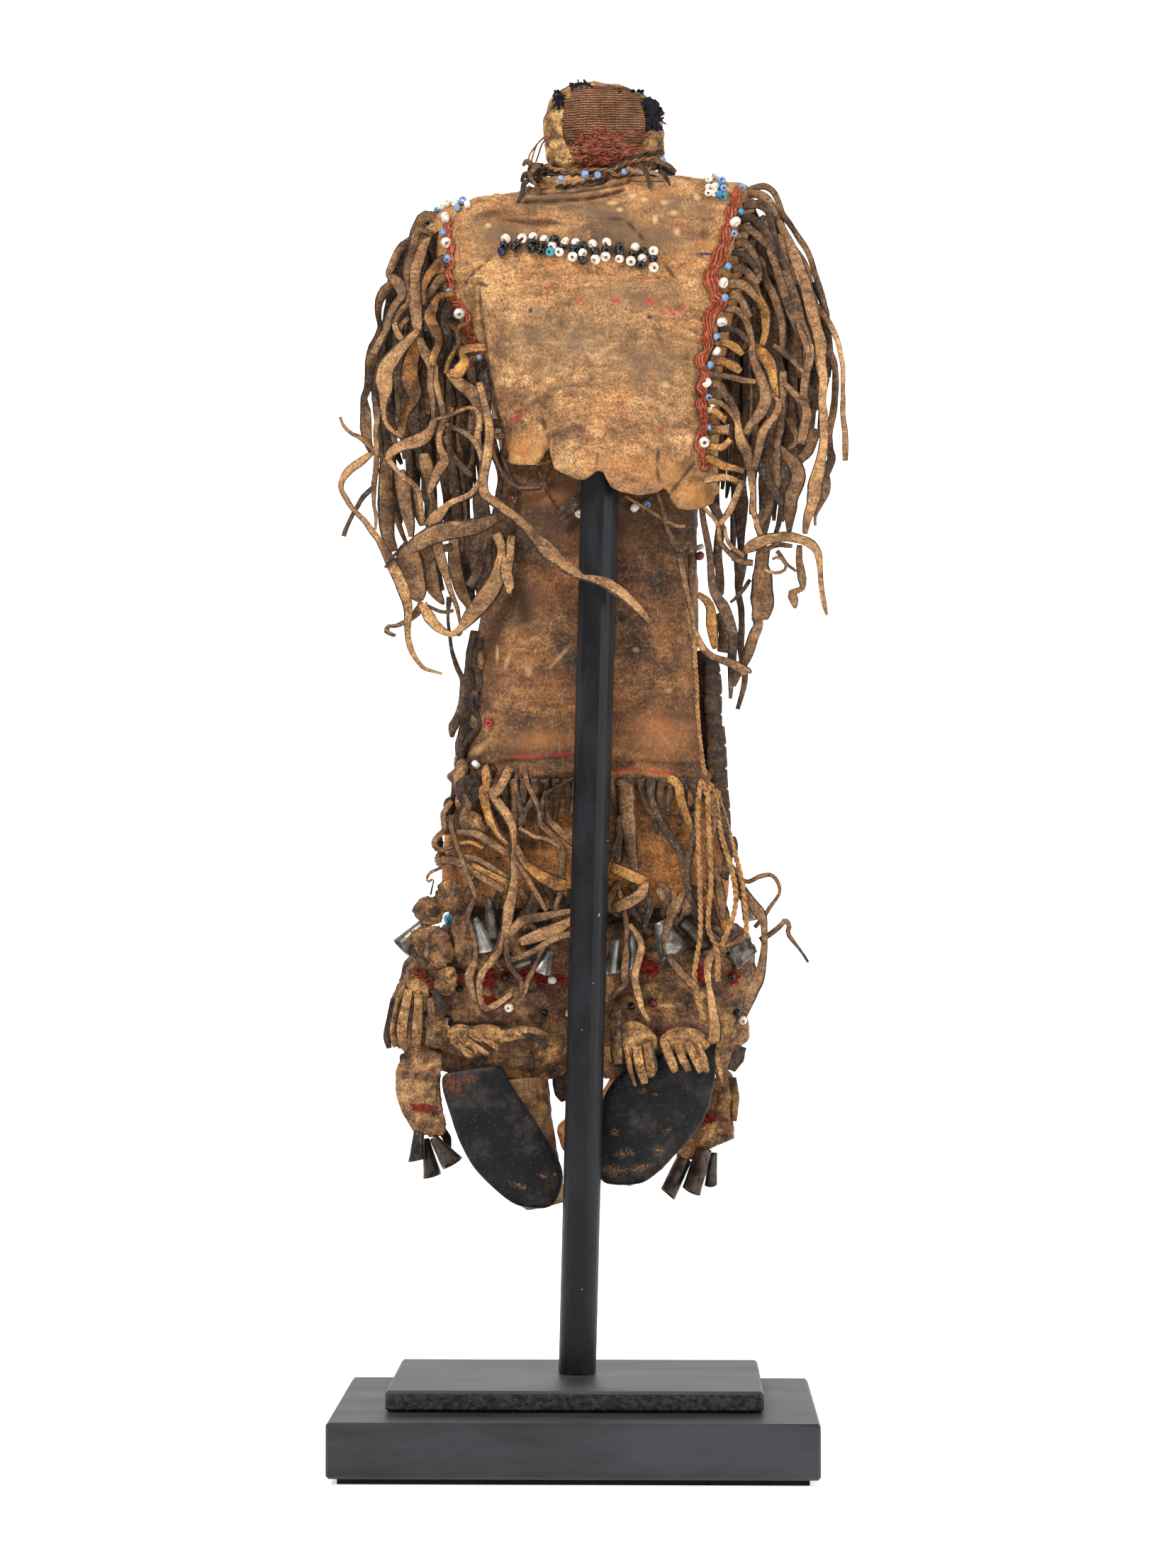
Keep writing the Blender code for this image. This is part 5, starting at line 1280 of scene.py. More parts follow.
# Each strip: its tone (d dark, m middle, l light, g gold), its depth in millimetres at the start and at the
# end, then (across, down, width) on the sheet from its start to its tip
LEFT_FRINGE = [
    ("d", 24, 22, [(694, 600, 12), (700, 640, 14), (706, 680, 12), (700, 720, 12), (690, 770, 10),
        (694, 820, 8)]),
    ("d", 23, 22, [(706, 640, 12), (720, 672, 12), (728, 700, 10), (716, 740, 10), (706, 790, 9)]),
    ("m", 21, 20, [(690, 620, 9), (704, 660, 10), (722, 684, 10), (742, 690, 8), (764, 688, 6)]),
    ("g", 19.6, 19.6, [(756, 646, 5), (764, 672, 7), (776, 700, 7), (784, 708, 5)]),
    ("g", 20, 20, [(782, 650, 5), (772, 672, 6), (760, 690, 5)]),
    ("d", 32, 30, [(676, 690, 20), (680, 740, 26), (676, 790, 28), (684, 840, 22), (690, 884, 12)]),
    ("d", 35, 33, [(654, 690, 18), (654, 750, 22), (660, 820, 20), (668, 876, 12)]),
    ("m", 34, 26, [(612, 307, 16), (598, 306, 18), (586, 325, 14), (581, 338, 13), (569, 348, 14),
        (560, 360, 13), (552, 379, 12), (548, 387, 10), (554, 398, 14), (542, 411, 15), (535, 427, 13),
        (534, 446, 11), (536, 460, 7), (533, 476, 12), (528, 491, 20), (523, 510, 20), (521, 530, 15),
        (518, 549, 13), (513, 562, 12), (515, 582, 19), (517, 610, 20), (521, 628, 13), (524, 638, 6)]),
    ("m", 22, 18, [(527, 560, 8), (533, 586, 9), (530, 611, 8), (531, 634, 8), (530, 660, 9), (528, 690, 8),
        (528, 712, 5), (530, 727, 6), (529, 747, 3)]),
    ("m", 24, 24, [(480, 588, 3), (484, 600, 5), (495, 611, 6), (508, 617, 7), (522, 630, 7), (535, 640, 7),
        (544, 648, 6), (550, 654, 5)]),
    ("l", 27, 20, [(530, 634, 7), (509, 652, 13), (492, 664, 12), (483, 679, 9), (483, 692, 8),
        (492, 709, 8), (504, 725, 8), (518, 740, 9), (531, 757, 10), (540, 773, 12), (550, 790, 16),
        (560, 812, 18), (571, 836, 18), (576, 860, 13), (575, 882, 10), (577, 905, 9), (585, 927, 8),
        (597, 942, 6), (611, 947, 5), (623, 951, 3)]),
    ("d", 28, 28, [(527, 687, 7), (512, 701, 8), (503, 716, 7), (495, 731, 6), (488, 745, 7),
        (485, 756, 7)]),
    ("l", 20, 17, [(589, 466, 10), (573, 484, 14), (558, 500, 20), (546, 516, 25), (541, 535, 28),
        (543, 552, 22), (541, 566, 12), (540, 582, 8), (545, 598, 7), (554, 610, 7), (566, 617, 6)]),
    ("g", 30, 26, [(592, 478, 12), (580, 508, 24), (579, 534, 30), (586, 558, 20), (578, 574, 13),
        (570, 590, 13), (566, 612, 12)]),
    ("l", 24, 20, [(592, 476, 9), (597, 492, 16), (605, 506, 18), (611, 520, 16), (614, 540, 11),
        (619, 560, 10), (625, 577, 9), (627, 590, 8)]),
    ("m", 22, 20, [(609, 516, 9), (608, 540, 9), (611, 565, 9), (611, 590, 6)]),
    ("l", 24, 18, [(631, 524, 10), (644, 537, 17), (660, 549, 22), (671, 561, 22), (677, 580, 16),
        (677, 597, 13), (674, 612, 11), (676, 631, 10), (681, 648, 11), (681, 669, 11), (674, 686, 10),
        (661, 699, 10), (645, 707, 10), (630, 715, 11), (615, 731, 22), (608, 742, 24)]),
    ("m", 17, 16, [(700, 730, 12), (683, 738, 20), (661, 744, 26), (636, 749, 28), (611, 756, 27),
        (590, 765, 24), (576, 775, 14)]),
    ("l", 18, 17, [(612, 592, 4), (629, 588, 6), (649, 579, 6), (662, 575, 6), (674, 580, 7), (678, 592, 8),
        (675, 606, 12)]),
    ("m", 21, 18, [(626, 597, 7), (641, 604, 7), (660, 614, 8), (672, 626, 9), (677, 640, 9),
        (681, 656, 9)]),
    ("d", 30, 27, [(629, 615, 9), (636, 633, 9), (644, 650, 9), (657, 664, 10), (666, 672, 8)]),
    ("d", 30, 28, [(672, 608, 9), (669, 633, 8), (665, 653, 7), (659, 664, 6)]),
    ("l", 24, 22, [(636, 575, 14), (627, 596, 13), (619, 617, 8), (621, 633, 11), (626, 648, 16),
        (619, 664, 17), (611, 684, 13), (606, 697, 5)]),
    ("m", 27, 25, [(598, 640, 12), (601, 659, 22), (606, 681, 16), (608, 698, 9), (612, 712, 13),
        (606, 726, 6), (600, 737, 5)]),
    ("l", 17, 16, [(612, 592, 8), (608, 604, 12), (599, 617, 20), (586, 623, 21), (570, 627, 18),
        (554, 636, 15), (548, 647, 10), (556, 659, 8), (566, 671, 8), (582, 682, 9), (591, 696, 9),
        (593, 714, 8), (595, 737, 7)]),
    ("m", 32, 30, [(548, 640, 14), (545, 664, 20), (545, 690, 22), (545, 722, 23), (548, 756, 20),
        (556, 778, 12)]),
    ("m", 28, 26, [(563, 664, 16), (569, 689, 24), (573, 714, 22), (578, 739, 15), (580, 757, 8)]),
    ("m", 26, 26, [(586, 697, 8), (592, 719, 10), (596, 742, 9)]),
    ("d", 36, 34, [(566, 560, 18), (559, 582, 20), (566, 600, 18), (572, 618, 14)]),
    ("m", 30, 22, [(596, 850, 10), (587, 865, 12), (572, 877, 9), (558, 883, 6), (549, 882, 6),
        (545, 890, 8), (556, 896, 7)]),
    ("m", 31, 30, [(577, 770, 26), (577, 785, 38), (580, 808, 44), (588, 832, 34), (594, 848, 10)]),
    ("m", 34, 34, [(600, 770, 18), (603, 790, 26), (606, 812, 28), (614, 834, 20), (626, 853, 4)]),
    ("l", 24, 17, [(596, 852, 14), (606, 871, 17), (619, 886, 13), (635, 894, 8), (648, 889, 10),
        (662, 871, 22), (683, 846, 30), (698, 821, 26), (705, 798, 18), (708, 776, 12), (700, 752, 14)]),
    ("m", 20, 24, [(612, 752, 14), (618, 775, 18), (622, 790, 16), (629, 813, 10), (637, 837, 8),
        (644, 856, 7), (648, 875, 5), (652, 890, 4), (648, 897, 4), (644, 893, 4)]),
    ("m", 30, 30, [(640, 760, 14), (642, 800, 22), (646, 818, 20), (654, 840, 17), (662, 856, 9)]),
    ("d", 36, 33, [(634, 842, 9), (632, 867, 5), (634, 894, 5), (638, 920, 6), (646, 944, 8), (653, 963, 9),
        (652, 986, 11), (648, 1006, 11), (640, 1024, 15), (637, 1040, 5)]),
    ("d", 35, 38, [(668, 928, 8), (662, 961, 9), (660, 990, 9), (662, 1014, 9), (666, 1030, 7)]),
    ("d", 22, 22, [(574, 763, 4), (558, 781, 4), (543, 801, 3)]),
    ("l", 19, 15, [(722, 756, 12), (717, 785, 18), (714, 808, 19), (720, 828, 15), (719, 836, 6)]),
    ("d", 26, 24, [(694, 752, 12), (684, 783, 13), (674, 808, 14), (662, 828, 14)]),
    ("d", 34, 32, [(690, 770, 24), (686, 800, 24), (672, 832, 18)]),
    ("d", 30, 26, [(604, 792, 8), (620, 778, 10), (638, 771, 12)]),
    ("d", 33, 30, [(590, 850, 5), (606, 856, 5), (623, 863, 6), (640, 861, 5)]),
    ("l", 32, 22, [(616, 320, 18), (603, 330, 22), (596, 344, 24), (591, 363, 21), (587, 380, 18),
        (586, 400, 17), (587, 433, 20), (589, 466, 14)]),
    ("m", 28, 22, [(590, 325, 10), (582, 352, 12), (577, 369, 19), (576, 393, 21), (578, 412, 12),
        (576, 426, 10), (564, 440, 10), (556, 455, 9)]),
    ("m", 26, 20, [(551, 390, 10), (563, 401, 19), (569, 416, 16), (557, 432, 13), (549, 449, 11),
        (545, 466, 12), (537, 481, 13), (528, 499, 12)]),
    ("l", 22, 21, [(556, 456, 9), (563, 472, 10), (570, 484, 8)]),
    ("m", 24, 22, [(577, 448, 8), (566, 459, 8), (562, 468, 6)]),
    ("g", 26, 22, [(622, 368, 18), (608, 382, 16), (600, 396, 13), (597, 410, 9), (596, 430, 9)]),
    ("m", 27, 23, [(622, 392, 14), (611, 406, 13), (603, 422, 14), (601, 441, 13), (603, 466, 9)]),
    ("g", 25, 20, [(620, 417, 9), (611, 432, 15), (606, 449, 22), (614, 466, 22), (619, 482, 14),
        (612, 499, 12), (608, 514, 12)]),
    ("d", 28, 24, [(630, 436, 13), (626, 454, 14), (632, 472, 13), (629, 494, 14), (619, 516, 14),
        (622, 545, 12)]),
    ("g", 24, 21, [(644, 464, 8), (646, 486, 9), (639, 499, 9), (631, 515, 8), (628, 526, 7)]),
    ("g", 22, 18, [(652, 494, 14), (656, 510, 17), (647, 524, 19), (636, 526, 11)]),
    ("m", 30, 26, [(664, 508, 12), (666, 530, 14), (672, 552, 16), (668, 580, 14), (664, 610, 10)]),
    ("d", 28, 24, [(680, 518, 16), (684, 545, 18), (686, 580, 16), (688, 612, 14)]),
]
RIGHT_FRINGE = [
    ("m", 34, 28, [(1062, 266, 10), (1078, 263, 10), (1090, 270, 9), (1098, 287, 9), (1106, 305, 9),
        (1122, 328, 9), (1139, 354, 9), (1149, 383, 9), (1159, 413, 9), (1166, 446, 7)]),
    ("l", 28, 24, [(1141, 421, 10), (1156, 438, 10), (1169, 456, 9), (1181, 480, 8), (1187, 503, 7),
        (1190, 526, 7), (1189, 557, 7), (1189, 587, 8), (1192, 616, 9), (1192, 650, 8)]),
    ("m", 30, 24, [(1061, 272, 13), (1076, 277, 13), (1088, 289, 12), (1094, 307, 12), (1098, 332, 12),
        (1106, 354, 12), (1114, 379, 12), (1120, 402, 10)]),
    ("l", 26, 18, [(1098, 312, 10), (1110, 340, 16), (1122, 366, 20), (1133, 395, 20), (1141, 420, 20),
        (1148, 450, 19), (1156, 483, 19), (1158, 516, 17), (1162, 541, 14), (1159, 566, 12),
        (1161, 590, 14), (1161, 624, 13), (1157, 655, 16), (1150, 684, 22), (1146, 710, 18),
        (1139, 730, 13), (1136, 753, 7)]),
    ("d", 26, 22, [(1060, 289, 12), (1072, 289, 14), (1084, 299, 12), (1088, 311, 11), (1092, 330, 10),
        (1098, 352, 10), (1110, 379, 10)]),
    ("d", 25, 21, [(1059, 307, 12), (1075, 321, 14), (1087, 337, 12), (1094, 356, 9)]),
    ("m", 25, 20, [(1053, 321, 11), (1065, 330, 13), (1078, 341, 13), (1086, 349, 15), (1092, 367, 14),
        (1097, 384, 13), (1106, 409, 13), (1114, 436, 14), (1126, 464, 14), (1137, 486, 12),
        (1139, 510, 12), (1136, 541, 13), (1134, 562, 11)]),
    ("m", 24, 20, [(1051, 343, 14), (1061, 356, 14), (1069, 373, 13), (1072, 395, 9)]),
    ("d", 23, 20, [(1049, 360, 9), (1061, 371, 11), (1070, 384, 9)]),
    ("m", 23, 20, [(1048, 378, 12), (1061, 389, 14), (1069, 400, 8)]),
    ("m", 23, 19, [(1045, 400, 15), (1058, 409, 16), (1068, 421, 10)]),
    ("m", 22, 19, [(1041, 417, 12), (1053, 434, 13), (1058, 446, 9)]),
    ("m", 22, 18, [(1043, 440, 11), (1055, 458, 11), (1060, 482, 10), (1061, 500, 11), (1067, 519, 14),
        (1076, 539, 17), (1081, 560, 18), (1073, 582, 17), (1060, 599, 13), (1052, 611, 12)]),
    ("d", 22, 20, [(1032, 464, 8), (1047, 471, 9), (1056, 483, 8)]),
    ("g", 22, 19, [(1022, 484, 12), (1037, 491, 13), (1048, 500, 9)]),
    ("g", 22, 18, [(1018, 509, 14), (1036, 518, 16), (1044, 524, 10)]),
    ("m", 22, 18, [(1012, 528, 8), (1031, 532, 9), (1048, 537, 9), (1066, 538, 7)]),
    ("m", 22, 18, [(1016, 543, 13), (1025, 559, 12), (1036, 575, 10), (1040, 592, 8)]),
    ("l", 22, 17, [(1013, 566, 9), (1030, 579, 10), (1040, 593, 10), (1043, 608, 14), (1046, 622, 18),
        (1054, 640, 18), (1059, 660, 15), (1062, 680, 12), (1063, 697, 10), (1063, 720, 9), (1068, 740, 9),
        (1077, 760, 8)]),
    ("g", 22, 19, [(1009, 580, 12), (1022, 591, 13)]),
    ("m", 22, 19, [(1011, 605, 14), (1027, 606, 15)]),
    ("g", 22, 19, [(1005, 629, 10), (1019, 631, 11), (1031, 620, 9)]),
    ("g", 22, 18, [(1003, 648, 13), (1020, 657, 14), (1036, 660, 10), (1050, 664, 8)]),
    ("l", 22, 18, [(998, 678, 9), (1018, 674, 11), (1033, 676, 10), (1045, 683, 8)]),
    ("l", 18, 17, [(1046, 678, 9), (1038, 701, 10), (1028, 723, 10), (1015, 738, 7)]),
    ("g", 27, 23, [(1061, 398, 14), (1070, 420, 14), (1080, 441, 18), (1081, 466, 13), (1076, 488, 10)]),
    ("g", 24, 22, [(1063, 489, 15), (1078, 501, 22), (1087, 517, 20), (1091, 538, 14), (1096, 559, 8)]),
    ("m", 26, 22, [(1073, 366, 10), (1082, 395, 12), (1092, 415, 14), (1099, 437, 14), (1105, 466, 12),
        (1104, 495, 9)]),
    ("d", 30, 26, [(1090, 384, 12), (1100, 410, 14), (1112, 440, 14), (1120, 470, 13), (1112, 500, 10)]),
    ("m", 20, 18, [(1092, 487, 8), (1106, 499, 8), (1119, 509, 8), (1132, 524, 7)]),
    ("m", 24, 20, [(1100, 330, 10), (1108, 380, 13), (1120, 420, 16), (1128, 450, 18), (1138, 482, 17),
        (1142, 500, 14), (1138, 522, 12)]),
    ("l", 22, 18, [(1082, 544, 6), (1090, 558, 6), (1098, 567, 8), (1096, 582, 14), (1083, 599, 17),
        (1075, 616, 15), (1070, 640, 12), (1065, 662, 10)]),
    ("m", 23, 21, [(1104, 524, 12), (1105, 549, 12), (1103, 574, 12), (1100, 599, 12), (1096, 624, 13),
        (1096, 660, 12), (1098, 680, 11), (1094, 692, 8)]),
    ("m", 21, 19, [(1107, 542, 9), (1121, 557, 12), (1134, 571, 13), (1138, 587, 15), (1134, 604, 15),
        (1129, 626, 12)]),
    ("d", 28, 26, [(1139, 546, 12), (1149, 562, 12), (1153, 578, 9)]),
    ("m", 27, 25, [(1150, 605, 14), (1145, 624, 17), (1139, 639, 15), (1128, 650, 12)]),
    ("m", 27, 25, [(1112, 590, 12), (1119, 607, 11), (1123, 624, 9), (1108, 636, 7)]),
    ("m", 30, 28, [(1164, 486, 12), (1174, 506, 11), (1178, 524, 9), (1179, 549, 10), (1175, 582, 11),
        (1171, 612, 9), (1171, 632, 10), (1173, 648, 13), (1165, 667, 13)]),
    ("d", 32, 30, [(1149, 398, 9), (1161, 430, 11), (1166, 460, 12), (1170, 500, 12), (1168, 532, 8)]),
    ("m", 28, 26, [(1163, 668, 13), (1165, 690, 15), (1158, 711, 8), (1150, 727, 5), (1150, 741, 4)]),
    ("m", 22, 20, [(1100, 632, 10), (1110, 643, 16), (1122, 657, 20), (1126, 676, 21), (1117, 697, 23),
        (1114, 716, 21), (1113, 733, 14), (1113, 754, 5)]),
    ("d", 20, 19, [(1064, 642, 10), (1072, 655, 13), (1080, 673, 15), (1093, 693, 14), (1103, 712, 9)]),
    ("m", 24, 22, [(1086, 708, 12), (1078, 726, 16), (1069, 740, 14), (1073, 755, 8)]),
    ("l", 17, 16, [(1050, 778, 8), (1060, 771, 18), (1072, 764, 18), (1089, 759, 14), (1109, 756, 14),
        (1127, 761, 13), (1144, 768, 14), (1154, 781, 11), (1156, 802, 8), (1157, 822, 8), (1161, 848, 8),
        (1166, 868, 3)]),
    ("m", 20, 19, [(1012, 738, 6), (1017, 764, 7), (1031, 781, 8), (1045, 792, 10), (1062, 794, 9)]),
    ("l", 19, 18, [(1022, 742, 5), (1026, 762, 6), (1038, 776, 7), (1050, 784, 7)]),
    ("m", 29, 26, [(1078, 770, 20), (1074, 797, 20), (1075, 815, 30), (1075, 847, 33), (1073, 868, 28),
        (1072, 873, 18)]),
    ("m", 28, 26, [(1068, 870, 18), (1070, 885, 13), (1063, 900, 16), (1054, 925, 16), (1042, 948, 12),
        (1035, 968, 4)]),
    ("m", 27, 24, [(1128, 769, 8), (1127, 789, 10), (1131, 814, 13), (1133, 829, 9), (1124, 834, 9),
        (1117, 838, 15), (1121, 847, 14), (1122, 857, 4)]),
    ("d", 24, 22, [(990, 690, 8), (991, 720, 9), (998, 766, 10), (1002, 789, 10), (1003, 814, 11),
        (1008, 835, 14), (1020, 856, 17), (1030, 880, 16), (1034, 905, 14), (1032, 940, 12),
        (1030, 985, 5)]),
    ("d", 32, 30, [(1015, 740, 14), (1013, 781, 14), (1015, 806, 13), (1016, 840, 10)]),
    ("d", 36, 34, [(1044, 775, 22), (1045, 802, 17), (1043, 820, 13), (1042, 836, 9), (1045, 856, 9),
        (1046, 880, 9), (1046, 920, 10), (1050, 960, 9), (1040, 1000, 6)]),
    ("d", 30, 28, [(1058, 818, 6), (1045, 836, 6), (1030, 850, 4)]),
    ("l", 18, 18, [(1078, 803, 5), (1090, 808, 5), (1103, 806, 5), (1109, 798, 5), (1099, 786, 5),
        (1089, 789, 4)]),
    ("m", 18, 19, [(1096, 777, 7), (1109, 794, 5), (1123, 805, 4)]),
    ("m", 20, 20, [(1076, 777, 6), (1097, 769, 8), (1118, 770, 6)]),
    ("g", 26, 24, [(984, 838, 8), (1000, 851, 13), (1004, 874, 16), (1007, 895, 16), (1010, 916, 9)]),
    ("d", 30, 28, [(1012, 866, 14), (1022, 886, 18), (1020, 920, 16)]),
]
# The outer and the inner edge of each fringe's mass, filled behind the strips above by plainer dark ones,
# dark as painted shade in the fringe's depth
LEFT_MASS = (
    [(606, 312), (566, 372), (546, 450), (532, 530), (534, 620), (552, 720), (590, 830)],
    [(622, 350), (634, 420), (650, 490), (668, 560), (674, 640), (676, 740), (670, 840)],
)
RIGHT_MASS = (
    [(1060, 276), (1100, 320), (1140, 400), (1162, 480), (1166, 560), (1152, 640), (1130, 730)],
    [(1046, 340), (1040, 420), (1030, 500), (1022, 570), (1014, 640), (1012, 740), (1018, 850)],
)
TONES = {"d": 0, "m": 1, "l": 2, "g": 3}
THONG_LOOKS = ("thong dark", "thong middle", "thong light", "thong gold", "edge")
# The look of the strips' rims: the dark edge look, painted shade along their edges
SHADED_RIM = 4
ROOT_REACH = 9 * MM


def root_on(tree, point):
    """The place on a surface where a strip that starts near it is sewn on, or None."""
    near, away, _, distance = tree.find_nearest(point)
    return near + away * 0.3 * MM if distance < ROOT_REACH else None


def traced(piece, tree, strips, seed, thickness=1.0 * MM):
    for k, (tone, first, last, line) in enumerate(strips):
        points = [(x, y) for x, y, _ in line]
        widths = [width for _, _, width in line]
        depths = [first + (last - first) * j / (len(line) - 1) for j in range(len(line))]
        root = root_on(tree, at(*points[0], first * MM)) if tree else None
        if root:
            points.insert(0, points[0])
            widths.insert(0, widths[0])
            depths.insert(0, first)
        thong(piece, points, widths, depths, TONES[tone], seed + k, thickness, root, rim=SHADED_RIM)


def make_fringe(name, tree, strips, mass, looks, stands_for, companions, seed):
    """The fringe's strips, and plainer companions behind them that fill its depth, mostly in the dark thong
    look as painted shade.
    """
    piece = Piece()
    traced(piece, tree, strips, seed)
    rng = random.Random(seed)
    outer, inner = ([Vector(p) for p in line] for line in mass)
    for k in range(companions):
        share = (k + rng.random()) / companions
        first = rng.uniform(0, 2.2)
        last = min(6.0, first + rng.uniform(1.6, 4.2))
        points = []
        for j in range(7):
            place = first + (last - first) * j / 6
            spot = curve(outer, place).lerp(curve(inner, place), share)
            points.append((spot.x + 10 * noise.noise(Vector((k * 3.3, j * 0.7, seed))), spot.y))
        start = inner[0].lerp(inner[4], share * 0.6 + first / 12)
        points.insert(0, (start.x, start.y))
        deep = rng.uniform(33, 45)
        root = root_on(tree, at(*points[0], deep * MM))
        widths = [rng.uniform(8, 12)] + [rng.uniform(9, 20) for _ in range(6)] + [5]
        depths = [min(deep, 36)] + [deep] * 7
        # Mostly the dark thong look: painted shade in the depth of the fringe
        thong(piece, points, widths, depths, rng.choice((0, 0, 0, 1)), seed + 90 + k, root=root, rim=SHADED_RIM)
    return piece.make(name, [looks[look] for look in THONG_LOOKS], stands_for)


CROSSING = [
    (676, 540, 10), (685, 573, 12), (690, 612, 14), (687, 648, 14), (681, 680, 13), (684, 698, 17),
    (701, 711, 19), (726, 730, 15), (747, 749, 18), (763, 766, 23), (779, 783, 28), (794, 796, 26),
    (810, 807, 19), (822, 815, 10), (838, 818, 13), (856, 824, 20), (884, 842, 23), (915, 878, 8),
]
CROSSING_DEPTHS = (20, 19, 18, 17, 15, 13, 10.5, 9, 7.5, 6.5, 5.5, 4.5, 3.5, 2.8, 2.4, 2, 2, 2)
# Loose strips that hang from under the cape on the right: name, the model's node, then as in the fringes
HANGING = [
    ("knotted_hide_thong", "knotted_thong", [("m", 17, 16.6, [(926, 692, 5), (934, 717, 6), (941, 746, 8),
        (951, 769, 11), (958, 782, 12), (962, 805, 9), (968, 832, 8), (974, 857, 7), (978, 872, 6),
        (979, 899, 5)]), ("m", 15.6, 15.6, [(952, 772, 8), (960, 776, 12), (968, 770, 8), (974, 764, 6)]),
        ("l", 17.6, 17.6, [(880, 698, 5), (899, 710, 5), (918, 721, 6), (935, 733, 6), (956, 742, 6),
        (966, 742, 4)]), ("d", 18.6, 18.6, [(972, 767, 10), (976, 794, 10), (974, 823, 10),
        (970, 847, 8)])]),
    ("diagonal_hide_thong", "diagonal_thong", [("l", 18.4, 20.6, [(970, 857, 4), (976, 878, 8),
        (986, 905, 12), (1002, 924, 9), (1028, 935, 13), (1050, 947, 15), (1054, 950, 12)])]),
    ("leaf_hide_thong", None, [("d", 18.4, 17.8, [(833, 676, 8), (824, 700, 14), (806, 712, 21),
        (795, 724, 18), (787, 731, 9)])]),
]
SEAM_CORD = [(972, 870), (979, 908), (981, 940), (983, 967), (985, 1015), (991, 1071), (995, 1093)]


def make_loose_thongs(looks):
    mine = [looks[one] for one in THONG_LOOKS]
    piece = Piece()
    points = [(x, y) for x, y, _ in CROSSING]
    widths = [width for _, _, width in CROSSING]
    thong(piece, points, widths, CROSSING_DEPTHS, 2, 90, 1.1 * MM, twist=0.2, rim=SHADED_RIM)
    piece.make("crossing_hide_thong", mine, ["crossing_thong"])
    for k, (name, node, strips) in enumerate(HANGING):
        piece = Piece()
        traced(piece, None, strips, 91 + 7 * k)
        piece.make(name, mine, [node] if node else ())
    piece = Piece()
    route = smooth_route([at(x, y, 18.2 * MM) for x, y in SEAM_CORD], 90)
    strands(piece, route, 2, 0.42 * MM, 0.36 * MM, 3 * MM)
    piece.make("fine_side_cord", [looks["cord"]])


# Body and skirts


BODY_RINGS = [
    (800, 267, 900, 265, 9.5), (755, 300, 945, 290, 13), (704, 332, 985, 318, 15.5),
    (694, 380, 996, 370, 16.5), (694, 450, 992, 445, 17), (708, 570, 984, 570, 17.5),
    (704, 670, 984, 670, 18), (674, 900, 984, 900, 18.5), (664, 1029, 987, 1029, 18.5),
    (648, 1062, 994, 1070, 18.8), (641, 1096, 999, 1102, 18.6), (650, 1108, 992, 1111, 17.2),
]
LOWER_SKIRT_RINGS = [
    (655, 1109, 985, 1113, 14.5), (636, 1140, 1016, 1142, 15), (628, 1190, 1026, 1190, 15),
    (624, 1240, 1030, 1240, 15.5), (630, 1268, 1026, 1270, 16), (650, 1280, 1010, 1282, 15),
]
LEFT_LEG_RINGS = [
    (668, 1256, 824, 1258, 11), (640, 1282, 825, 1284, 12), (618, 1310, 826, 1312, 14),
    (584, 1344, 827, 1344, 15.3), (566, 1380, 828, 1380, 15.5), (553, 1425, 828, 1425, 16),
    (558, 1474, 822, 1486, 15.5), (592, 1509, 806, 1524, 13.5),
]
RIGHT_LEG_RINGS = [
    (832, 1256, 1002, 1258, 11), (832, 1282, 1018, 1284, 12), (831, 1312, 1046, 1314, 14),
    (831, 1344, 1062, 1344, 15.3), (831, 1380, 1066, 1380, 15.5), (831, 1425, 1056, 1425, 16),
    (834, 1486, 1050, 1478, 15.5), (850, 1522, 1032, 1512, 13.5),
]
# The torn lower edge of each boot's outer layer
LEFT_RIM_LINE = [
    (560, 1446), (631, 1442), (660, 1445), (700, 1443), (742, 1445), (762, 1448), (786, 1464), (830, 1482),
]
RIGHT_RIM_LINE = [(830, 1462), (862, 1444), (905, 1448), (935, 1457), (1000, 1462), (1060, 1476)]
SKIRT_HEM_ROLL = 9
# The leggings' top rows, darkened as painted shade under the skirt
SHADED_ROWS = 26


def step_down(line, across, down, soft=2.5):
    """1 above a line on the sheet, 0 below it."""
    return 1 / (1 + math.exp(min(40, (down - height_of(line, across)) / soft)))


def body_push(point, row, _):
    across, down = sheet_place(point)
    push = 0.5 * wrinkle(point, 40, (1, 1, 0.7), 1) + 0.25 * wrinkle(point, 130, seed=3)
    push += fade(abs(down - 745), 50, 70) * 1.2 * wrinkle(point, 70, (0.5, 1, 1.6), 7)
    hem = 1083 + 6 * math.sin(across * 0.021) + 5 * noise.noise(Vector((across * 0.03, 1, 1)))
    roll = 1.6 * math.exp(-((down - hem - 8) / SKIRT_HEM_ROLL) ** 2)
    push += roll * (1 + 0.7 * wrinkle(point, 170, seed=5))
    push -= 1.0 * math.exp(-((down - hem + 9) / 3.5) ** 2)
    push += 0.8 * fade(across, 690, 22) * fade(abs(down - 980), 90, 20) * wrinkle(point, 150, seed=15)
    return push * MM * fade(-down, -330, 60)


def lower_push(point, row, _):
    push = 1.0 * wrinkle(point, 60, (1.6, 1, 0.4), 5) + 0.35 * wrinkle(point, 170, seed=8)
    return push * MM


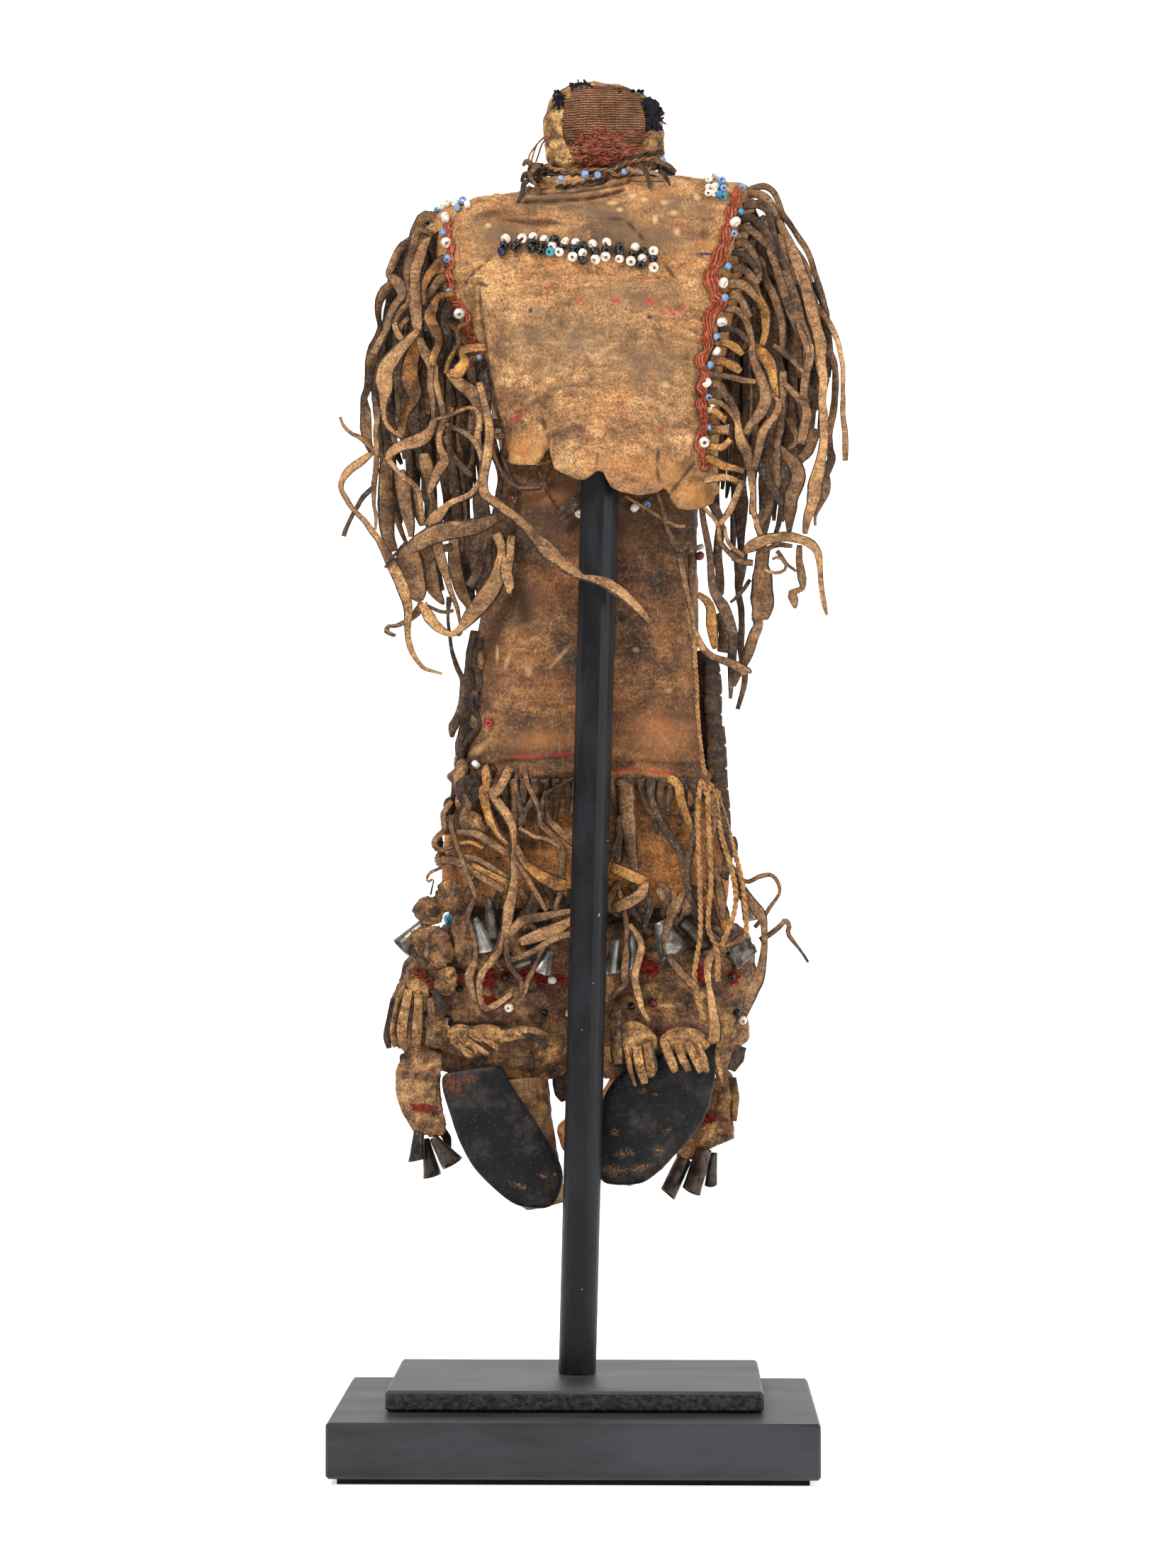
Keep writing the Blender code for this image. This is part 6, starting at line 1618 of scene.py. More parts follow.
def leg_push(line):
    def push(point, row, _):
        across, down = sheet_place(point)
        lift = 1.4 * wrinkle(point, 62, (0.8, 1, 1.3), 12) + 0.6 * wrinkle(point, 150, seed=2)
        lift += 0.3 * wrinkle(point, 420, seed=9)
        lift -= 1.1 * (0.1 - min(0.1, ridge(point, 80, (0.7, 1, 1.4), 4))) / 0.1
        if point.y < DOLL_MIDDLE:
            torn = 4 * noise.noise(Vector((across * 0.06, 3, 1)))
            lift += 1.5 * step_down(line, across, down + torn)
        lift *= fade(-row, -0.12, 0.1)
        return (lift - 0.6) * MM

    return push


def make_padded(name, table, rows, count, middle, squareness, push, look, node, looks, dark_to=0):
    """A stuffed form. Its rows down to dark_to lie in deep shade among the fringes and take the dark hide as
    painted shade.
    """
    piece = Piece()
    skin(piece, swollen(ring_grid(table, rows, count, middle, squareness), push))
    # Painted shade: these rows take the dark hide
    for k in range(dark_to * count):
        piece.looks[k] = 1
    made = piece.make(name, [looks[look], looks["dark"]], [node])
    return piece.surface()


SKIRT_BEADS = [
    (691, 1020, "r"), (672, 1078, "w"), (817, 724, "w"), (895, 716, "w"), (912, 711, "b"), (987, 772, "w"),
    (725, 705, "m"), (983, 784, "m"),
]
LEFT_BOOT_BEADS = [
    (713, 1379, "k"), (648, 1395, "k"), (632, 1438, "k"), (768, 1429, "k"), (718, 1422, "w"),
    (803, 1429, "w"), (779, 1382, "w"), (570, 1410, "k"), (582, 1392, "k"), (636, 1297, "T"),
    (631, 1337, "w"),
]
RIGHT_BOOT_BEADS = [
    (891, 1420, "k"), (1032, 1378, "k"), (1039, 1429, "k"), (1047, 1439, "w"), (921, 1415, "m"),
    (976, 1417, "a"),
]


def make_bodies(looks):
    body = make_padded("stuffed_body", BODY_RINGS, 200, 170, DOLL_MIDDLE, 2.7, body_push, "body", "body",
                       looks)
    make_padded("stuffed_lower_skirt", LOWER_SKIRT_RINGS, 60, 170, DOLL_MIDDLE + 1.5 * MM, 2.5, lower_push,
                "under", "lower_skirt", looks)
    legs = [make_padded(f"{side}_hide_legging", table, 110, 150, DOLL_MIDDLE + 2.5 * MM, 2.4, leg_push(line),
                        "boot", f"{side}_legging", looks, SHADED_ROWS)
            for side, table, line in (("left", LEFT_LEG_RINGS, LEFT_RIM_LINE),
                                      ("right", RIGHT_LEG_RINGS, RIGHT_RIM_LINE))]

    def size_of(letter):
        return {"w": (1.5, 2.0), "T": (1.7, 3.4), "m": (1.5, 2.0)}.get(letter, SEED)

    sew_beads("skirt_beads", body, SKIRT_BEADS, size_of, looks, seed=11)
    for side, tree, places in (("left", legs[0], LEFT_BOOT_BEADS), ("right", legs[1], RIGHT_BOOT_BEADS)):
        sew_beads(side + "_boot_beads", tree, places, size_of, looks, seed=12)
    make_knit_scraps(legs, looks)
    return body


# Ravelled red knitting that shows between the hide layers: leg, middle, half sizes on the sheet, threads
KNIT_SCRAPS = [
    (0, 602, 1388, 16, 18, 26), (0, 676, 1380, 22, 12, 30), (0, 752, 1376, 44, 8, 26),
    (0, 690, 1418, 7, 9, 8), (1, 917, 1364, 10, 10, 14), (1, 990, 1372, 6, 10, 10),
    (1, 1034, 1376, 8, 8, 8),
]


def make_knit_scraps(legs, looks):
    rng = random.Random(31)
    piece = Piece()
    for leg, x, y, wide, tall, count in KNIT_SCRAPS:
        for k in range(count):
            across = x + rng.uniform(-1, 1) * wide
            down = y + rng.uniform(-1, 1) * tall
            swing = rng.uniform(3, 5)
            points = [lay_on(legs[leg], across + swing * math.sin(j * 1.3 + k), down + j * 1.9 - 6,
                             rng.uniform(0.3, 0.8) * MM) for j in range(8)]
            tube(piece, smooth_route(points, 20), (0.28 * MM, 0.32 * MM, 0.24 * MM), 5, 0 if x < 620 else 1)
    piece.make("ravelled_knitting", [looks["yarn"], looks["red thread"]])


# Skirt fringe, in the same form as the cape's


SKIRT_FRINGE = [
    ("g", 19.4, 18.6, [(686, 1082, 17), (688, 1102, 17), (684, 1121, 16), (691, 1153, 13), (703, 1175, 13),
                       (717, 1191, 10)]),
    ("l", 18.8, 17.8, [(717, 1087, 14), (706, 1111, 14), (697, 1123, 13)]),
    ("l", 18.2, 17, [(694, 1119, 13), (706, 1139, 16), (717, 1153, 16), (723, 1171, 12), (724, 1191, 9),
                     (723, 1212, 9), (725, 1234, 12), (722, 1256, 17), (719, 1278, 17), (715, 1300, 17),
                     (706, 1332, 15), (692, 1355, 13), (677, 1377, 12), (677, 1406, 11), (686, 1423, 11),
                     (706, 1414, 12), (723, 1403, 11)]),
    ("d", 20, 19.6, [(728, 1086, 8), (728, 1109, 8), (732, 1127, 9), (736, 1145, 10), (741, 1162, 7)]),
    ("m", 19.4, 18.6, [(741, 1084, 7), (744, 1105, 8), (754, 1128, 8), (761, 1143, 9), (764, 1162, 9),
                       (776, 1175, 9), (788, 1191, 10), (794, 1205, 12), (792, 1227, 11), (791, 1256, 9),
                       (783, 1285, 6)]),
    ("d", 20, 19.8, [(769, 1093, 10), (757, 1115, 9), (746, 1136, 9), (738, 1153, 10), (732, 1170, 8)]),
    ("d", 17.8, 18.6, [(814, 1095, 8), (791, 1109, 9), (772, 1120, 12), (766, 1136, 12), (769, 1153, 10)]),
    ("m", 18.8, 19, [(770, 1147, 7), (783, 1165, 11), (795, 1177, 12), (811, 1191, 12), (820, 1204, 8)]),
    ("l", 18.4, 18.4, [(732, 1168, 6), (754, 1181, 6), (776, 1186, 6), (791, 1197, 6)]),
    ("g", 18.4, 18, [(728, 1194, 9), (741, 1218, 13), (761, 1234, 18), (785, 1246, 22), (800, 1250, 16)]),
    ("m", 18, 17.8, [(728, 1215, 6), (741, 1234, 8), (754, 1256, 9), (772, 1285, 7)]),
    ("m", 17.8, 18.4, [(719, 1320, 12), (736, 1299, 15), (762, 1294, 14), (780, 1290, 11), (808, 1286, 9)]),
    ("l", 18.4, 18.4, [(734, 1329, 12), (762, 1319, 21), (790, 1309, 18), (808, 1299, 12)]),
    ("m", 17.4, 17.4, [(808, 1318, 10), (780, 1325, 10), (753, 1342, 10), (721, 1355, 8)]),
    ("m", 17.2, 17.2, [(769, 1332, 6), (758, 1355, 7), (747, 1379, 8), (740, 1397, 9), (730, 1416, 5)]),
    ("d", 17, 17, [(714, 1323, 8), (716, 1351, 9), (723, 1370, 8), (734, 1382, 9), (736, 1397, 8),
                   (732, 1407, 5)]),
    ("m", 17.6, 16.6, [(670, 1268, 8), (660, 1292, 9), (666, 1314, 7), (671, 1340, 6), (668, 1360, 12),
                       (662, 1377, 15), (666, 1397, 10), (671, 1416, 5)]),
    ("m", 19, 17.2, [(637, 1130, 8), (625, 1149, 9), (628, 1168, 8), (615, 1183, 9), (613, 1191, 9),
                     (622, 1199, 8), (638, 1194, 8)]),
    ("m", 16.8, 17, [(637, 1150, 8), (637, 1168, 7), (648, 1202, 7), (656, 1227, 8), (665, 1249, 9),
                     (672, 1268, 7)]),
    ("m", 18, 18.4, [(641, 1174, 8), (666, 1174, 11), (688, 1187, 12), (717, 1206, 11)]),
    ("g", 18, 18, [(644, 1190, 5), (662, 1189, 6), (682, 1196, 5)]),
    ("m", 17.8, 18, [(654, 1208, 7), (676, 1213, 9), (698, 1227, 9), (717, 1238, 7)]),
    ("g", 17.6, 18, [(666, 1219, 7), (688, 1230, 10), (716, 1244, 10)]),
    ("m", 18.6, 18, [(623, 1212, 12), (648, 1216, 13), (666, 1228, 12), (688, 1243, 12), (710, 1256, 10)]),
    ("m", 20, 19, [(652, 1108, 12), (660, 1132, 16), (650, 1158, 12), (662, 1180, 9)]),
    # Right of the rod
    ("m", 20.2, 18.8, [(884, 1102, 18), (884, 1126, 24), (885, 1154, 24), (889, 1182, 20), (893, 1209, 16),
                       (896, 1232, 10)]),
    ("d", 19.4, 18.8, [(916, 1108, 10), (921, 1132, 9), (933, 1160, 10), (946, 1180, 12), (958, 1202, 12),
                       (964, 1226, 9), (968, 1250, 7)]),
    ("g", 19.4, 18.8, [(957, 1108, 14), (962, 1132, 16), (972, 1158, 13), (980, 1182, 9)]),
    ("m", 19.4, 18.6, [(868, 1160, 9), (872, 1190, 10), (870, 1218, 10)]),
    ("d", 18.6, 17.6, [(978, 1110, 9), (984, 1150, 10), (975, 1196, 12), (970, 1232, 12), (974, 1262, 12),
                       (984, 1288, 8)]),
    ("m", 18.2, 17.6, [(1002, 1120, 10), (1008, 1160, 11), (1000, 1200, 11), (1010, 1240, 16),
                       (1018, 1272, 14), (1022, 1296, 9)]),
    ("g", 20, 18.2, [(1000, 1224, 12), (1010, 1256, 16), (1020, 1288, 18), (1024, 1312, 12)]),
    ("d", 21, 19, [(1014, 1140, 12), (1022, 1176, 14), (1026, 1210, 14), (1022, 1240, 12)]),
    ("d", 17.6, 17, [(908, 1254, 7), (917, 1279, 9), (912, 1299, 8), (910, 1316, 5)]),
    ("m", 18, 16.8, [(872, 1249, 5), (882, 1290, 8), (884, 1311, 8), (883, 1329, 6), (883, 1347, 11),
                     (880, 1374, 12), (882, 1388, 10), (871, 1397, 7), (860, 1408, 4)]),
    ("l", 17.4, 16.8, [(887, 1304, 7), (898, 1317, 9), (905, 1333, 11), (901, 1354, 12), (896, 1379, 12),
                       (900, 1401, 12), (905, 1424, 9), (916, 1440, 5)]),
    ("m", 17.4, 16.8, [(962, 1262, 10), (955, 1281, 12), (944, 1301, 14), (939, 1319, 10), (939, 1336, 9),
                       (946, 1354, 11), (962, 1372, 12), (978, 1390, 12), (984, 1399, 8)]),
    ("d", 18.6, 18, [(826, 1240, 8), (866, 1200, 9), (872, 1150, 8)]),
    ("m", 17.6, 17.8, [(1048, 1322, 12), (1030, 1334, 13), (1010, 1342, 10), (992, 1346, 8)]),
]
FAR_THONGS = [
    ("loop_thong", [("m", 24, 26, [(1012, 1150, 8), (1020, 1200, 8), (1038, 1232, 8), (1052, 1244, 7),
        (1072, 1236, 7), (1088, 1234, 6), (1098, 1246, 6), (1099, 1260, 5), (1087, 1279, 6),
        (1076, 1294, 6), (1064, 1308, 6)])]),
    ("right_long_thong", [("m", 20, 19, [(1036, 1236, 14), (1053, 1267, 18), (1071, 1286, 18),
        (1078, 1304, 10), (1078, 1329, 9), (1075, 1356, 12), (1069, 1383, 18), (1060, 1401, 18),
        (1051, 1433, 8)])]),
    ("curled_thong", [("m", 24, 26, [(1072, 1326, 8), (1086, 1318, 8), (1100, 1306, 7), (1107, 1299, 8),
        (1114, 1306, 8), (1112, 1318, 7), (1126, 1336, 5), (1140, 1357, 4)])]),
    ("wide_light_thong", [("l", 16.4, 17.2, [(1012, 1338, 10), (1001, 1356, 14), (1001, 1392, 9),
        (1005, 1419, 13), (1008, 1445, 18), (1008, 1467, 19), (1008, 1470, 15)])]),
    ("folded_ribbon", [("g", 17.6, 17, [(862, 1222, 15), (884, 1232, 18), (908, 1244, 17)]), ("l", 17, 16.6,
        [(910, 1244, 14), (906, 1260, 18), (888, 1272, 19), (864, 1282, 18)])]),
]
# Those with a node of the same name in the model
CAD_FAR_THONGS = ("loop_thong", "right_long_thong", "wide_light_thong")

SKIRT_HEM = 1098


def make_skirt_fringe(body, looks):
    rng = random.Random(21)
    piece = Piece()
    mine = [looks[look] for look in THONG_LOOKS]
    traced(piece, body, SKIRT_FRINGE, 130, 1.6 * MM)
    # Plain strips behind the traced ones, side by side along the hem
    for x in range(664, 990, 15):
        length = rng.uniform(40, 120)
        points = [(x, SKIRT_HEM), (x + rng.uniform(-8, 8), SKIRT_HEM + length / 2),
                  (x + rng.uniform(-16, 16), SKIRT_HEM + length)]
        root = lay_on(body, x, SKIRT_HEM, 1.0 * MM)
        thong(piece, points, (12, 10, 6), (21, 22.4), rng.choice((0, 0, 1)), 190 + x, root=root, rim=SHADED_RIM)
    # Dark strips packed in the shade between the skirt and the boots, their dark tone painted shade
    for k in range(26):
        x = rng.uniform(640, 1020)
        y = rng.uniform(1236, 1262)
        points = [(x, y)]
        for _ in range(3):
            points.append((points[-1][0] + rng.uniform(-16, 16), points[-1][1] + rng.uniform(14, 26)))
        thong(piece, points, (10, 12, 11, 5), (23.5, 22.5), rng.choice((0, 0, 1)), 1290 + k, rim=SHADED_RIM)
    piece.make("skirt_thongs", mine, ["skirt_fringe"])
    for k, (name, strips) in enumerate(FAR_THONGS):
        piece = Piece()
        traced(piece, None, strips, 270 + 3 * k, 1.3 * MM)
        piece.make(name + "_hide", mine, [name] if name in CAD_FAR_THONGS else ())


# Each cord from its top to its end: across, down, depth in millimetres
TWISTED_CORDS = [
    [(986, 1118, 17.5), (984, 1160, 16.4), (987, 1240, 15.6), (988, 1314, 15.2), (980, 1370, 15.2),
        (983, 1404, 15.4), (993, 1440, 15.8)],
    [(998, 1120, 18), (1000, 1165, 16.8), (1003, 1240, 15.8), (999, 1306, 15.2), (1011, 1338, 15.2),
        (1013, 1384, 15.4)],
    [(1010, 1126, 20), (1017, 1175, 18), (1034, 1235, 16.5), (1037, 1281, 15.8), (1018, 1334, 12.2)],
    [(1018, 1140, 24), (1030, 1180, 21), (1046, 1240, 18.5), (1052, 1290, 16.5), (1053, 1322, 16.2)],
]

# Strands, a strand's radius, its distance from the middle, and the length of a turn
TWO_PLY = (2, 0.52 * MM, 0.4 * MM, 4.2 * MM)


def make_cords(looks):
    for number, points in enumerate(TWISTED_CORDS, 1):
        route = smooth_route([at(x, y, d * MM) for x, y, d in points], 100)
        piece = Piece()
        strands(piece, route, *TWO_PLY, sides=7)
        cord = piece.make(f"two_ply_cord_{number}", [looks["cord"]], [f"twisted_cord_{number}"])
    loops = Piece()
    starts = [points[0] for points in TWISTED_CORDS]
    for (x, y, d), (far_x, far_y, far_d) in zip(starts, starts[1:]):
        top = ((x + far_x) / 2 - 2, (y + far_y) / 2 - 17, (d + far_d) / 2)
        corners = ((x, y + 4, d), top, (far_x, far_y + 4, far_d))
        route = smooth_route([at(a, b, c * MM) for a, b, c in corners], 24)
        strands(loops, route, *TWO_PLY, sides=7)
    loops.make("cord_top_loops", [looks["cord"]])


# Cones, pendants and tabs


# Each cone: top, mouth, width at the top and at the mouth, depth, the model's node, its tin
TIN_CONES = [
    ((601, 1303), (567, 1338), 20, 36, 24, "skirt_cone_01", "tin"),
    ((689, 1266), (699, 1326), 8, 30, 21.4, "skirt_cone_02", "tin"),
    ((669, 1294), (687, 1342), 11, 36, 19.8, "skirt_cone_03", "bright tin"),
    ((776, 1340), (764, 1370), 14, 38, 20.4, "skirt_cone_04", "bright tin"),
    ((870, 1324), (864, 1372), 16, 26, 20.8, "skirt_cone_05", "bright tin"),
    ((891, 1320), (893, 1368), 11, 22, 19.8, "skirt_cone_06", "bright tin"),
    ((930, 1300), (951, 1345), 24, 49, 20.6, "skirt_cone_07", "bright tin"),
    ((1062, 1332), (1030, 1352), 27, 46, 19.6, "skirt_cone_08", "tin"),
    ((962, 1298), (1004, 1334), 22, 35, 21.5, None, "old tin"),
    ((1052, 1264), (1060, 1296), 16, 27, 30, None, "bright tin"),
    ((750, 1356), (728, 1362), 14, 22, 20.6, None, "tin"),
    ((591, 1597), (588, 1637), 16, 25, 25.5, "pendant_cone_1", "old tin"),
    ((601, 1606), (610, 1659), 10, 29, 29, "pendant_cone_2", "old tin"),
    ((611, 1604), (639, 1641), 13, 34, 25, "pendant_cone_3", "old tin"),
    ((966, 1634), (942, 1685), 24, 26, 51.5, "pendant_cone_4", "old tin"),
    ((994, 1620), (976, 1680), 24, 30, 49.5, "pendant_cone_5", "old tin"),
    ((1006, 1626), (1003, 1671), 13, 19, 52, "pendant_cone_6", "old tin"),
]
CONE_WALL = 0.35 * MM
CONE_STEPS = 12
CONE_SIDES = 26
# Turns of tin in the roll
CONE_OVERLAP = 1.12


def make_cone(name, top, mouth, top_width, mouth_width, depth, look, node, seed):
    """A cone rolled from a scrap of tin: its wall overlaps itself along one side."""
    start = at(*top, depth * MM)
    end = at(*mouth, depth * MM)
    unit = (start - EYE).length / SHEET_REACH
    ahead = (end - start).normalized()
    side = ahead.cross(Vector((0, 1, 0))).normalized()
    out = side.cross(ahead)
    begin = math.pi * (0.35 + 0.5 * noise.noise(Vector((seed * 2.7, 1, 1))))
    rings = []
    for k in range(CONE_STEPS + 1):
        share = k / CONE_STEPS
        centre = start.lerp(end, share)
        radius = (top_width + (mouth_width - top_width) * share) * unit / 2
        outer = []
        inner = []
        for i in range(CONE_SIDES):
            part = i / (CONE_SIDES - 1)
            turn = begin + part * 2 * math.pi * CONE_OVERLAP
            r = radius * (1 - 0.14 * part) * (1 + 0.12 * noise.noise(Vector((turn, share * 2, seed))) * share)
            shift = ahead * (0.7 * MM * math.sin(turn + seed) * share)
            way = side * math.cos(turn) + out * math.sin(turn)
            outer.append(centre + way * r + shift)
            inner.append(centre + way * max(r - CONE_WALL, 0.1 * MM) + shift)
        rings.append(outer + list(reversed(inner)))
    piece = Piece()
    skin(piece, rings)
    piece.make(name, [look], [node] if node else ())


# From the middle of the face over the rim to the middle of the back: shares of the outline and thickness
SLAB_PROFILE = [
    (0.01, 0), (0.22, 0), (0.42, 0), (0.6, 0), (0.76, 0), (0.88, 0), (0.96, 0), (1.0, 0.3), (1.0, 0.7),
    (0.93, 1), (0.5, 1), (0.01, 1),
]


def slab(piece, outline, depth, thickness, look=0, seed=0, crown=1.0, relief=0.5, ragged=0.03):
    """A cut piece of hide with a crowned, uneven face. The outline is on the sheet, sizes are in mm."""
    points = [Vector(p) for p in outline]
    middle = sum(points, Vector((0, 0))) / len(points)
    count = max(28, 6 * len(points))
    loop = [curve(points + points[:3], 1 + k * len(points) / count) for k in range(count)]
    rings = []
    for shrink, back in SLAB_PROFILE:
        ring = []
        for k, place in enumerate(loop):
            spot = middle.lerp(place, shrink * (1 + ragged * noise.noise(Vector((k * 0.6, seed, 2)))))
            lump = relief * (noise.noise(Vector((spot.x * 0.05, spot.y * 0.05, seed)))
                             + 0.6 * noise.noise(Vector((spot.x * 0.16, spot.y * 0.16, seed + 5))))
            face = -crown * (1 - shrink ** 2.4) + lump * min(1, (1 - shrink) * 5)
            ring.append(at(spot.x, spot.y, (depth + face * (1 - back) + thickness * back) * MM))
        rings.append(ring)
    skin(piece, rings, look)


LEFT_PENDANT = [
    (571, 1481), (596, 1476), (622, 1487), (622, 1510), (621, 1532), (623, 1550), (625, 1567), (629, 1582),
    (628, 1597), (614, 1604), (598, 1601), (583, 1596), (575, 1582), (566, 1567), (558, 1537), (560, 1506),
]
RIGHT_PENDANT = [
    (1010, 1524), (1022, 1512), (1032, 1514), (1037, 1535), (1038, 1556), (1033, 1570), (1036, 1603),
    (1024, 1611), (1010, 1617), (990, 1626), (978, 1635), (962, 1639), (954, 1627), (968, 1600),
    (984, 1580), (998, 1555),
]


# Each pendant: name, outline, depth, the model's node, look, where its thread lies (left, right, down), and
# its strap's line and depths
PENDANTS = [
    ("left_hide_pendant", LEFT_PENDANT, 24.6, "left_pendant", "pendant", (574, 618, 1563),
     ([(604, 1450), (598, 1478), (596, 1500)], (30, 25, 24))),
    ("right_hide_pendant", RIGHT_PENDANT, 50.5, "right_pendant", "tab", (984, 1030, 1578),
     ([(1014, 1478), (1018, 1506), (1020, 1532)], (40, 46, 50))),
]


def make_pendants(looks):
    rng = random.Random(44)
    for name, outline, depth, node, look, stitches, strap in PENDANTS:
        piece = Piece()
        slab(piece, outline, depth, 3.4, 0, len(name), 1.6, 1.4, 0.06)
        thong(piece, strap[0], (22, 20, 16), strap[1], 1, len(name) + 8, 1.6 * MM, twist=0.1)
        for k in range(3):
            x = outline[1][0] - 12 + 12 * k
            thong(piece, [(x, 1520), (x + 3, 1550), (x + 1, 1582)], (9, 12, 8), (depth - 0.8, depth - 0.6), 1,
                  len(name) + k, twist=0.1)
        piece.make(name, [looks[look], looks["tab"]], [node])
        tree = piece.surface()
        thread = Piece()
        first, last, level = stitches
        for k in range(16):
            x = rng.uniform(first, last - 12)
            y = level + rng.uniform(-4, 5)
            points = [lay_on(tree, x + 4 * j, y + rng.uniform(-2, 2), 0.35 * MM) for j in range(4)]
            tube(thread, smooth_route(points, 10), (0.24 * MM, 0.3 * MM, 0.24 * MM), 5)
        thread.make(name + "_thread", [looks["red thread"]])
    scrap = Piece()
    thong(scrap, [(620, 1590), (630, 1606), (633, 1620)], (12, 12, 8), (29, 29), 0, 77)
    scrap.make("dark_pendant_scrap", [looks["dark"]])
    for k, (top, mouth, top_width, mouth_width, depth, node, look) in enumerate(TIN_CONES):
        make_cone(f"tin_cone_{k + 1:02d}", top, mouth, top_width, mouth_width, depth, looks[look], node, k)


# Tabs cut like hands: the palm's outline, its depth, then the fingers in the same form as the fringes
CUT_TABS = [
    ("left_cut_tab", [(566, 1392), (582, 1380), (600, 1386), (607, 1404), (602, 1424), (584, 1432),
        (566, 1424), (560, 1408)], 23, [("d", 24, 23.4, [(556, 1408, 9), (550, 1438, 10), (546, 1462, 11),
        (549, 1479, 8)]), ("g", 22.4, 22, [(563, 1404, 9), (556, 1432, 9), (554, 1458, 10),
        (558, 1477, 8)]), ("g", 21.6, 21, [(576, 1396, 13), (572, 1420, 15), (567, 1450, 18),
        (567, 1468, 17), (568, 1478, 12)]), ("g", 21.6, 21, [(590, 1398, 12), (590, 1425, 15),
        (588, 1452, 17), (587, 1466, 17), (588, 1475, 12)]), ("m", 21.6, 21.4, [(606, 1408, 12),
        (610, 1436, 14), (606, 1462, 12), (601, 1476, 8)]), ("d", 21, 21, [(612, 1396, 10), (622, 1424, 12),
        (618, 1450, 10)])]),
    ("middle_cut_tab", [(630, 1456), (645, 1445), (665, 1447), (690, 1444), (712, 1450), (740, 1447),
        (764, 1453), (772, 1460), (740, 1464), (715, 1470), (696, 1470), (676, 1474), (652, 1480),
        (636, 1472)], 21, [("g", 20.6, 20.4, [(640, 1466, 10), (652, 1478, 11), (664, 1486, 9),
        (674, 1490, 6)]), ("g", 20.4, 20.2, [(654, 1462, 9), (670, 1474, 11), (682, 1483, 10),
        (690, 1487, 6)]), ("g", 20.4, 20.2, [(668, 1458, 9), (684, 1466, 11), (696, 1474, 10),
        (702, 1480, 6)]), ("g", 20, 20, [(655, 1476, 6), (663, 1471, 7), (671, 1478, 7), (669, 1488, 7),
        (659, 1489, 7), (653, 1482, 6)]), ("d", 21, 20.4, [(700, 1452, 7), (730, 1454, 8), (756, 1464, 9),
        (772, 1478, 9)])]),
    ("inner_right_cut_tab", [(878, 1446), (890, 1440), (905, 1444), (918, 1452), (927, 1465), (925, 1482),
        (905, 1490), (886, 1492), (878, 1480), (875, 1462)], 18.2, [("g", 17.6, 17.4, [(883, 1474, 10),
        (888, 1500, 9), (893, 1520, 7), (897, 1533, 4)]), ("g", 17, 16.8, [(898, 1476, 15), (903, 1502, 16),
        (907, 1520, 15), (909, 1528, 10)]), ("g", 17, 16.8, [(913, 1470, 14), (917, 1494, 16),
        (919, 1512, 15), (920, 1519, 10)]), ("m", 18.4, 18.2, [(870, 1424, 15), (869, 1450, 17),
        (870, 1484, 18), (871, 1501, 15)])]),
    ("outer_right_cut_tab", [(932, 1464), (945, 1452), (965, 1449), (985, 1453), (998, 1463), (1001, 1476),
        (985, 1486), (965, 1488), (945, 1484), (933, 1476)], 18.2, [("g", 17, 16.8, [(936, 1468, 13),
        (944, 1490, 15), (951, 1506, 14), (954, 1512, 10)]), ("g", 17, 16.8, [(955, 1474, 13),
        (963, 1494, 14), (969, 1506, 13), (971, 1511, 9)]), ("g", 17, 16.8, [(970, 1470, 13),
        (979, 1490, 14), (986, 1506, 13), (989, 1512, 9)]), ("g", 17, 16.8, [(984, 1472, 12),
        (991, 1492, 13), (996, 1506, 12), (999, 1513, 8)]), ("g", 18.4, 19, [(1019, 1456, 9),
        (1013, 1480, 9), (1014, 1502, 8), (1019, 1529, 6)]), ("d", 19, 19.6, [(1046, 1476, 16),
        (1040, 1494, 18), (1032, 1510, 12)])]),
]
# Lumps of folded hide at the left: outline, depth, crown and look
FOLDED_LUMPS = [
    ([(614, 1262), (620, 1246), (634, 1240), (650, 1246), (655, 1262), (648, 1282), (640, 1292),
        (628, 1286), (618, 1276)], 21, 3.2, 0),
    ([(582, 1286), (590, 1270), (604, 1264), (622, 1268), (627, 1284), (622, 1300), (608, 1306),
        (594, 1302)], 22, 2.6, 0),
    ([(605, 1286), (613, 1277), (622, 1285), (614, 1295)], 18.6, 0.5, 1),
    ([(577, 1318), (590, 1310), (606, 1306), (622, 1308), (634, 1318), (637, 1332), (641, 1346),
        (632, 1360), (618, 1367), (606, 1359), (596, 1357), (586, 1346), (580, 1334)], 21, 2.6, 0),
    ([(588, 1333), (596, 1330), (606, 1338), (609, 1349), (598, 1351), (590, 1343)], 19.2, 0.2, 1),
    ([(638, 1292), (655, 1284), (668, 1300), (673, 1330), (668, 1360), (650, 1362), (640, 1340)], 22.4, 1.0,
        0),
    ([(645, 1075), (655, 1070), (661, 1090), (656, 1110), (646, 1127), (640, 1110), (640, 1090)], 24, 2.2,
        0),
    ([(650, 1097), (672, 1091), (679, 1108), (676, 1128), (660, 1139), (646, 1130), (642, 1112)], 20, 1.2,
        1),
    ([(644, 1152), (660, 1142), (676, 1148), (686, 1165), (682, 1181), (664, 1183), (647, 1174)], 20.4, 2.4,
        0),
    ([(618, 1368), (640, 1364), (646, 1384), (640, 1402), (622, 1404), (612, 1388)], 21, 1.6, 0),
    ([(600, 1440), (620, 1430), (634, 1444), (628, 1470), (608, 1478)], 21.4, 1.8, 0),
]


